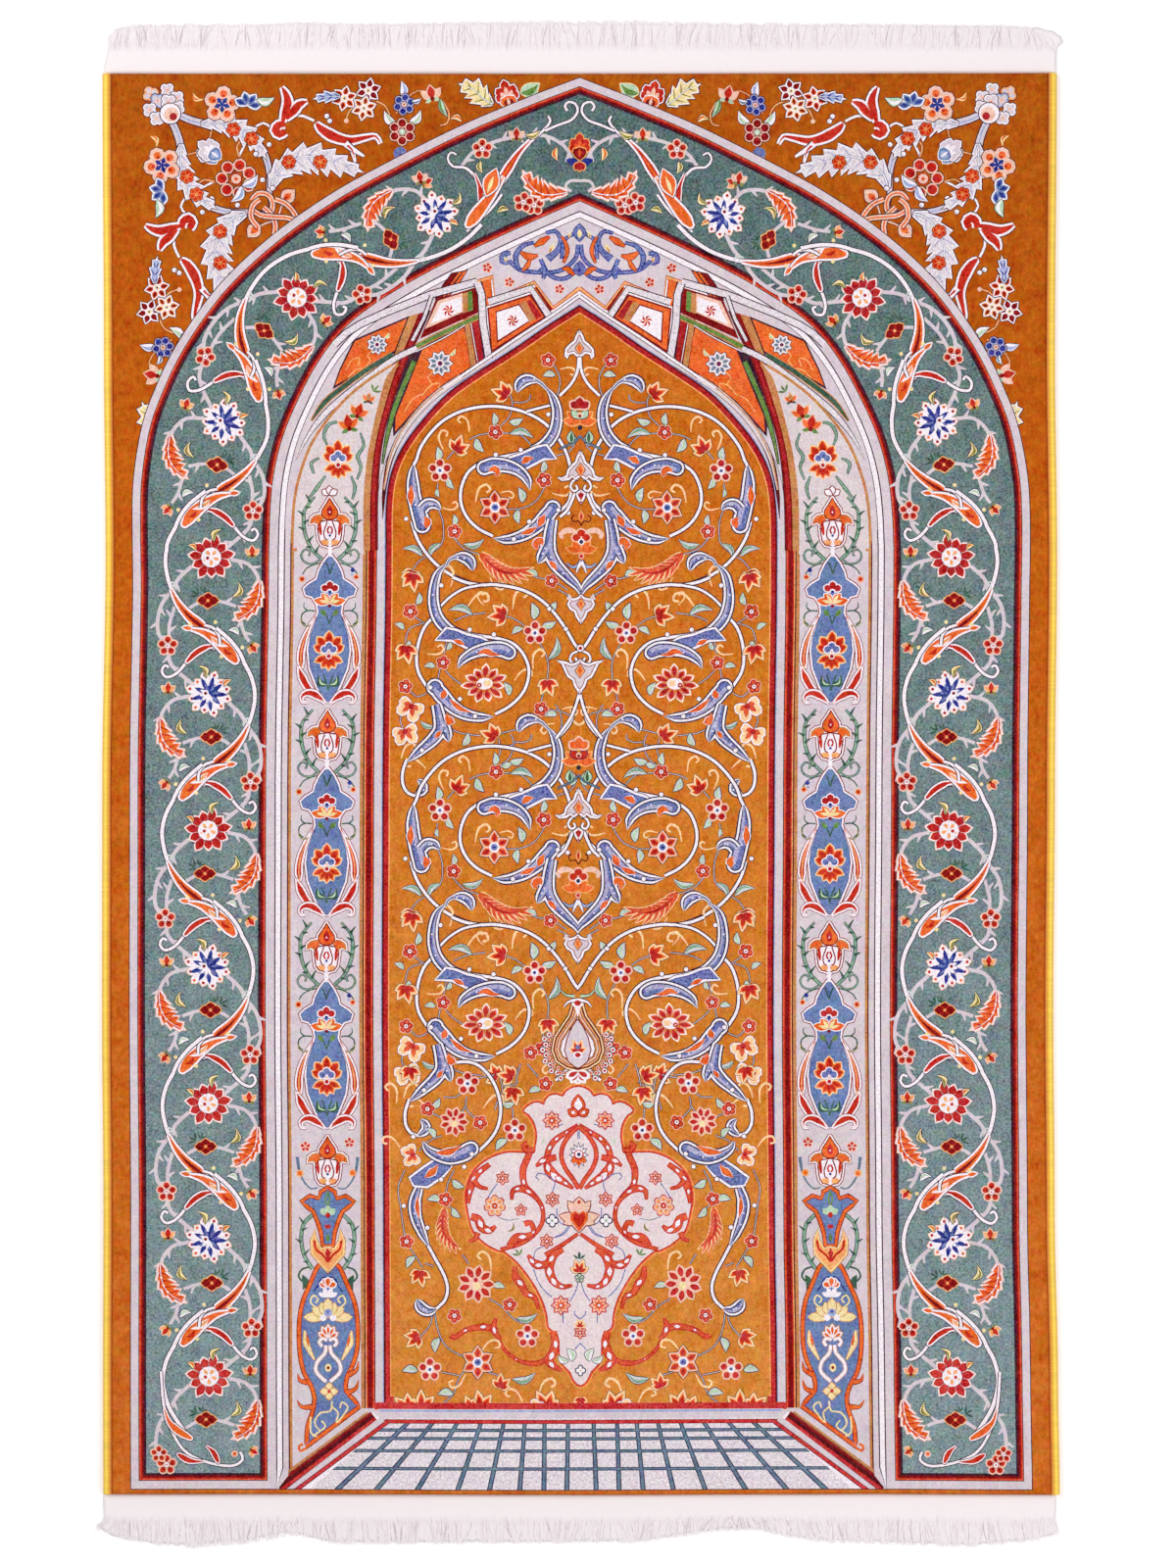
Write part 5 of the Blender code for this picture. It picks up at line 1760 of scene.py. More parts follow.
def from_vase(points):
    """Steps of the vase's working drawing in chart squares."""
    return np.asarray(points, dtype=float) / vase_steps + vase_corner


def orange_bands(rows):
    """Orange bands with crimson edges and white slips along them: (slips, widths, points) for each."""
    for slips, stops, *points in rows:
        line = smooth(from_vase(points), 3.0)
        for extra, yarn in ((2.4, "crimson"), (0.0, "scarlet")):
            ink(ribbon(line, widened(stops, extra)), yarn)
        for k in range(slips):
            share = (k + 1) / (slips + 1)
            index = int(share * (len(line) - 2))
            way = line[index + 1] - line[index]
            turn = math.degrees(math.atan2(way[0], -way[1]))
            wide = float(np.interp(share, *np.array(stops).T)) if np.ndim(stops) else stops
            slip = petal(wide * 1.3, wide * 0.66, 0.5, 0.8)
            set_down(stacked(slip, (0.8, "crimson"), (0, "white")), line[index], turn)


def in_vase(rows):
    """Sets down (motif, step across, step down, then turn and size where they matter) for each row."""
    for motif, x, y, *how in rows:
        set_down(motif, from_vase([(x, y)])[0], *how)


def thin_sprigs(lines, yarn="blue", width=1.1):
    """Hair-thin stems on the vase."""
    for points in lines:
        stroke(from_vase(points), width, yarn)


def sparse_star(radius, body="orange", petals=8):
    """A small star on the vase's pale ground, drawn in crimson lines."""
    out = ring_of(petals, grown(petal(radius, radius * 0.56, 0.5, 0.9), 0.8), "crimson")
    out += ring_of(petals, petal(radius * 0.94, radius * 0.44, 0.5, 0.9), "blush")
    out += ring_of(petals, petal(radius * 0.7, radius * 0.24, 0.5, 0.9), body)
    return out + [dot(radius * 0.56, 8, "crimson"), dot(radius * 0.32, 6, "white")]


# %% Lay the vase
VASE_TOP = [(731, 608), (692, 614), (655, 638), (637, 664), (600, 652), (560, 660), (535, 690), (528, 712),
            (500, 698),
            (460, 704), (412, 742), (440, 764), (468, 802), (484, 850), (487, 900), (478, 950), (470, 988),
            (400, 986),
            (320, 985), (250, 1002), (180, 1040), (120, 1098), (90, 1165), (78, 1240), (88, 1310),
            (100, 1370),
            (116, 1422), (152, 1470), (210, 1515), (262, 1540)]
VASE_FOOT = [(365, 470), (430, 525), (500, 615), (550, 705), (575, 780), (584, 850), (607, 868), (632, 900),
             (637, 960),
             (642, 1015), (665, 1050), (690, 1075), (705, 1110), (725, 1134), (745, 1142)]
upper = smooth(from_vase(VASE_TOP), 5)
vase_steps, vase_corner = VASE_BELOW
lower = smooth(from_vase(VASE_FOOT), 5)
vase_outline = np.vstack([upper, lower, [(PAST_MIDDLE, lower[-1][1]), (PAST_MIDDLE, upper[0][1])]])
for by, yarn in ((3.4, "apricot"), (2.6, "orange"), (1.3, "crimson"), (0.0, "shell")):
    ink(grown(vase_outline, by), yarn)
orange_bands((
    (2, [(0, 2.5), (0.3, 6.4), (0.7, 4), (1, 1)], (415, 548), (420, 600), (450, 640), (470, 680),
     (515, 705), (532, 760)),
    (2, [(0, 3.4), (0.3, 3), (0.7, 5.4), (1, 1)], (90, 892), (112, 902), (170, 866), (250, 850), (300, 862),
     (332, 905)),
    (1, [(0, 1), (0.5, 5.4), (1, 2)], (320, 806), (306, 850), (325, 895), (345, 910)),
    (1, [(0, 1.4), (0.5, 1.6), (0.8, 4), (1, 2)], (332, 915), (370, 975), (440, 1022), (520, 1032),
     (575, 1008)),
    (3, [(0, 5), (0.4, 7.4), (0.7, 7), (1, 1)], (604, 872), (616, 930), (600, 985), (580, 1012),
     (604, 1045), (650, 1068)),
    (0, [(0, 1.4), (0.6, 2.6), (1, 3.4)], (735, 384), (690, 416), (636, 452), (570, 492)),
    (4, [(0, 3), (0.3, 8), (0.6, 7), (1, 1)], (660, 462), (612, 492), (588, 550), (606, 615), (650, 648),
     (704, 642)),
    (2, [(0, 3), (0.5, 7.6), (1, 1)], (590, 520), (555, 540), (515, 532), (482, 490)),
))
thin_sprigs((((738, 612), (716, 680), (690, 720)), ((738, 612), (760, 680)),
             ((742, 812), (716, 790), (712, 770)),
             ((742, 930), (712, 962)), ((510, 560), (535, 630), (575, 680), (600, 700)),
             ((655, 780), (655, 830)),
             ((570, 440), (520, 470), (512, 510)), ((690, 340), (660, 380), (620, 400))))
in_vase(((tulip(13, "night"), 740, 575), (blossom(5, 5, "night", "mint", None, ("ink", "white")), 740, 606),
         (sparse_star(10), 645, 742), (sparse_star(7, "red", 6), 742, 878),
         (tulip(8, None), 740, 850), (leaflet(14, 8, 0.2, "white", "mint", "moss"), 700, 1022, -24),
         (leaflet(12, 6, -0.2, "white", "mint", "moss"), 680, 1022, -60),
         (sprig(8, "green"), 440, 492, -30),
         (blossom(6, 4, "ink", "white", None, ("butter", "ink")), 742, 1068), (sprig(8, "moss"), 738, 512),
         (tulip(15, None), 740, 1205, 180, 0.8)))
vase_steps, vase_corner = VASE_BANDS
orange_bands((
    (3, [(0, 1.6), (0.6, 4.4), (1, 4.4)], (725, 824), (668, 862), (602, 905), (562, 955), (545, 1015)),
    (4, [(0, 3), (0.35, 9.5), (0.75, 5), (1, 1)], (545, 1010), (550, 1065), (580, 1110), (640, 1150),
     (696, 1188)),
    (1, [(0, 4), (0.5, 6), (1, 0.6)], (600, 1010), (560, 1018), (520, 1030), (482, 1062)),
    (0, 2.6, (728, 836), (682, 876), (640, 940), (628, 1005), (650, 1072), (694, 1134), (726, 1190)),
    (3, [(0, 4.6), (0.2, 5), (0.5, 2.4), (0.8, 2.6), (1, 2)], (452, 952), (436, 1010), (408, 1080),
     (416, 1168), (470, 1226), (514, 1290), (520, 1370), (482, 1438), (400, 1500), (276, 1538)),
    (0, [(0, 3), (1, 4)], (470, 965), (430, 972), (412, 945), (438, 930)),
    (2, [(0, 1), (0.5, 6), (1, 2)], (342, 1254), (348, 1204), (392, 1188), (440, 1206), (486, 1248)),
    (3, [(0, 1), (0.4, 6.4), (1, 3)], (92, 1276), (104, 1190), (140, 1110), (216, 1050)),
    (0, [(0, 4), (1, 1)], (120, 1140), (160, 1180), (206, 1190)),
    (2, [(0, 5), (0.4, 8), (0.7, 6), (1, 1)], (108, 1348), (150, 1366), (170, 1412), (216, 1428),
     (250, 1402)),
    (0, [(0, 1), (1, 4)], (95, 1490), (130, 1478), (148, 1440)),
    (2, [(0, 6), (0.3, 7), (0.6, 3), (1, 4)], (330, 1522), (366, 1472), (424, 1462), (468, 1436),
     (450, 1384), (414, 1392)),
))
thin_sprigs((((575, 1210), (590, 1150), (540, 1110), (490, 1100)), ((600, 1300), (606, 1370), (650, 1400)),
             ((640, 820), (610, 830), (590, 830)), ((200, 1250), (230, 1200), (260, 1160)),
             ((500, 1100), (480, 1120), (500, 1140)),
             ((725, 860), (724, 905)), ((580, 1470), (640, 1450), (680, 1400))))
thin_sprigs((((260, 1350), (320, 1370), (380, 1360)),), "slate", 0.8)
for reach, wide, turn in ((20, 12, 0), (11, 8, -64), (11, 8, 64)):
    shapes = stacked(petal(reach, wide, 0.5, 0.8), (1.4, "crimson"), (0, "orange"), (-1.4, "crimson"),
                     (-2.2, "white"))
    set_down(shapes, from_vase([(726, 790)])[0] - (0, 4), turn)
in_vase(((sparse_star(9.4), 576, 800), (sparse_star(7, "red", 6), 290, 1130),
         (blossom(11.4, 7, "crimson", "blush", "orange", ("crimson", "white")), 244, 1288),
         (blossom(10, 7, "blush", "apricot", "orange", ("crimson", "white")), 244, 1288),
         (sparse_star(6.4, "red", 5), 395, 1312), (sparse_star(7.6, "red", 6), 576, 1250),
         (sparse_star(7.4, "red", 6), 542, 1490),
         (blossom(7, 4, "ink", "white", None, ("mint", "ink")), 574, 1372)))
in_vase((([(crescent(12, 2.6, 0.3), "olive")], 316, 1436, 30),
         ([(crescent(9, 1.6, 0.3), "mint")], 545, 900, -160)))
medallion = ring_of(12, petal(13, 4.6, 0.5, 1.0), "ink") + ring_of(12, petal(11.4, 3.2, 0.5, 1.0), "white")
medallion = [(shape * (0.8, 1.06), yarn) for shape, yarn in medallion]
medallion += fan((140, 180, 220), petal(11, 6, 0.6, 0.5), "orange")
medallion += [dot(11, 9, "crimson"), dot(8, 8, "white", (0, -0.6)), dot(4, 6, "ink", (0, -0.6))]
on_middle(medallion, 1178)
lotus = []
for by, yarn in ((1.1, "wine"), (0.0, "blush")):
    for turn, reach, wide, base in ((-38, 19, 9, 10), (38, 19, 9, 10), (-78, 21, 10, 14), (78, 21, 10, 14),
                                    (0, 15, 12, 6),
                                    (180, 27, 20, 0), (-112, 17, 9, 12), (112, 17, 9, 12)):
        lotus.append((grown(turned(petal(reach, wide, 0.5, 0.8), turn), by) + (0, base), yarn))
lotus += [(halves([(0, 8), (4, 5), (9, 8), (9, 14), (4, 21), (0, 26)]), "orange"),
          (halves([(0, 9), (4, 7), (6.6, 9), (6, 14), (2, 20), (0, 22)]), "red"),
          dot(4, 6, "crimson", (0, -4))]
on_middle(lotus, 1230)
print(len(chart), "outlines on the chart")

# %% [markdown]
# ## Beside the vase
# The last loop closes lower down round a small rosette, and its blue leaf runs on as a long stem beside the
# vase. The rest of the field's foot is filled with the same small plants.

# %% Lay the plants beside the vase
field_steps = 4.418  # this corner's drawing is a little smaller
field_corner = np.array((376.6, 1085.0))
stems_of((
    ((570, 50), (500, 65)), ((430, 120), (395, 150), (340, 152)), ((445, 150), (440, 200), (480, 245)),
    ((440, 190), (415, 225)),
    ((290, 225), (340, 250)), ((690, 0), (675, 50), (665, 100)), ((650, 200), (655, 260)),
    ((330, 325), (270, 350), (225, 395)),
    ((160, 480), (130, 560), (140, 640), (152, 730), (160, 790)), ((185, 835), (215, 880), (240, 920)),
    ((250, 900), (290, 915)),
    ((385, 480), (355, 540), (345, 600)), ((360, 640), (395, 680)), ((420, 860), (450, 905)),
    ((540, 1060), (590, 1090), (650, 1150), (690, 1170)),
    ((285, 1120), (270, 1180), (225, 1235)), ((292, 1120), (310, 1210), (350, 1280), (440, 1330)),
    ((440, 1370), (400, 1420), (375, 1490), (330, 1530)),
    ((320, 1390), (400, 1405)), ((530, 1390), (580, 1405)), ((720, 0), (770, 60)),
))
plant_field((
    ("hook", 520, 200, 20, 1.3), ("hook", 140, 380, -20, 1.1, 1), ("hook", 125, 180, 20, 1.2, 1),
    ("hook", 550, 930, 10, 1.2, 1),
    ("hook", 500, 1300, 20, 1.2), ("hook", 760, 1500, 0, 1.3), ("hook", 690, 1530, -10, 1.2, 1),
    ("hook", 430, 1400, 190, 1.1),
    ("leaf", 375, 525, 120), ("leaf", 325, 615, -90), ("leaf", 375, 650, 140, 0.9), ("leaf", 205, 870, 215),
    ("leaf", 312, 1235, 195, 1.1), ("leaf", 625, 340, 225, 1.1), ("leaf", 780, 115, -105, 0.9),
    ("long leaf", 660, 1145, 78, 0.9),
    ("leaf", 555, 1000, 100, 0.9, 1), ("leaf", 215, 1385, -92, 1.1), ("long leaf", 640, 1420, 75),
    ("leaf", 375, 1490, -90, 1.1),
    ("leaf", 300, 335, -40, 0.9), ("leaf", 285, 200, 40, 0.9),
))
field_vine((400, -6), (450, -8), (500, 8), (548, 55), (582, 120), (598, 200), (585, 280), (550, 340),
           (498, 392))
field_vine((262, 815), (300, 885), (335, 950), (352, 1010), (340, 1065), (300, 1106))
patch([(186, 518), (248, 472), (292, 442), (372, 464), (334, 502), (262, 552), (203, 548)])
blue_leaf((((244, 352), (262, 385), (305, 412), (362, 424), (420, 408), (462, 384)),
           [(0, 0.5), (0.3, 5), (0.6, 8.6), (0.85, 11), (1, 10)], 11))
blue_leaf((((224, 562), (206, 622), (210, 690), (236, 760), (266, 822)),
           [(0, 3), (0.3, 7), (0.6, 5), (1, 0.6)]))
blue_leaf((((298, 1108), (265, 1116), (232, 1100), (212, 1062)), [(0, 1), (0.45, 6), (0.7, 6), (1, 0.4)]))
embers((
    (5.0, (300, 402), (360, 398), (420, 370)),
    (5.4, (250, 515), (295, 480), (310, 455)),
    (2.4, (218, 600), (216, 650), (226, 700)),
))
white_knots(((430, 465), (325, 522), (155, 642), (262, 740), (465, 408), (200, 330)))
plant_field((
    ("small", 266, 205), ("small", 504, 265, 20), ("small", 168, 803), ("small", 343, 612, 10),
    ("small", 632, 1086), ("small", 382, 1136, 30), ("small", 802, 90), ("small", 735, -50),
    ("round", 449, 90), ("round", 661, 300), ("round", 711, 1228), ("round", 270, 1379),
    ("star", 486, 1346), ("lily", 205, 408, -110, 0.9), ("tulip", 190, 20, 190), ("tulip", 655, 60, -60),
    ("tulip", 656, 110, 190, 1.05), ("tulip", 228, 935, 190), ("tulip", 222, 1230, -110),
    ("tulip", 585, 1460, 25, 0.9),
    ("feather", 340, 655, 158, 0.8), ("tulip", 230, 1560, 20, 1.2), ("tulip", 175, 1560, -30, 1.1),
    ("tulip", 500, 1560, 10, 1.2),
    ("tulip", 460, 1560, -50), ("tulip", 800, 1560, -10, 1.3), ("lily", 760, 1570, -60, 0.9),
))
for at, radius in (((386, 262), 14.5), ((481, 992), 19)):
    rose = ring_of(9, grown(petal(radius, radius * 0.5, 0.6, 0.8), 1.3), "blush")
    rose += ring_of(9, petal(radius * 0.96, radius * 0.32, 0.6, 0.9, start=radius * 0.3), "red")
    rose += ring_of(9, petal(radius * 0.8, radius * 0.14, 0.6, 0.9, start=radius * 0.4, sides=3), "crimson")
    rose += [dot(radius * 0.8, 10, "blush"), dot(radius * 0.42, 8, "butter", (1, 2)),
             dot(radius * 0.26, 7, "crimson", (-1, -radius * 0.2))]
    set_down(rose, from_field([at])[0], 12)
ink([(381, 1431), (PAST_MIDDLE, 1431), (PAST_MIDDLE, 1438.4), (381, 1438.4)], "crimson")
ink([(393.5, 1425), (400.6, 1425), (400.6, 1438), (393.5, 1438)], "crimson")
print(len(chart), "outlines on the chart")
# %% [markdown]
# ## The niche's threshold
# Below the niche a tiled floor runs out to the rug's bottom in perspective, and each column's foot is cut off
# by a slanting band of ochre, red and white. The tiles are one pale sheet with slate joints laid over it.

# %% Lay the sill, the slanting bands and the tiles
ink([(384.6, 1437.6), (PAST_MIDDLE, 1437.6), (PAST_MIDDLE, 1448.4), (375, 1448.4)], "lavender")
ink([(387, 1438.4), (PAST_MIDDLE, 1438.4), (PAST_MIDDLE, 1440.4), (386, 1440.4)], "sky")
ink(np.array([(372, 1446.6), (PAST_MIDDLE, 1446.6), (PAST_MIDDLE, 1524), (280, 1524), (294, 1505)]),
    "pearl")
TILE_ROWS = (1459.0, 1467.6, 1480.2, 1498.4)
TILE_COLUMNS = (
    # squares from the middle line: at row 1452, at row 1520
    (13, 15), (37, 38.4), (57, 63), (78.6, 94), (101.6, 126.6), (125.6, 168), (150.6, 210), (175.6, 250),
    (200, 292),
)


def joint(row, half, yarn):
    """A joint between two rows of tiles, from the slanting band to the middle."""
    left = 394 - 1.337 * (row - 1449.4)
    ink([(left, row - half), (PAST_MIDDLE, row - half), (PAST_MIDDLE, row + half), (left, row + half)],
        yarn)


for half, far, near, yarn in ((1.7, 4.2, 5.4, "ink"), (0.9, 2.2, 3.2, "slate")):
    for row in TILE_ROWS:
        joint(row, half, yarn)
    for top, bottom in TILE_COLUMNS:
        line = np.array([(MIDDLE_COLUMN - top, 1451), (MIDDLE_COLUMN - bottom, 1521)])
        ink(ribbon(line, [(0, far), (1, near)]), yarn)
ink([(388, 1448.2), (PAST_MIDDLE, 1448.2), (PAST_MIDDLE, 1452.4), (388, 1452.4)], "wine")
ink([(388, 1448.8), (PAST_MIDDLE, 1448.8), (PAST_MIDDLE, 1451.8), (388, 1451.8)], "crimson")
# the slanting bands, from the niche's corner down to the sill
slants = (
    # start, end, width, yarn
    ((375.0, 1442.0), (287, 1507.6), 4.6, "ochre"),
    ((380.4, 1445.0), (283, 1518.6), 11.4, "night"),
    ((380.4, 1445.0), (283, 1518.6), 9.8, "crimson"),
    ((379.4, 1444.0), (282, 1517.6), 6.0, "wine"),
    ((379.8, 1444.4), (282.4, 1518.0), 3.0, "brown"),
    ((389.4, 1447.6), (291, 1523.4), 6.0, "lavender"),
    ((396.0, 1449.4), (297.6, 1523.0), 4.6, "night"),
    ((396.0, 1449.4), (297.6, 1523.0), 3.4, "crimson"),
)
ink([(366, 1450), (380, 1441), (392, 1452), (310, 1524), (280, 1524), (288, 1508)], "white")
for start, end, wide, yarn in slants:
    ink(ribbon(np.array([start, end], dtype=float), wide), yarn)
ink([(272, 1430), (280.2, 1430), (280.2, SILL), (272, SILL)], "lavender")
for by, yarn in ((0.0, "lavender"), *INNER_STRIPES[:4]):
    ink([(263.6 + by, 1498), (292.6, 1498), (292.6, 1506), (282, SILL), (263.6 + min(by, 17), SILL)], yarn)
for by, yarn in BORDER_STRIPES:
    ink([(230, 1490), (263.6 + by, 1490), (263.6 + by, LEG_END + by), (230, LEG_END + by)], yarn)
ink([(131.3, SILL), (PAST_MIDDLE, SILL), (PAST_MIDDLE, SHEET_BOTTOM), (131.3, SHEET_BOTTOM)], "night")
ink([(SHEET_LEFT, STRIPE_FOOT), (PAST_MIDDLE, STRIPE_FOOT), (PAST_MIDDLE, SHEET_BOTTOM),
     (SHEET_LEFT, SHEET_BOTTOM)], "amber")

# %% [markdown]
# ## The border's peak and foot
# At the peak the two borders meet in a palmette under a pair of curls, and at the foot each vine turns back
# into a hooked bulb. These parts come once, so they are drawn in place.

# %% Lay the border's peak
thorny(smooth([(470, 171), (483, 155), (510, 143), (551, 137.5), (575, 148), (584, 163)], 5), 4.2)
thorny(smooth([(541, 193), (549, 188), (560, 192)], 5), 4.0)
thorny(smooth([(591.5, 184), (582, 184), (577, 190), (583, 195)], 4), 3.6, every=30)
vine(smooth([(476, 236), (500, 214), (512, 198)], 5), 2.6)
vine(smooth([(540, 146), (556, 131), (561.5, 123), (559, 118)], 4), 2.4)
vine(smooth([(556, 133), (570, 127), (583, 122), (589.5, 113), (587, 105.4), (580, 103.6), (576.4, 108),
             (579, 112.6)], 4), 2.4)
vine(smooth([(493, 203), (488, 186), (476, 172), (462, 170), (456.5, 162), (460, 155.6), (465.4, 158)], 4),
     [(0, 3.4), (0.5, 2.6), (1, 1.8)])
split_leaf(smooth([(484, 177), (489, 190), (490.6, 204), (487, 214)], 4), 5.0, body="red", bulb=0.5,
           rim=1.2)
split_leaf(smooth([(541, 143), (529, 156), (517, 174), (507, 190)], 5), 6.4, body="red", heart="orange",
           bulb=0.6)
split_leaf(smooth([(514, 180), (502, 198), (488, 216), (478, 229)], 5), 10.5, bulb=0.76)
set_down([(grown(petal(30, 15, 0.5, 0.9), 2.2), "night"), (grown(petal(30, 15, 0.5, 0.9), 1.4), "white"),
          (petal(30, 15, 0.5, 0.9), "orange"), (petal(22, 4, 0.5, 1.0, start=3), "butter")], (496, 200), 20)
for at, turn in (((545, 209), 0), ((492, 152), 0), ((534, 206), 10)):
    set_down(blossom(11), at, turn)
set_down(bud(11, "red", "blush", "olive"), (527, 141), 0)
set_down(leaflet(16, 6, 0.2), (536, 138), 70)
set_down(bud(11, "red", "blush", "olive"), (429, 186), -10)
set_down(serrated_leaf(46, 15, -0.3), (578, 196), -62)
set_down(leaflet(14, 6.4, 0.2, shade="orange"), (568, 150), 175)
set_down(leaflet(13, 6, 0.2), (519, 213), -110)
set_down(leaflet(13, 6, 0.2), (490, 164), 170)
peak = palmette(30, "red", "orange", "wine", "apricot", "crimson", None)
peak += [(turned(petal(15, 8, 0.5, 0.8), turn) + (0, 4), "navy") for turn in (-72, 72)]
peak += [(grown(turned(petal(9, 6.4, 0.6, 0.8), turn), by) + (0, 2), yarn) for by,
         yarn in ((1.2, "apricot"), (0, "crimson"))
         for turn in (-150, 150, 180)]
on_middle(peak, 163)

# %% Lay the border's foot
vine(smooth([(163, 1400), (165.8, 1434), (173.7, 1460), (187, 1481), (208, 1492), (234, 1496.4),
             (246, 1490), (243.6, 1482)], 5), 2.6)
split_leaf(smooth([(166.5, 1438), (171, 1451), (181, 1461), (193, 1468)], 4), 6.4, body="orange", bulb=0.55,
           rim=1.3)
split_leaf(smooth([(206, 1492), (192, 1491), (181, 1485)], 4), 5.4, body="red", bulb=0.6, rim=1.2)
split_leaf(smooth([(209, 1476), (216, 1482), (221, 1492)], 4), 5.0, body="red", bulb=0.5, rim=1.2)
set_down([dot(7, 8, "blush"), dot(4, 6, "orange")], (238, 1484))
set_down(blossom(9, 5), (160.6, 1484))
set_down(bud(8), (254.7, 1480), 120)
print(len(chart), "outlines on the chart")
# %% [markdown]
# ## From the chart to the pile
# On the loom every knot takes its yarn from the chart. A mesh of some 1.4 million knots would be far
# too heavy, so here the pile's top is cut along the outlines themselves. A constrained Delaunay
# triangulation makes triangles that never cross an outline, and each triangle then takes the yarn of the
# uppermost outline round its middle. The edges stay crisp however near the camera comes.

# %% Which outline is on top
def winds_round(outline, spots):
    """True for each spot that the outline goes round."""
    x0, y0 = outline.T
    x1, y1 = np.roll(outline, -1, axis=0).T
    inside = np.zeros(len(spots), dtype=bool)
    batch = max(1, 4_000_000 // len(outline))
    for start in range(0, len(spots), batch):
        px, py = spots[start:start + batch, 0, None], spots[start:start + batch, 1, None]
        side = (x1 - x0) * (py - y0) - (px - x0) * (y1 - y0)
        rising = (y0 <= py) & (y1 > py) & (side > 0)
        falling = (y0 > py) & (y1 <= py) & (side < 0)
        inside[start:start + batch] = rising.sum(axis=1) != falling.sum(axis=1)
    return inside


def uppermost(outlines, spots):
    """For each spot, the number of the last outline that goes round it."""
    order = np.argsort(spots[:, 1])
    rows = spots[order, 1]
    top = np.zeros(len(spots), dtype=int)
    for k, outline in enumerate(outlines):
        low, high = outline.min(axis=0), outline.max(axis=0)
        first, last = np.searchsorted(rows, (low[1], high[1]))
        near = order[first:last]
        near = near[(spots[near, 0] > low[0]) & (spots[near, 0] < high[0])]
        if len(near):
            top[near[winds_round(outline, spots[near])]] = k
    return top


# %% Cut the half chart into triangles
RIM_PROFILE = (
    # inset from the rim in metres, share of the full thickness
    (0.0, 0.62), (0.0006, 0.84), (0.0018, 0.96), (0.0042, 1.0),
)


def open_line(points):
    """A line's points and the edges that join them, without closing it."""
    return points, [(k, k + 1) for k in range(len(points) - 1)]


def triangulate(outlines, lines):
    """Cuts the plane along all outlines and lines: corner points and triangles."""
    points, edges = [], []
    for outline in outlines:
        base, count = len(points), len(outline)
        points.extend(Vector(point) for point in outline)
        edges.extend((base + k, base + (k + 1) % count) for k in range(count))
    for line, joins in lines:
        base = len(points)
        points.extend(Vector(point) for point in line)
        edges.extend((base + a, base + b) for a, b in joins)
    corners, _, faces, *_ = delaunay_2d_cdt(points, edges, [], 0, 1e-4, False)
    return np.array([corner[:] for corner in corners]), np.array(faces)


rim_lines = []
for inset, _ in RIM_PROFILE:
    by = inset / KNOT
    rim_lines.append(open_line([
        (MIDDLE_COLUMN, PILE_TOP + by), (PILE_LEFT + by, PILE_TOP + by),
        (PILE_LEFT + by, PILE_BOTTOM - by), (MIDDLE_COLUMN, PILE_BOTTOM - by),
    ]))
rim_lines.append(open_line([(MIDDLE_COLUMN, 50.0), (MIDDLE_COLUMN, 1560.0)]))
CROSS_CUTS = 25  # level cuts across the pile, which keep long triangles out of it
for row in np.linspace(PILE_TOP, PILE_BOTTOM, CROSS_CUTS)[1:-1]:
    rim_lines.append(open_line([(PILE_LEFT - 10, row), (MIDDLE_COLUMN, row)]))

ZONES = (
    # name, the outline that bounds it on the half chart: later ones lie inside earlier ones
    ("ground", np.array(half_sheet, dtype=float)),
    ("border", within(outer_curve, -OUTER_MARGIN, STRIPE_FOOT)),
    ("frames", within(inner_curve, OUTER_MARGIN, STRIPE_FOOT)),
    ("niche", within(niche_curve, -0.8, NICHE_FOOT + 0.8)),
)
zone_outlines = [outline for _, outline in ZONES]
low, high = np.array([PILE_LEFT - 9, SHEET_TOP]), np.array([MIDDLE_COLUMN + 9, SHEET_BOTTOM + 1])
used = [(outline, yarn) for outline, yarn in chart
        if (outline.max(axis=0) > low).all() and (outline.min(axis=0) < high).all()]
corners, faces = triangulate([outline for outline, _ in used] + zone_outlines, rim_lines)
middles = corners[faces].mean(axis=1)
inside_pile = ((middles[:, 0] > PILE_LEFT) & (middles[:, 0] < MIDDLE_COLUMN)
               & (middles[:, 1] > PILE_TOP) & (middles[:, 1] < PILE_BOTTOM))
faces, middles = faces[inside_pile], middles[inside_pile]
yarn_numbers = np.array([YARN_NAMES.index(yarn) for _, yarn in used])
face_yarn = yarn_numbers[uppermost([outline for outline, _ in used], middles)]
face_zone = uppermost(zone_outlines, middles)
print(len(used), "outlines,", len(corners), "corners,", len(faces), "triangles in the half chart")

# %% [markdown]
# ## The pile's pieces
# The finished pile is cut into eight lengths, four zones on either side of the middle line, each a closed
# slab standing on the woven back. Lengths keep every mesh light. The tops round over at the rug's rim,
# where a real pile leans outwards.

# %% Build the lengths of pile
BACK_TOP = 0.002  # the woven back's thickness
PILE_HIGH = 0.0075


def pile_height(squares):
    """The pile's height over the floor, rounded over near the rim."""
    inset = np.minimum.reduce([
        squares[:, 0] - PILE_LEFT, 2 * MIDDLE_COLUMN - PILE_LEFT - squares[:, 0],
        squares[:, 1] - PILE_TOP, PILE_BOTTOM - squares[:, 1],
    ]) * KNOT
    reach, share = np.array(RIM_PROFILE).T
    return PILE_HIGH * np.interp(inset, reach, share)


def rim_edges(triangles):
    """The edges that only one triangle has, in the direction it uses them."""
    sides = np.vstack([triangles[:, [0, 1]], triangles[:, [1, 2]], triangles[:, [2, 0]]])
    key = np.sort(sides, axis=1)
    _, first, count = np.unique(key, axis=0, return_index=True, return_counts=True)
    return sides[first[count == 1]]


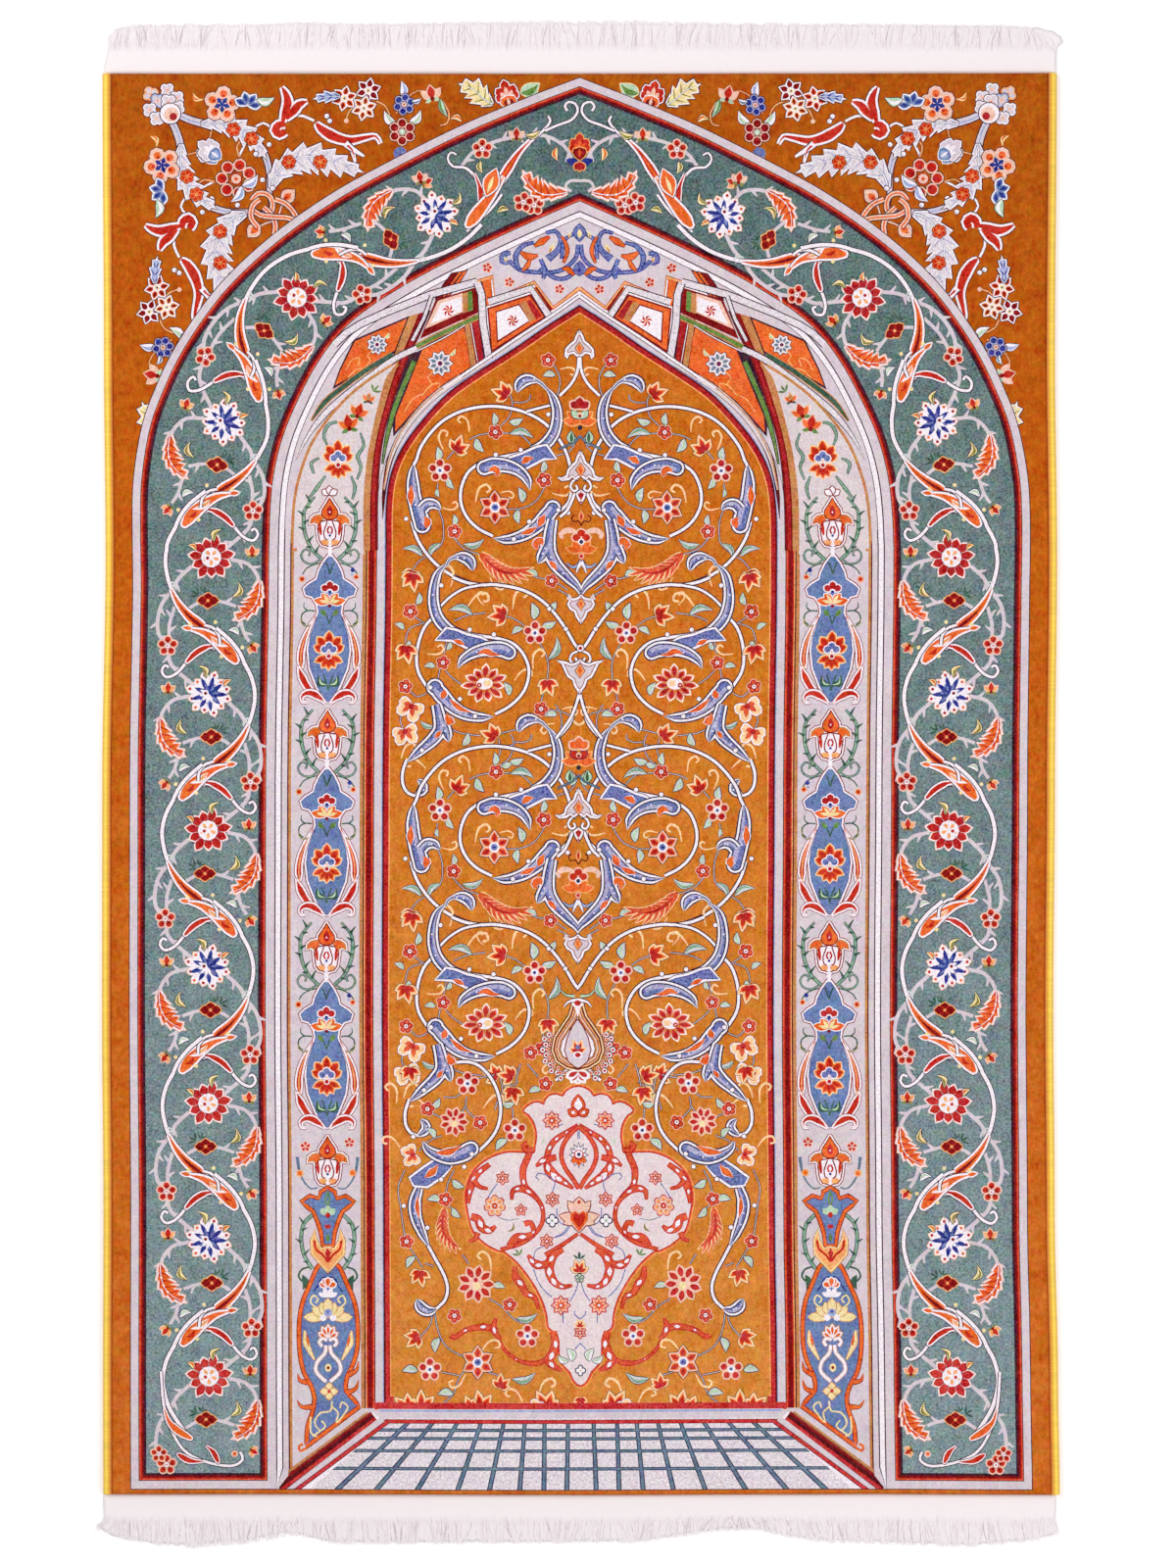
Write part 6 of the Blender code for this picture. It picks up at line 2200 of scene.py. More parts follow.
def ground_tint(yarns, squares):
    """Colours of the corners: the amber and gold grounds change slowly over the rug."""
    colours = YARN_COLOURS[yarns].copy()
    for name, stops in GROUND_TINTS.items():
        mine = yarns == YARN_NAMES.index(name)
        rows = [row for row, _ in stops]
        tint = np.array([[linear(channel) for channel in colour] for _, colour in stops])
        for channel in range(3):
            colours[mine, channel] = np.interp(squares[mine, 1], rows, tint[:, channel])
    return colours


GROUND_TINTS = {
    # yarn: (row, colour) from the top of the rug to its foot
    "amber": ((75, (176, 84, 6)), (400, (187, 88, 6)), (600, (192, 92, 8)), (1525, (203, 104, 32))),
    "gold": ((320, (199, 104, 22)), (700, (207, 117, 34)), (1100, (210, 125, 46)), (1437, (215, 134, 56))),
    "teal": ((100, (88, 110, 110)), (500, (106, 126, 126)), (900, (116, 134, 137)),
             (1500, (128, 146, 150))),
    "crimson": ((100, (166, 34, 40)), (900, (182, 36, 36)), (1437, (198, 54, 54))),
}


def mesh_piece(name, spots, triangles):
    """A new object from arrays of corners and triangles."""
    mesh = bpy.data.meshes.new(name)
    mesh.vertices.add(len(spots))
    mesh.vertices.foreach_set("co", spots.ravel())
    mesh.loops.add(triangles.size)
    mesh.loops.foreach_set("vertex_index", triangles.ravel().astype(np.int32))
    mesh.polygons.add(len(triangles))
    mesh.polygons.foreach_set("loop_start", np.arange(0, triangles.size, 3, dtype=np.int32))
    mesh.update(calc_edges=True)
    piece = bpy.data.objects.new(name, mesh)
    bpy.context.scene.collection.objects.link(piece)
    return piece


def build_length(name, triangles, yarns, mirror):
    """One closed length of pile from the half chart's triangles."""
    if mirror:
        triangles = triangles[:, ::-1]
    used_corners, triangles = np.unique(triangles, return_inverse=True)
    triangles = triangles.reshape(-1, 3)
    squares = corners[used_corners].copy()
    if mirror:
        squares[:, 0] = 2 * MIDDLE_COLUMN - squares[:, 0]
    count = len(squares)
    place = lay_on_rug(squares)
    # Up the chart is down the page, so a triangle that runs clockwise on the page faces up on the rug.
    a, b, c = place[triangles[0]]
    if (b - a)[0] * (c - a)[1] - (b - a)[1] * (c - a)[0] < 0:
        triangles = triangles[:, ::-1]
    rim = rim_edges(triangles)
    foot_of = np.full(count, -1)
    rim_points = np.unique(rim)
    foot_of[rim_points] = count + np.arange(len(rim_points))
    spots = np.vstack([
        np.column_stack((place, pile_height(squares))),
        np.column_stack((place[rim_points], np.full(len(rim_points), BACK_TOP))),
    ])
    walls = np.vstack([
        np.column_stack((rim[:, 1], rim[:, 0], foot_of[rim[:, 0]])),
        np.column_stack((rim[:, 1], foot_of[rim[:, 0]], foot_of[rim[:, 1]])),
    ])
    order = {point: k for k, point in enumerate(rim_points)}
    joins = [(order[a], order[b]) for a, b in rim]
    flat = [Vector(point) for point in place[rim_points] * 1000]
    flat_points, _, under, origin, *_ = delaunay_2d_cdt(flat, joins, [], 0, 1e-7, True)
    under = np.array(under)
    flat_points = np.array([point[:] for point in flat_points])
    under_middles = flat_points[under].mean(axis=1)
    loops = winds_parity(place[rim] * 1000, under_middles)
    under = under[loops]
    back_to = np.array([origins[0] for origins in origin])
    under = foot_of[rim_points[back_to[under]]]
    a, b, c = spots[under[0], :2]
    if (b - a)[0] * (c - a)[1] - (b - a)[1] * (c - a)[0] > 0:
        under = under[:, ::-1]
    polygons = np.vstack([triangles, walls, under])
    obj = mesh_piece(name, spots, polygons)
    mesh = obj.data
    all_squares = np.vstack([squares, squares[rim_points]])
    wall_yarn = nearest_yarn(rim, triangles, yarns)
    loop_yarn = np.repeat(np.concatenate([yarns, wall_yarn, wall_yarn, np.full(len(under), CREAM)]), 3)
    colours = np.ones((polygons.size, 4))
    colours[:, :3] = ground_tint(loop_yarn, all_squares[polygons.ravel()])
    layer = mesh.color_attributes.new("yarn", "FLOAT_COLOR", "CORNER")
    layer.data.foreach_set("color", colours.ravel())
    mesh.attributes.new("grain", "FLOAT", "CORNER").data.foreach_set("value", YARN_GRAIN[loop_yarn])
    mesh.set_sharp_from_angle(angle=math.radians(40))
    return obj


def winds_parity(edges, spots):
    """True for each spot inside the closed loops that these edges make."""
    x0, y0 = edges[:, 0].T
    x1, y1 = edges[:, 1].T
    inside = np.zeros(len(spots), dtype=bool)
    batch = max(1, 4_000_000 // len(edges))
    for start in range(0, len(spots), batch):
        px, py = spots[start:start + batch, 0, None], spots[start:start + batch, 1, None]
        crosses = (y0 <= py) != (y1 <= py)
        rise = np.where(crosses, y1 - y0, 1.0)
        inside[start:start + batch] = ((crosses & (px < x0
                                                   + (py - y0) / rise * (x1 - x0))).sum(axis=1) % 2) == 1
    return inside


CREAM = YARN_NAMES.index("cream")


def nearest_yarn(rim, triangles, yarns):
    """The yarn of the triangle that each rim edge belongs to."""
    sides = np.vstack([triangles[:, [0, 1]], triangles[:, [1, 2]], triangles[:, [2, 0]]])
    owner = {(a, b): k % len(triangles) for k, (a, b) in enumerate(sides.tolist())}
    return yarns[[owner[(a, b)] for a, b in rim.tolist()]]


pile = {}
for zone, (zone_name, _) in enumerate(ZONES):
    mine = face_zone == zone
    for mirror, side_name in ((False, "left"), (True, "right")):
        piece_name = f"pile_{zone_name}_{side_name}"
        pile[piece_name] = build_length(piece_name, faces[mine], face_yarn[mine], mirror)
        print(piece_name, len(pile[piece_name].data.polygons), "triangles")

# %% [markdown]
# ## The finish of cut pile
# Cut pile shows the ends of the yarns. Each knot is a little lighter or darker than the next, and the nap
# leans one way or another in soft patches, which is what makes velvet look brushed. Here the light and
# shade that those patches catch is painted into the colour. The shader group below takes a yarn and its
# grain and puts out the knots' speckle, the painted light and shade of the brushed patches and a height
# for the bump. It reads Object coordinates, so it keeps its scale on every length of pile.

# %% Node helpers
def new_group(name, inputs, outputs):
    """An empty shader group with float or colour sockets: (name, kind, default)."""
    group = bpy.data.node_groups.new(name, "ShaderNodeTree")
    for socket_name, kind, default in inputs:
        socket = group.interface.new_socket(name=socket_name, in_out="INPUT", socket_type=kind)
        if default is not None:
            socket.default_value = default
    for socket_name, kind in outputs:
        group.interface.new_socket(name=socket_name, in_out="OUTPUT", socket_type=kind)
    return group, group.nodes.new("NodeGroupInput"), group.nodes.new("NodeGroupOutput")


def add_node(tree, kind, settings=None, **values):
    """A node with its settings, and its inputs set to values or linked to other sockets."""
    node = tree.nodes.new(kind)
    for key, value in (settings or {}).items():
        setattr(node, key, value)
    for key, value in values.items():
        socket = node.inputs[int(key[1:])] if key[0] == "i" and key[1:].isdigit() else node.inputs[key]
        if isinstance(value, bpy.types.NodeSocket):
            tree.links.new(value, socket)
        else:
            socket.default_value = value
    return node


def sums(tree, operation, first, second, third=None):
    """The result of one Math node."""
    values = {"i0": first, "i1": second}
    if third is not None:
        values["i2"] = third
    return add_node(tree, "ShaderNodeMath", {"operation": operation}, **values).outputs[0]


def noise(tree, vector, scale, detail=2.0, roughness=0.5):
    """A noise texture's value, 0 to 1 about 0.5."""
    node = add_node(tree, "ShaderNodeTexNoise", None, Vector=vector, Scale=scale, Detail=detail,
                    Roughness=roughness)
    return node.outputs["Fac"]


def stretched(tree, vector, by):
    """Coordinates scaled by a different amount along each axis."""
    return add_node(tree, "ShaderNodeMapping", None, Vector=vector, Scale=by).outputs[0]


def scaled_colour(tree, colour, factor):
    """A colour made lighter or darker by a factor."""
    node = add_node(tree, "ShaderNodeVectorMath", {"operation": "SCALE"}, i0=colour, Scale=factor)
    return node.outputs[0]


# %% The cut pile group
cut_pile, given, put_out = new_group(
    "cut pile",
    [("Yarn", "NodeSocketColor", (0.5, 0.2, 0.05, 1.0)), ("Grain", "NodeSocketFloat", 0.4),
     ("Knot", "NodeSocketFloat", KNOT), ("Speckle", "NodeSocketFloat", 1.2),
     ("Painted nap shade", "NodeSocketFloat", 0.34), ("Dye", "NodeSocketFloat", 0.22)],
    [("Colour", "NodeSocketColor"), ("Height", "NodeSocketFloat"), ("Roughness", "NodeSocketFloat")],
)
where = add_node(cut_pile, "ShaderNodeTexCoord").outputs["Object"]
per_knot = sums(cut_pile, "DIVIDE", 1.0, given.outputs["Knot"])
in_knots = add_node(cut_pile, "ShaderNodeVectorMath", {"operation": "SCALE"}, i0=where,
                    Scale=per_knot).outputs[0]
tufts = sums(cut_pile, "SUBTRACT", noise(cut_pile, in_knots, 0.44, 2.0, 0.8), 0.5)
grain = sums(cut_pile, "MULTIPLY", given.outputs["Grain"], given.outputs["Speckle"])
fine = sums(cut_pile, "MULTIPLY", tufts, grain)
# painted light and shade of the leaning nap: brushed strokes and larger soft patches, lighter and darker in
# turn
strokes = sums(cut_pile, "SUBTRACT",
               noise(cut_pile, stretched(cut_pile, where, (300, 170, 1)), 1.0, 3.0, 0.6), 0.5)
patches = sums(cut_pile, "SUBTRACT",
               noise(cut_pile, stretched(cut_pile, where, (60, 45, 1)), 1.0, 3.0, 0.6), 0.5)
painted_nap_shade = sums(cut_pile, "ADD", sums(cut_pile, "MULTIPLY", strokes, 0.7),
             sums(cut_pile, "MULTIPLY", patches, 0.6))
painted_nap_shade = sums(cut_pile, "MULTIPLY", painted_nap_shade, given.outputs["Painted nap shade"])
# the dye takes unevenly, so the hue drifts from one hank of yarn to the next
hank = add_node(cut_pile, "ShaderNodeTexNoise", None, Vector=where, Scale=150.0, Detail=3.0, Roughness=0.7)
drift = add_node(cut_pile, "ShaderNodeVectorMath", {"operation": "SUBTRACT"}, i0=hank.outputs["Color"],
                 i1=(0.5, 0.5, 0.5))
# pale yarns show less of both, because light passes from tuft to tuft in them
channels = add_node(cut_pile, "ShaderNodeSeparateColor", None, Color=given.outputs["Yarn"])
pale = sums(cut_pile, "MULTIPLY", channels.outputs["Green"], channels.outputs["Blue"])
strength = sums(cut_pile, "MULTIPLY_ADD", pale, -1.1, 1.0)
drift = scaled_colour(cut_pile, drift.outputs[0],
                      sums(cut_pile, "MULTIPLY", strength, given.outputs["Dye"]))
shade = sums(cut_pile, "ADD", fine, sums(cut_pile, "MULTIPLY", painted_nap_shade, strength))
change = add_node(cut_pile, "ShaderNodeVectorMath", {"operation": "ADD"}, i0=drift, i1=shade)
# a change that looks equal in every yarn is smaller in the dark channels: 2.2 times their 0.55th power
slope = add_node(cut_pile, "ShaderNodeGamma", None, Color=given.outputs["Yarn"], Gamma=0.55)
change = add_node(cut_pile, "ShaderNodeVectorMath", {"operation": "MULTIPLY"}, i0=change.outputs[0],
                  i1=slope.outputs[0])
change = scaled_colour(cut_pile, change.outputs[0], 2.2)
dyed = add_node(cut_pile, "ShaderNodeVectorMath", {"operation": "ADD"}, i0=given.outputs["Yarn"], i1=change)
dyed = add_node(cut_pile, "ShaderNodeVectorMath", {"operation": "MAXIMUM"}, i0=dyed.outputs[0],
                i1=(0, 0, 0))
cut_pile.links.new(dyed.outputs[0], put_out.inputs["Colour"])
cut_pile.links.new(tufts, put_out.inputs["Height"])
rough = sums(cut_pile, "ADD", 0.75, sums(cut_pile, "MULTIPLY", painted_nap_shade, -0.4))
cut_pile.links.new(rough, put_out.inputs["Roughness"])
print("cut pile group:", len(cut_pile.nodes), "nodes")


# %% Finish the pile
def new_material(name):
    """A material with an empty Principled BSDF, its tree and that shader."""
    material = bpy.data.materials.new(name)
    material.use_nodes = True
    tree = material.node_tree
    return material, tree, tree.nodes["Principled BSDF"]


pile_material, tree, shader = new_material("cut pile")
yarn = add_node(tree, "ShaderNodeAttribute", {"attribute_name": "yarn"}).outputs["Color"]
grain = add_node(tree, "ShaderNodeAttribute", {"attribute_name": "grain"}).outputs["Fac"]
pile_group = add_node(tree, "ShaderNodeGroup", {"node_tree": cut_pile}, Yarn=yarn, Grain=grain)
tree.links.new(pile_group.outputs["Colour"], shader.inputs["Base Color"])
tree.links.new(pile_group.outputs["Roughness"], shader.inputs["Roughness"])
bump = add_node(tree, "ShaderNodeBump", None, Height=pile_group.outputs["Height"], Strength=0.35,
                Distance=0.0006)
tree.links.new(bump.outputs[0], shader.inputs["Normal"])
shader.inputs["Specular IOR Level"].default_value = 0.08
shader.inputs["Sheen Weight"].default_value = 0.03
shader.inputs["Sheen Roughness"].default_value = 0.5
for piece in pile.values():
    piece.data.materials.append(pile_material)

# %% [markdown]
# ## The woven back
# Under the pile lies the cloth that holds the knots: cotton warps with a weft beaten in after every row.
# From above it hides under the pile, and from below it is all that shows. A grid is laid on the rug's
# outline and made 2 mm thick. The ribs of the wefts are left to the material's bump, and the material
# also paints shade into the grooves between the threads.

# %% Model the woven back
bpy.ops.object.select_all(action="DESELECT")
bpy.ops.mesh.primitive_grid_add(x_subdivisions=24, y_subdivisions=48, size=1.0)
backing = bpy.context.object
backing.name = "woven_back"


def corner_table(obj):
    """All the mesh's corners as an array."""
    spots = np.empty(3 * len(obj.data.vertices))
    obj.data.vertices.foreach_get("co", spots)
    return spots.reshape(-1, 3)


def put_corners(obj, spots):
    """Moves all the mesh's corners."""
    obj.data.vertices.foreach_set("co", np.asarray(spots, dtype=float).ravel())
    obj.data.update()


def apply_modifier(obj, kind, **settings):
    """Adds a modifier and applies it straight away."""
    bpy.ops.object.select_all(action="DESELECT")
    obj.select_set(True)
    bpy.context.view_layer.objects.active = obj
    modifier = obj.modifiers.new(kind.lower(), kind)
    for name, value in settings.items():
        setattr(modifier, name, value)
    bpy.ops.object.modifier_apply(modifier=modifier.name)


flat = corner_table(backing)
squares = np.column_stack((MIDDLE_COLUMN + flat[:, 0] * 2 * (MIDDLE_COLUMN - PILE_LEFT),
                           MIDDLE_ROW - flat[:, 1] * (PILE_BOTTOM - PILE_TOP)))
put_corners(backing, np.column_stack((lay_on_rug(squares), np.zeros(len(flat)))))
apply_modifier(backing, "SOLIDIFY", thickness=BACK_TOP, offset=1.0)
print("woven back:", [round(size, 4) for size in backing.dimensions])

# %% A finish for woven cotton
weave, given, put_out = new_group(
    "plain weave",
    [("Yarn", "NodeSocketColor", (0.8, 0.75, 0.7, 1.0)), ("Warps", "NodeSocketFloat", 900.0),
     ("Wefts", "NodeSocketFloat", 1200.0), ("Depth", "NodeSocketFloat", 0.12)],
    [("Colour", "NodeSocketColor"), ("Height", "NodeSocketFloat")],
)
where = add_node(weave, "ShaderNodeTexCoord").outputs["Object"]
part = add_node(weave, "ShaderNodeSeparateXYZ", None, Vector=where)


def thread_wave(coordinate, count):
    """A wave of 0 to 1 across threads, `count` of them a metre."""
    turn = sums(weave, "MULTIPLY", sums(weave, "MULTIPLY", coordinate, count), math.pi)
    return sums(weave, "ABSOLUTE", sums(weave, "SINE", turn, 0.0), 0.0)


warps = thread_wave(part.outputs["X"], given.outputs["Warps"])
wefts = thread_wave(part.outputs["Y"], given.outputs["Wefts"])
uneven = sums(weave, "SUBTRACT", noise(weave, stretched(weave, where, (120, 900, 1)), 1.0, 3.0, 0.6), 0.5)
relief = sums(weave, "ADD", sums(weave, "MULTIPLY", wefts, 0.7), sums(weave, "MULTIPLY", warps, 0.3))
relief = sums(weave, "ADD", relief, sums(weave, "MULTIPLY", uneven, 0.6))
# painted shade: the cloth is darker in the grooves between threads and lighter on their crowns, with uneven
# tone along the wefts
shade = sums(weave, "MULTIPLY", sums(weave, "SUBTRACT", relief, 0.6), given.outputs["Depth"])
weave.links.new(scaled_colour(weave, given.outputs["Yarn"], sums(weave, "ADD", 1.0, shade)),
                put_out.inputs["Colour"])
weave.links.new(relief, put_out.inputs["Height"])


def woven_cotton(name, colour, warps_a_metre, wefts_a_metre, depth):
    """A matt cotton cloth of one colour, with shade painted into the grooves between its threads."""
    material, tree, shader = new_material(name)
    group = add_node(tree, "ShaderNodeGroup", {"node_tree": weave}, Warps=warps_a_metre,
                     Wefts=wefts_a_metre, Depth=depth)
    group.inputs["Yarn"].default_value = (*[linear(channel) for channel in colour], 1.0)
    tree.links.new(group.outputs["Colour"], shader.inputs["Base Color"])
    ribs = add_node(tree, "ShaderNodeBump", None, Height=group.outputs["Height"], Strength=0.4,
                    Distance=0.0003)
    tree.links.new(ribs.outputs[0], shader.inputs["Normal"])
    shader.inputs["Roughness"].default_value = 0.88
    shader.inputs["Specular IOR Level"].default_value = 0.2
    return material


backing.data.materials.append(woven_cotton("woven back", (206, 190, 166), 610.0, 610.0, 0.5))

# %% [markdown]
# ## The overcast bindings
# Along both sides the edge warps are wrapped over and over with a bright yellow yarn, which makes a round
# ribbed roll. One wrap is modelled from a cylinder: it is cut through the middle and swollen there. An
# array repeats it along the whole side, and the roll is then laid along the rug's swaying edge.

# %% Model one wrap
WRAPS = 900  # turns of yarn along each side
BINDING_HIGH = 0.0062
WRAP_LONG = PILE_LENGTH / WRAPS
WRAP_CUTS = (-0.22, 0.22)  # where a wrap of length 1 swells, and by how much
WRAP_SWELL = 1.13
BITE = 0.0009  # metres by which the wrapping bites into the pile
SLANT = 0.00055  # metres by which the yarn slants where it crosses over the top


def select_ring(mesh_object, axis, at, reach):
    """Selects the corners within `reach` of a place along one axis."""
    edit_mesh = bmesh.from_edit_mesh(mesh_object.data)
    for corner in edit_mesh.verts:
        corner.select = abs(corner.co[axis] - at) < reach
    edit_mesh.select_flush(True)
    edit_mesh.select_flush(False)
    bmesh.update_edit_mesh(mesh_object.data)


bpy.ops.object.select_all(action="DESELECT")
bpy.ops.mesh.primitive_cylinder_add(vertices=12, radius=0.5, depth=1.0, end_fill_type="NOTHING",
                                    rotation=(math.pi / 2, 0, 0))
wrap = bpy.context.object
wrap.name = "one_wrap"
bpy.ops.object.transform_apply(location=True, rotation=True, scale=True)
bpy.ops.object.mode_set(mode="EDIT")
for cut in WRAP_CUTS:
    bpy.ops.mesh.select_all(action="SELECT")
    bpy.ops.mesh.bisect(plane_co=(0, cut, 0), plane_no=(0, 1, 0))
for cut in WRAP_CUTS:
    select_ring(wrap, 1, cut, 0.01)
    bpy.ops.transform.resize(value=(WRAP_SWELL, 1.0, WRAP_SWELL), center_override=(0, cut, 0))
bpy.ops.object.mode_set(mode="OBJECT")
apply_modifier(wrap, "ARRAY", count=WRAPS, use_relative_offset=False, use_constant_offset=True,
               constant_offset_displace=(0, 1, 0), use_merge_vertices=True, merge_threshold=0.001)
bpy.ops.object.mode_set(mode="EDIT")
bpy.ops.mesh.select_all(action="DESELECT")
select_ring(wrap, 1, -0.5, 0.01)
bpy.ops.mesh.edge_face_add()
select_ring(wrap, 1, WRAPS - 0.5, 0.01)
bpy.ops.mesh.edge_face_add()
bpy.ops.mesh.select_all(action="SELECT")
bpy.ops.mesh.normals_make_consistent(inside=False)
bpy.ops.object.mode_set(mode="OBJECT")
print("the straight roll:", len(wrap.data.polygons), "faces")

# %% Lay a roll along each side
def lay_binding(side, name):
    """A copy of the straight roll, laid along one side of the rug."""
    roll = bpy.data.objects.new(name, wrap.data.copy())
    bpy.context.scene.collection.objects.link(roll)
    across, along, up = corner_table(roll).T
    share = (along + 0.5) / WRAPS
    nominal = PILE_LENGTH * (share - 0.5)
    low, high = rug_end(-1, side * HALF_WIDTH), rug_end(1, side * HALF_WIDTH)
    slant = SLANT * across * (up > 0) * np.minimum(share * 60, 1) * np.minimum((1 - share) * 60, 1)
    inner = rug_side(side, nominal) - side * BITE
    x = inner + side * np.clip(across + 0.53, 0, 1.08) * (BINDING_WIDTH + 0.0011)
    z = np.clip(up * 1.12 + 0.42, 0, 1.02) * BINDING_HIGH
    put_corners(roll, np.column_stack((x, low + (high - low) * share + slant, z)))
    if side < 0:
        roll.data.flip_normals()
    roll.data.attributes.new("inward", "FLOAT", "POINT").data.foreach_set("value", 0.5 - across)
    roll.data.shade_smooth()
    return roll


bindings = {"left": lay_binding(-1, "wrapped_side_left"), "right": lay_binding(1, "wrapped_side_right")}
bpy.data.objects.remove(wrap)
print("a roll is", [round(size, 4) for size in bindings["left"].dimensions])

# %% A finish for the wrapping yarn
binding_material, tree, shader = new_material("wrapping yarn")
where = add_node(tree, "ShaderNodeTexCoord").outputs["Object"]
each_wrap = add_node(tree, "ShaderNodeVectorMath", {"operation": "FLOOR"},
                     i0=stretched(tree, where, (0, 1 / WRAP_LONG, 0))).outputs[0]
lot = add_node(tree, "ShaderNodeTexWhiteNoise", {"noise_dimensions": "3D"},
               Vector=each_wrap).outputs["Value"]
worn = noise(tree, stretched(tree, where, (1, 60, 1)), 1.0, 3.0, 0.6)
factor = sums(tree, "ADD", sums(tree, "MULTIPLY", lot, 0.12), sums(tree, "MULTIPLY", worn, 0.24))
factor = sums(tree, "ADD", factor, 0.82)
# a painted highlight along the top of the roll, and the yarn darker and more orange towards the pile
inward = add_node(tree, "ShaderNodeAttribute", {"attribute_name": "inward"}).outputs["Fac"]
ramp = add_node(tree, "ShaderNodeValToRGB", None, Fac=inward)
for _ in range(4):
    ramp.color_ramp.elements.new(0.5)
for stop, place, colour in zip(ramp.color_ramp.elements, (0.0, 0.32, 0.5, 0.66, 0.82, 1.0), (
    (236, 180, 60), (255, 224, 84), (248, 196, 56), (232, 160, 44), (214, 126, 32), (196, 98, 14),
)):
    stop.position = place
    stop.color = (*[linear(channel) for channel in colour], 1.0)
tree.links.new(scaled_colour(tree, ramp.outputs["Color"], factor), shader.inputs["Base Color"])
shader.inputs["Roughness"].default_value = 0.42
shader.inputs["Specular IOR Level"].default_value = 0.5
shader.inputs["Sheen Weight"].default_value = 0.1
for roll in bindings.values():
    roll.data.materials.append(binding_material)

# %% [markdown]
# ## The cotton fringes
# Past the pile the warps are woven on into a plain white band, and are then left loose and combed. Each
# end has some fifteen hundred threads. The lowest of them lie so close that they are modelled as one thin
# sheet with the band. Over it comes one thread made from a cylinder, and every copy of it gets its own
# length and lean. The comb drags neighbours together, so the lean is worked out lock by lock.

# %% Where the tips end
BAND_DEPTH = 0.0205
BAND_THICK = 0.0016
BAND_CLOTH = 0.0009  # thickness of the band's own cloth
FRINGE_REACH = 0.0455
UNDER_SHORT = 0.0026  # the lowest threads, which are one sheet with the band, end this much earlier
SIDE_INSET = 0.0006  # the cotton is this much narrower than the rug on either side
FRINGE_DIP = (
    # how much shorter than its reach each fringe is combed: share of the way across, top end, bottom end
    (0.000, 0.0115, 0.0165), (0.010, 0.0048, 0.0120), (0.016, 0.0036, 0.0080), (0.035, 0.0024, 0.0052),
    (0.065, 0.0024, 0.0016), (0.090, 0.0024, 0.0000), (0.150, 0.0024, 0.0034), (0.200, 0.0008, 0.0106),
    (0.250, 0.0020, 0.0030), (0.450, 0.0000, 0.0038), (0.550, 0.0000, 0.0042), (0.670, 0.0018, 0.0148),
    (0.760, 0.0022, 0.0040), (0.915, 0.0034, 0.0008), (0.940, 0.0036, 0.0030), (0.970, 0.0044, 0.0052),
    (0.987, 0.0072, 0.0078), (0.994, 0.0098, 0.0098), (1.000, 0.0170, 0.0135),
)
SPLAY_WIDTH = 0.055  # the part of the width over which the outward lean of the corners dies away
CORNER_LEAN = {
    # metres outwards at the left and right corners: the band's edge, then the tips of the threads
    "top": ((-0.0040, 0.0006), (0.0, 0.0085)),
    "bottom": ((-0.0004, -0.0004), (0.0092, 0.0036)),
}


def splayed(end_name, share):
    """How far the tips lean outwards near the corners, towards +X."""
    left, right = CORNER_LEAN[end_name][1]
    near_left = np.maximum(0.0, 1 - share / SPLAY_WIDTH)
    near_right = np.maximum(0.0, 1 - (1 - share) / SPLAY_WIDTH)
    return right * near_right**1.5 - left * near_left**1.5


def band_side(side, end_name, out, reach):
    """x of the cotton's own side, `out` metres past the pile's end: the band first, then the threads."""
    band, threads = (lean[side > 0] for lean in CORNER_LEAN[end_name])
    past = np.clip((out - BAND_DEPTH) / (reach - BAND_DEPTH), 0, 1)
    lean = band * np.clip(out / BAND_DEPTH, 0, 1) ** 1.3 + threads * past**1.3
    return side * (HALF_WIDTH - SIDE_INSET + lean)


# %% Model the woven bands
def weave_band(end, end_name):
    """The plain woven band at one end, with the lowest layer of threads."""
    bpy.ops.object.select_all(action="DESELECT")
    bpy.ops.mesh.primitive_grid_add(x_subdivisions=240, y_subdivisions=12, size=1.0)
    band = bpy.context.object
    band.name = f"fringe_band_{end_name}"
    across, along = corner_table(band)[:, :2].T
    share = across + 0.5
    dip = smooth_between(FRINGE_DIP, share, 1 if end > 0 else 2)
    out = (FRINGE_REACH - UNDER_SHORT - dip) * (along + 0.5)
    left, right = (band_side(side, end_name, out, FRINGE_REACH - dip) for side in (-1, 1))
    x = left + (right - left) * share
    ragged = 0.0005 * np.sin(x * 610) * (along > 0.49)
    y = rug_end(end, x) + end * (0.0001 + out + ragged)
    ripple = (0.0003 * (1 + np.sin(x * 47 + end)) * np.clip(1.4 - out / 0.009, 0, 1)
              * np.clip(out / 0.003, 0, 1))
    if end < 0:
        band.data.flip_normals()
    put_corners(band, np.column_stack((x, y, BAND_THICK - 0.0006 * (along + 0.5) + ripple)))
    apply_modifier(band, "SOLIDIFY", thickness=BAND_CLOTH, offset=-1.0)
    band.data.shade_smooth()
    return band


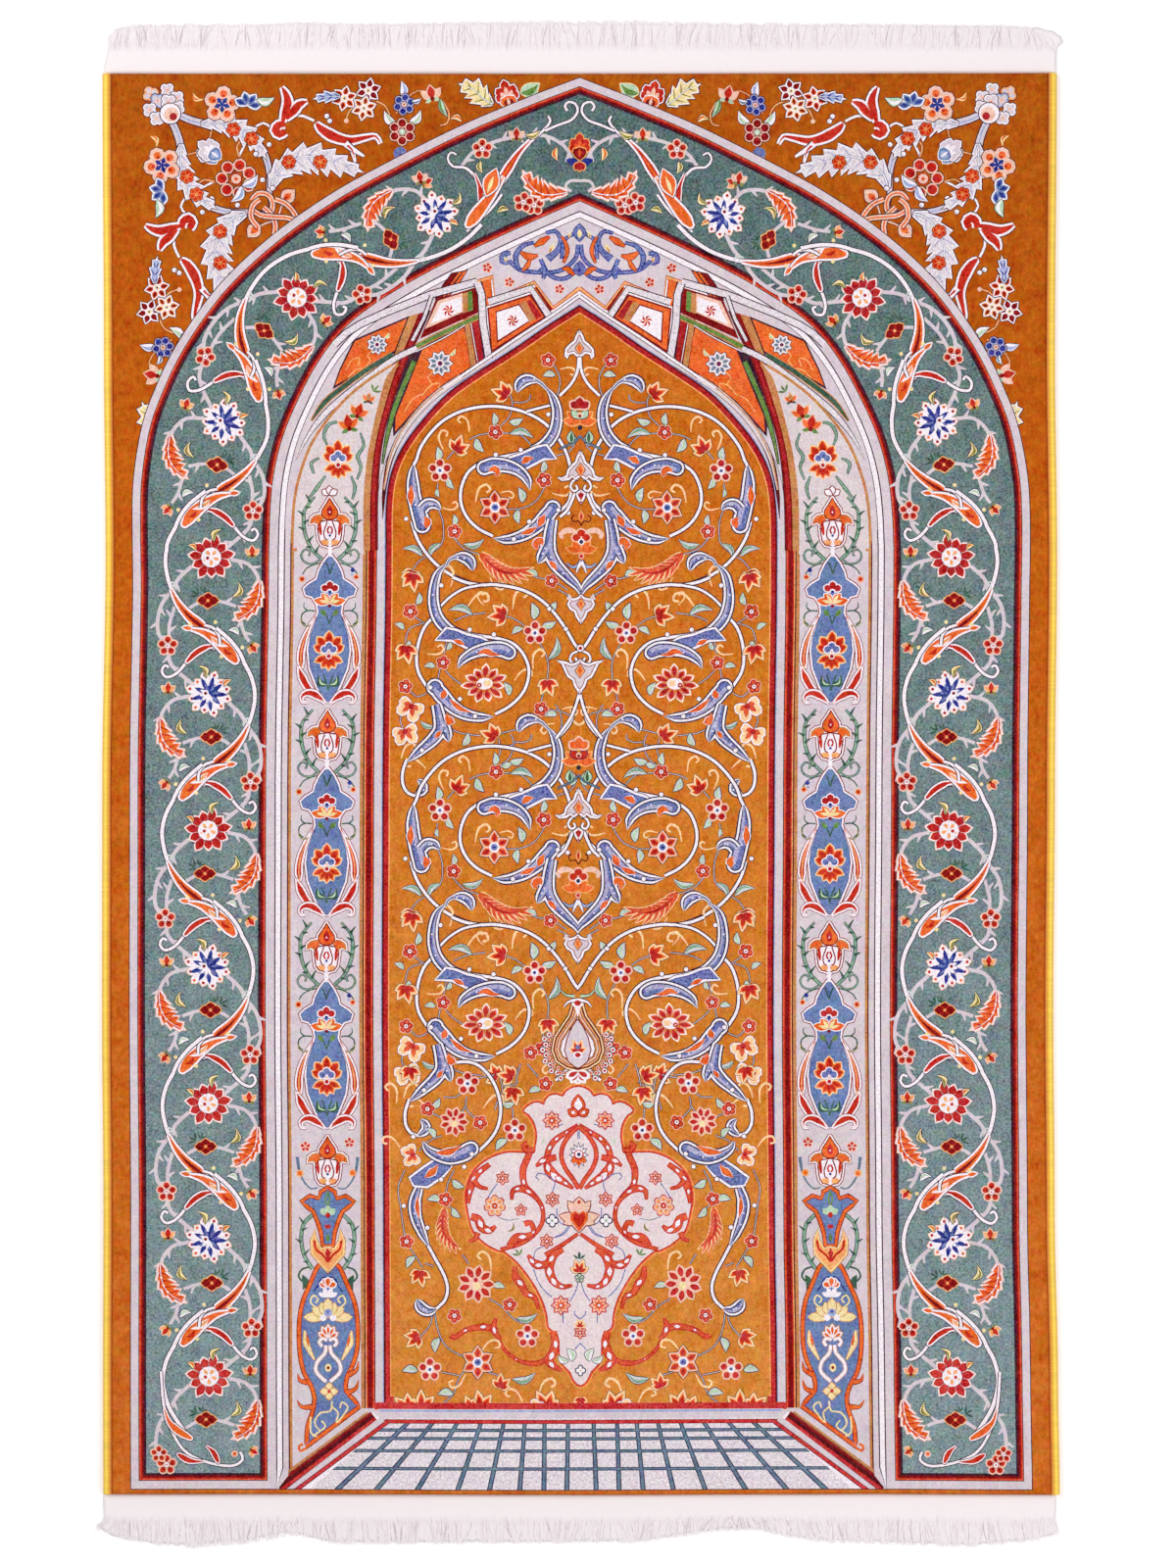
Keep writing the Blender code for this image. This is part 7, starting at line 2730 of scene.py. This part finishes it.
# %% Model one thread and comb the fringe
def one_thread():
    """A thin four-sided thread from y = 0 to y = 1, pressed flat, with rings to bend at."""
    bpy.ops.object.select_all(action="DESELECT")
    bpy.ops.mesh.primitive_cylinder_add(vertices=4, radius=1.0, depth=1.0, end_fill_type="TRIFAN",
                                        location=(0, 0.5, 0), rotation=(math.pi / 2, 0, 0))
    thread = bpy.context.object
    bpy.ops.object.transform_apply(location=True, rotation=True, scale=True)
    bpy.ops.object.mode_set(mode="EDIT")
    for cut in (0.25, 0.5, 0.75, 0.93):
        bpy.ops.mesh.select_all(action="SELECT")
        bpy.ops.mesh.bisect(plane_co=(0, cut, 0), plane_no=(0, 1, 0))
    bpy.ops.mesh.select_all(action="SELECT")
    bpy.ops.mesh.quads_convert_to_tris()
    bpy.ops.mesh.normals_make_consistent(inside=False)
    bpy.ops.object.mode_set(mode="OBJECT")
    corners_of = corner_table(thread)
    triangles = np.array([list(face.vertices) for face in thread.data.polygons])
    bpy.data.objects.remove(thread)
    return corners_of, triangles


THREADS = 1500
THREAD_CORNERS, THREAD_TRIANGLES = one_thread()


def rolling(values, reach):
    """Each value averaged with its neighbours, `reach` on either side."""
    kernel = np.ones(2 * reach + 1) / (2 * reach + 1)
    return np.convolve(np.pad(values, reach, mode="edge"), kernel, mode="valid")


def comb_fringe(end, end_name):
    """All the threads of one end as one mesh."""
    lots = np.random.default_rng(5 + end)
    share = (np.arange(THREADS) + 0.5) / THREADS
    dip = smooth_between(FRINGE_DIP, share, 1 if end > 0 else 2)
    left, right = (band_side(side, end_name, BAND_DEPTH, FRINGE_REACH) for side in (-1, 1))
    root_x = left + (right - left) * share + lots.uniform(-0.0004, 0.0004, THREADS)
    root_y = HALF_LENGTH + BAND_DEPTH - lots.uniform(-0.002, 0.004, THREADS)
    locks = rolling(lots.normal(0, 1, THREADS), 8) * 0.012 + rolling(lots.normal(0, 1, THREADS), 50) * 0.014
    stray = lots.normal(0, 1, THREADS) * np.where(lots.random(THREADS) < 0.45, 0.005, 0.001)
    lean = splayed(end_name, share) + locks + stray
    tip_y = HALF_LENGTH + FRINGE_REACH - dip - np.abs(lots.normal(0, 0.0006, THREADS))
    tip_y -= np.abs(rolling(lots.normal(0, 1, THREADS), 9)) * 0.0012
    bow = lots.normal(0, 0.0008, THREADS)
    lift = lots.uniform(0.0, 0.00008, THREADS)
    thick = lots.uniform(0.00030, 0.00044, THREADS)
    t = THREAD_CORNERS[:, 1]
    taper = np.interp(t, (0, 0.2, 0.75, 0.93, 1), (0.4, 1.0, 0.9, 0.7, 0.25))
    middle = root_x[:, None] + lean[:, None] * t**1.4 + bow[:, None] * np.sin(math.pi * t)
    out = (root_y - HALF_LENGTH)[:, None] + (tip_y - root_y)[:, None] * t
    # no thread strays past the corner's own side
    left, right = (band_side(side, end_name, out, (FRINGE_REACH - dip)[:, None]) for side in (-1, 1))
    x = np.clip(middle, left, right) + thick[:, None] * taper * THREAD_CORNERS[:, 0]
    y = end * (HALF_LENGTH + out)
    middle = BAND_THICK - 0.00024 - 0.0003 * t + lift[:, None] * np.sin(math.pi * t)
    z = middle + 0.12 * thick[:, None] * taper * THREAD_CORNERS[:, 2]
    spots = np.stack((x, y, np.maximum(z, 0.0)), axis=2).reshape(-1, 3)
    triangles = THREAD_TRIANGLES if end > 0 else THREAD_TRIANGLES[:, ::-1]
    polygons = (triangles[None] + (np.arange(THREADS) * len(THREAD_CORNERS))[:, None, None]).reshape(-1, 3)
    fringe = mesh_piece(f"fringe_threads_{end_name}", spots, polygons)
    fringe.data.shade_flat()
    # painted shadow: a few threads darker along their middle, as though they lay in their neighbours' shade
    shaded = lots.random(THREADS)[:, None] ** 5 * np.interp(t, (0.0, 0.3, 0.7, 1), (0, 1, 1, 0.2))
    fringe.data.attributes.new("shade", "FLOAT", "POINT").data.foreach_set("value", shaded.ravel())
    return fringe


bands, fringes = {}, {}
for end, end_name in ((1, "top"), (-1, "bottom")):
    bands[end_name] = weave_band(end, end_name)
    fringes[end_name] = comb_fringe(end, end_name)
    print("fringe", end_name, len(fringes[end_name].data.polygons), "triangles")

# %% Finishes for the cotton
band_material = woven_cotton("fringe band", (250, 242, 244), 1100.0, 1250.0, 0.08)
thread_material, tree, shader = new_material("fringe thread")
shade = add_node(tree, "ShaderNodeAttribute", {"attribute_name": "shade"}).outputs["Fac"]
tone = add_node(tree, "ShaderNodeMix", {"data_type": "RGBA"})
tree.links.new(shade, tone.inputs["Factor"])
# the threads' white, and the grey of the painted shadow that the shade attribute mixes in
for socket, colour in ((6, (249, 240, 244)), (7, (190, 174, 182))):
    tone.inputs[socket].default_value = (*[linear(channel) for channel in colour], 1.0)
tree.links.new(tone.outputs[2], shader.inputs["Base Color"])
shader.inputs["Roughness"].default_value = 0.8
shader.inputs["Specular IOR Level"].default_value = 0.25
for end_name, band in bands.items():
    band.data.materials.append(band_material)
    fringes[end_name].data.materials.append(thread_material)

# %% [markdown]
# ## The floor, the light and the camera
# The rug is seen from straight above with a long lens, as a shop photographs it: on a sheet of lit white
# glass that swallows its shadow, under broad soft lamps on both sides.

# %% Floor and lamps
FLOOR_LOW = -0.0002  # just below the rug's underside
bpy.ops.object.select_all(action="DESELECT")
bpy.ops.mesh.primitive_plane_add(size=12.0, location=(0, 0, FLOOR_LOW))
floor = bpy.context.object
floor.name = "floor"
floor_material, tree, shader = new_material("pale floor")
shader.inputs["Base Color"].default_value = (1.0, 1.0, 1.0, 1.0)
shader.inputs["Emission Color"].default_value = (1.0, 1.0, 1.0, 1.0)
shader.inputs["Emission Strength"].default_value = 0.14
shader.inputs["Roughness"].default_value = 0.9
floor.data.materials.append(floor_material)


def add_lamp(name, place, aim, size, watts):
    """A square soft lamp at a place, turned to shine at another."""
    light = bpy.data.lights.new(name, "AREA")
    light.size = size
    light.energy = watts
    lamp = bpy.data.objects.new(name, light)
    lamp.location = place
    lamp.rotation_euler = (Vector(aim) - Vector(place)).to_track_quat("-Z", "Y").to_euler()
    bpy.context.scene.collection.objects.link(lamp)
    return lamp


add_lamp("left lamp", (-2.2, 1.2, 2.6), (0, 0, 0), 2.0, 66)
add_lamp("right lamp", (2.2, -0.6, 2.6), (0, 0, 0), 2.0, 52)
world = bpy.data.worlds.new("studio")
world.use_nodes = True
world.node_tree.nodes["Background"].inputs["Color"].default_value = (1.0, 1.0, 1.0, 1.0)
world.node_tree.nodes["Background"].inputs["Strength"].default_value = 0.385
bpy.context.scene.world = world
bpy.context.scene.view_settings.view_transform = "Standard"

# %% Camera
PHOTO_HIGH = 1600  # pixels, one chart square each
PHOTO_MIDDLE_COLUMN = 600.0
CAMERA_HIGH = 4.0
SENSOR = 36.0
camera_data = bpy.data.cameras.new("camera")
camera_data.sensor_fit = "VERTICAL"
camera_data.sensor_height = SENSOR
camera_data.lens = SENSOR * (CAMERA_HIGH - PILE_HIGH) / (PHOTO_HIGH * KNOT)
camera_data.clip_end = 50.0
camera = bpy.data.objects.new("camera", camera_data)
camera.location = ((PHOTO_MIDDLE_COLUMN - MIDDLE_COLUMN) * KNOT, 0.0, CAMERA_HIGH)
bpy.context.scene.collection.objects.link(camera)
bpy.context.scene.camera = camera
print("lens:", round(camera_data.lens, 1), "mm")

# %% [markdown]
# ## Ride and replace
# Every piece rides on the rug's one body and hides the CAD node that it stands for. In the rug itself all
# else is sewn or knotted to the woven back.

# %% Ride and replace
def belongs(piece, node):
    """The piece rides on the one body and stands for this node."""
    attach(piece, "root")
    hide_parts(node)


for piece in (backing, *pile.values()):
    belongs(piece, "rug")
for side_name, roll in bindings.items():
    belongs(roll, f"binding_{side_name}")
for end_name, band in bands.items():
    belongs(band, f"fringe_{end_name}")
    belongs(fringes[end_name], f"fringe_{end_name}")
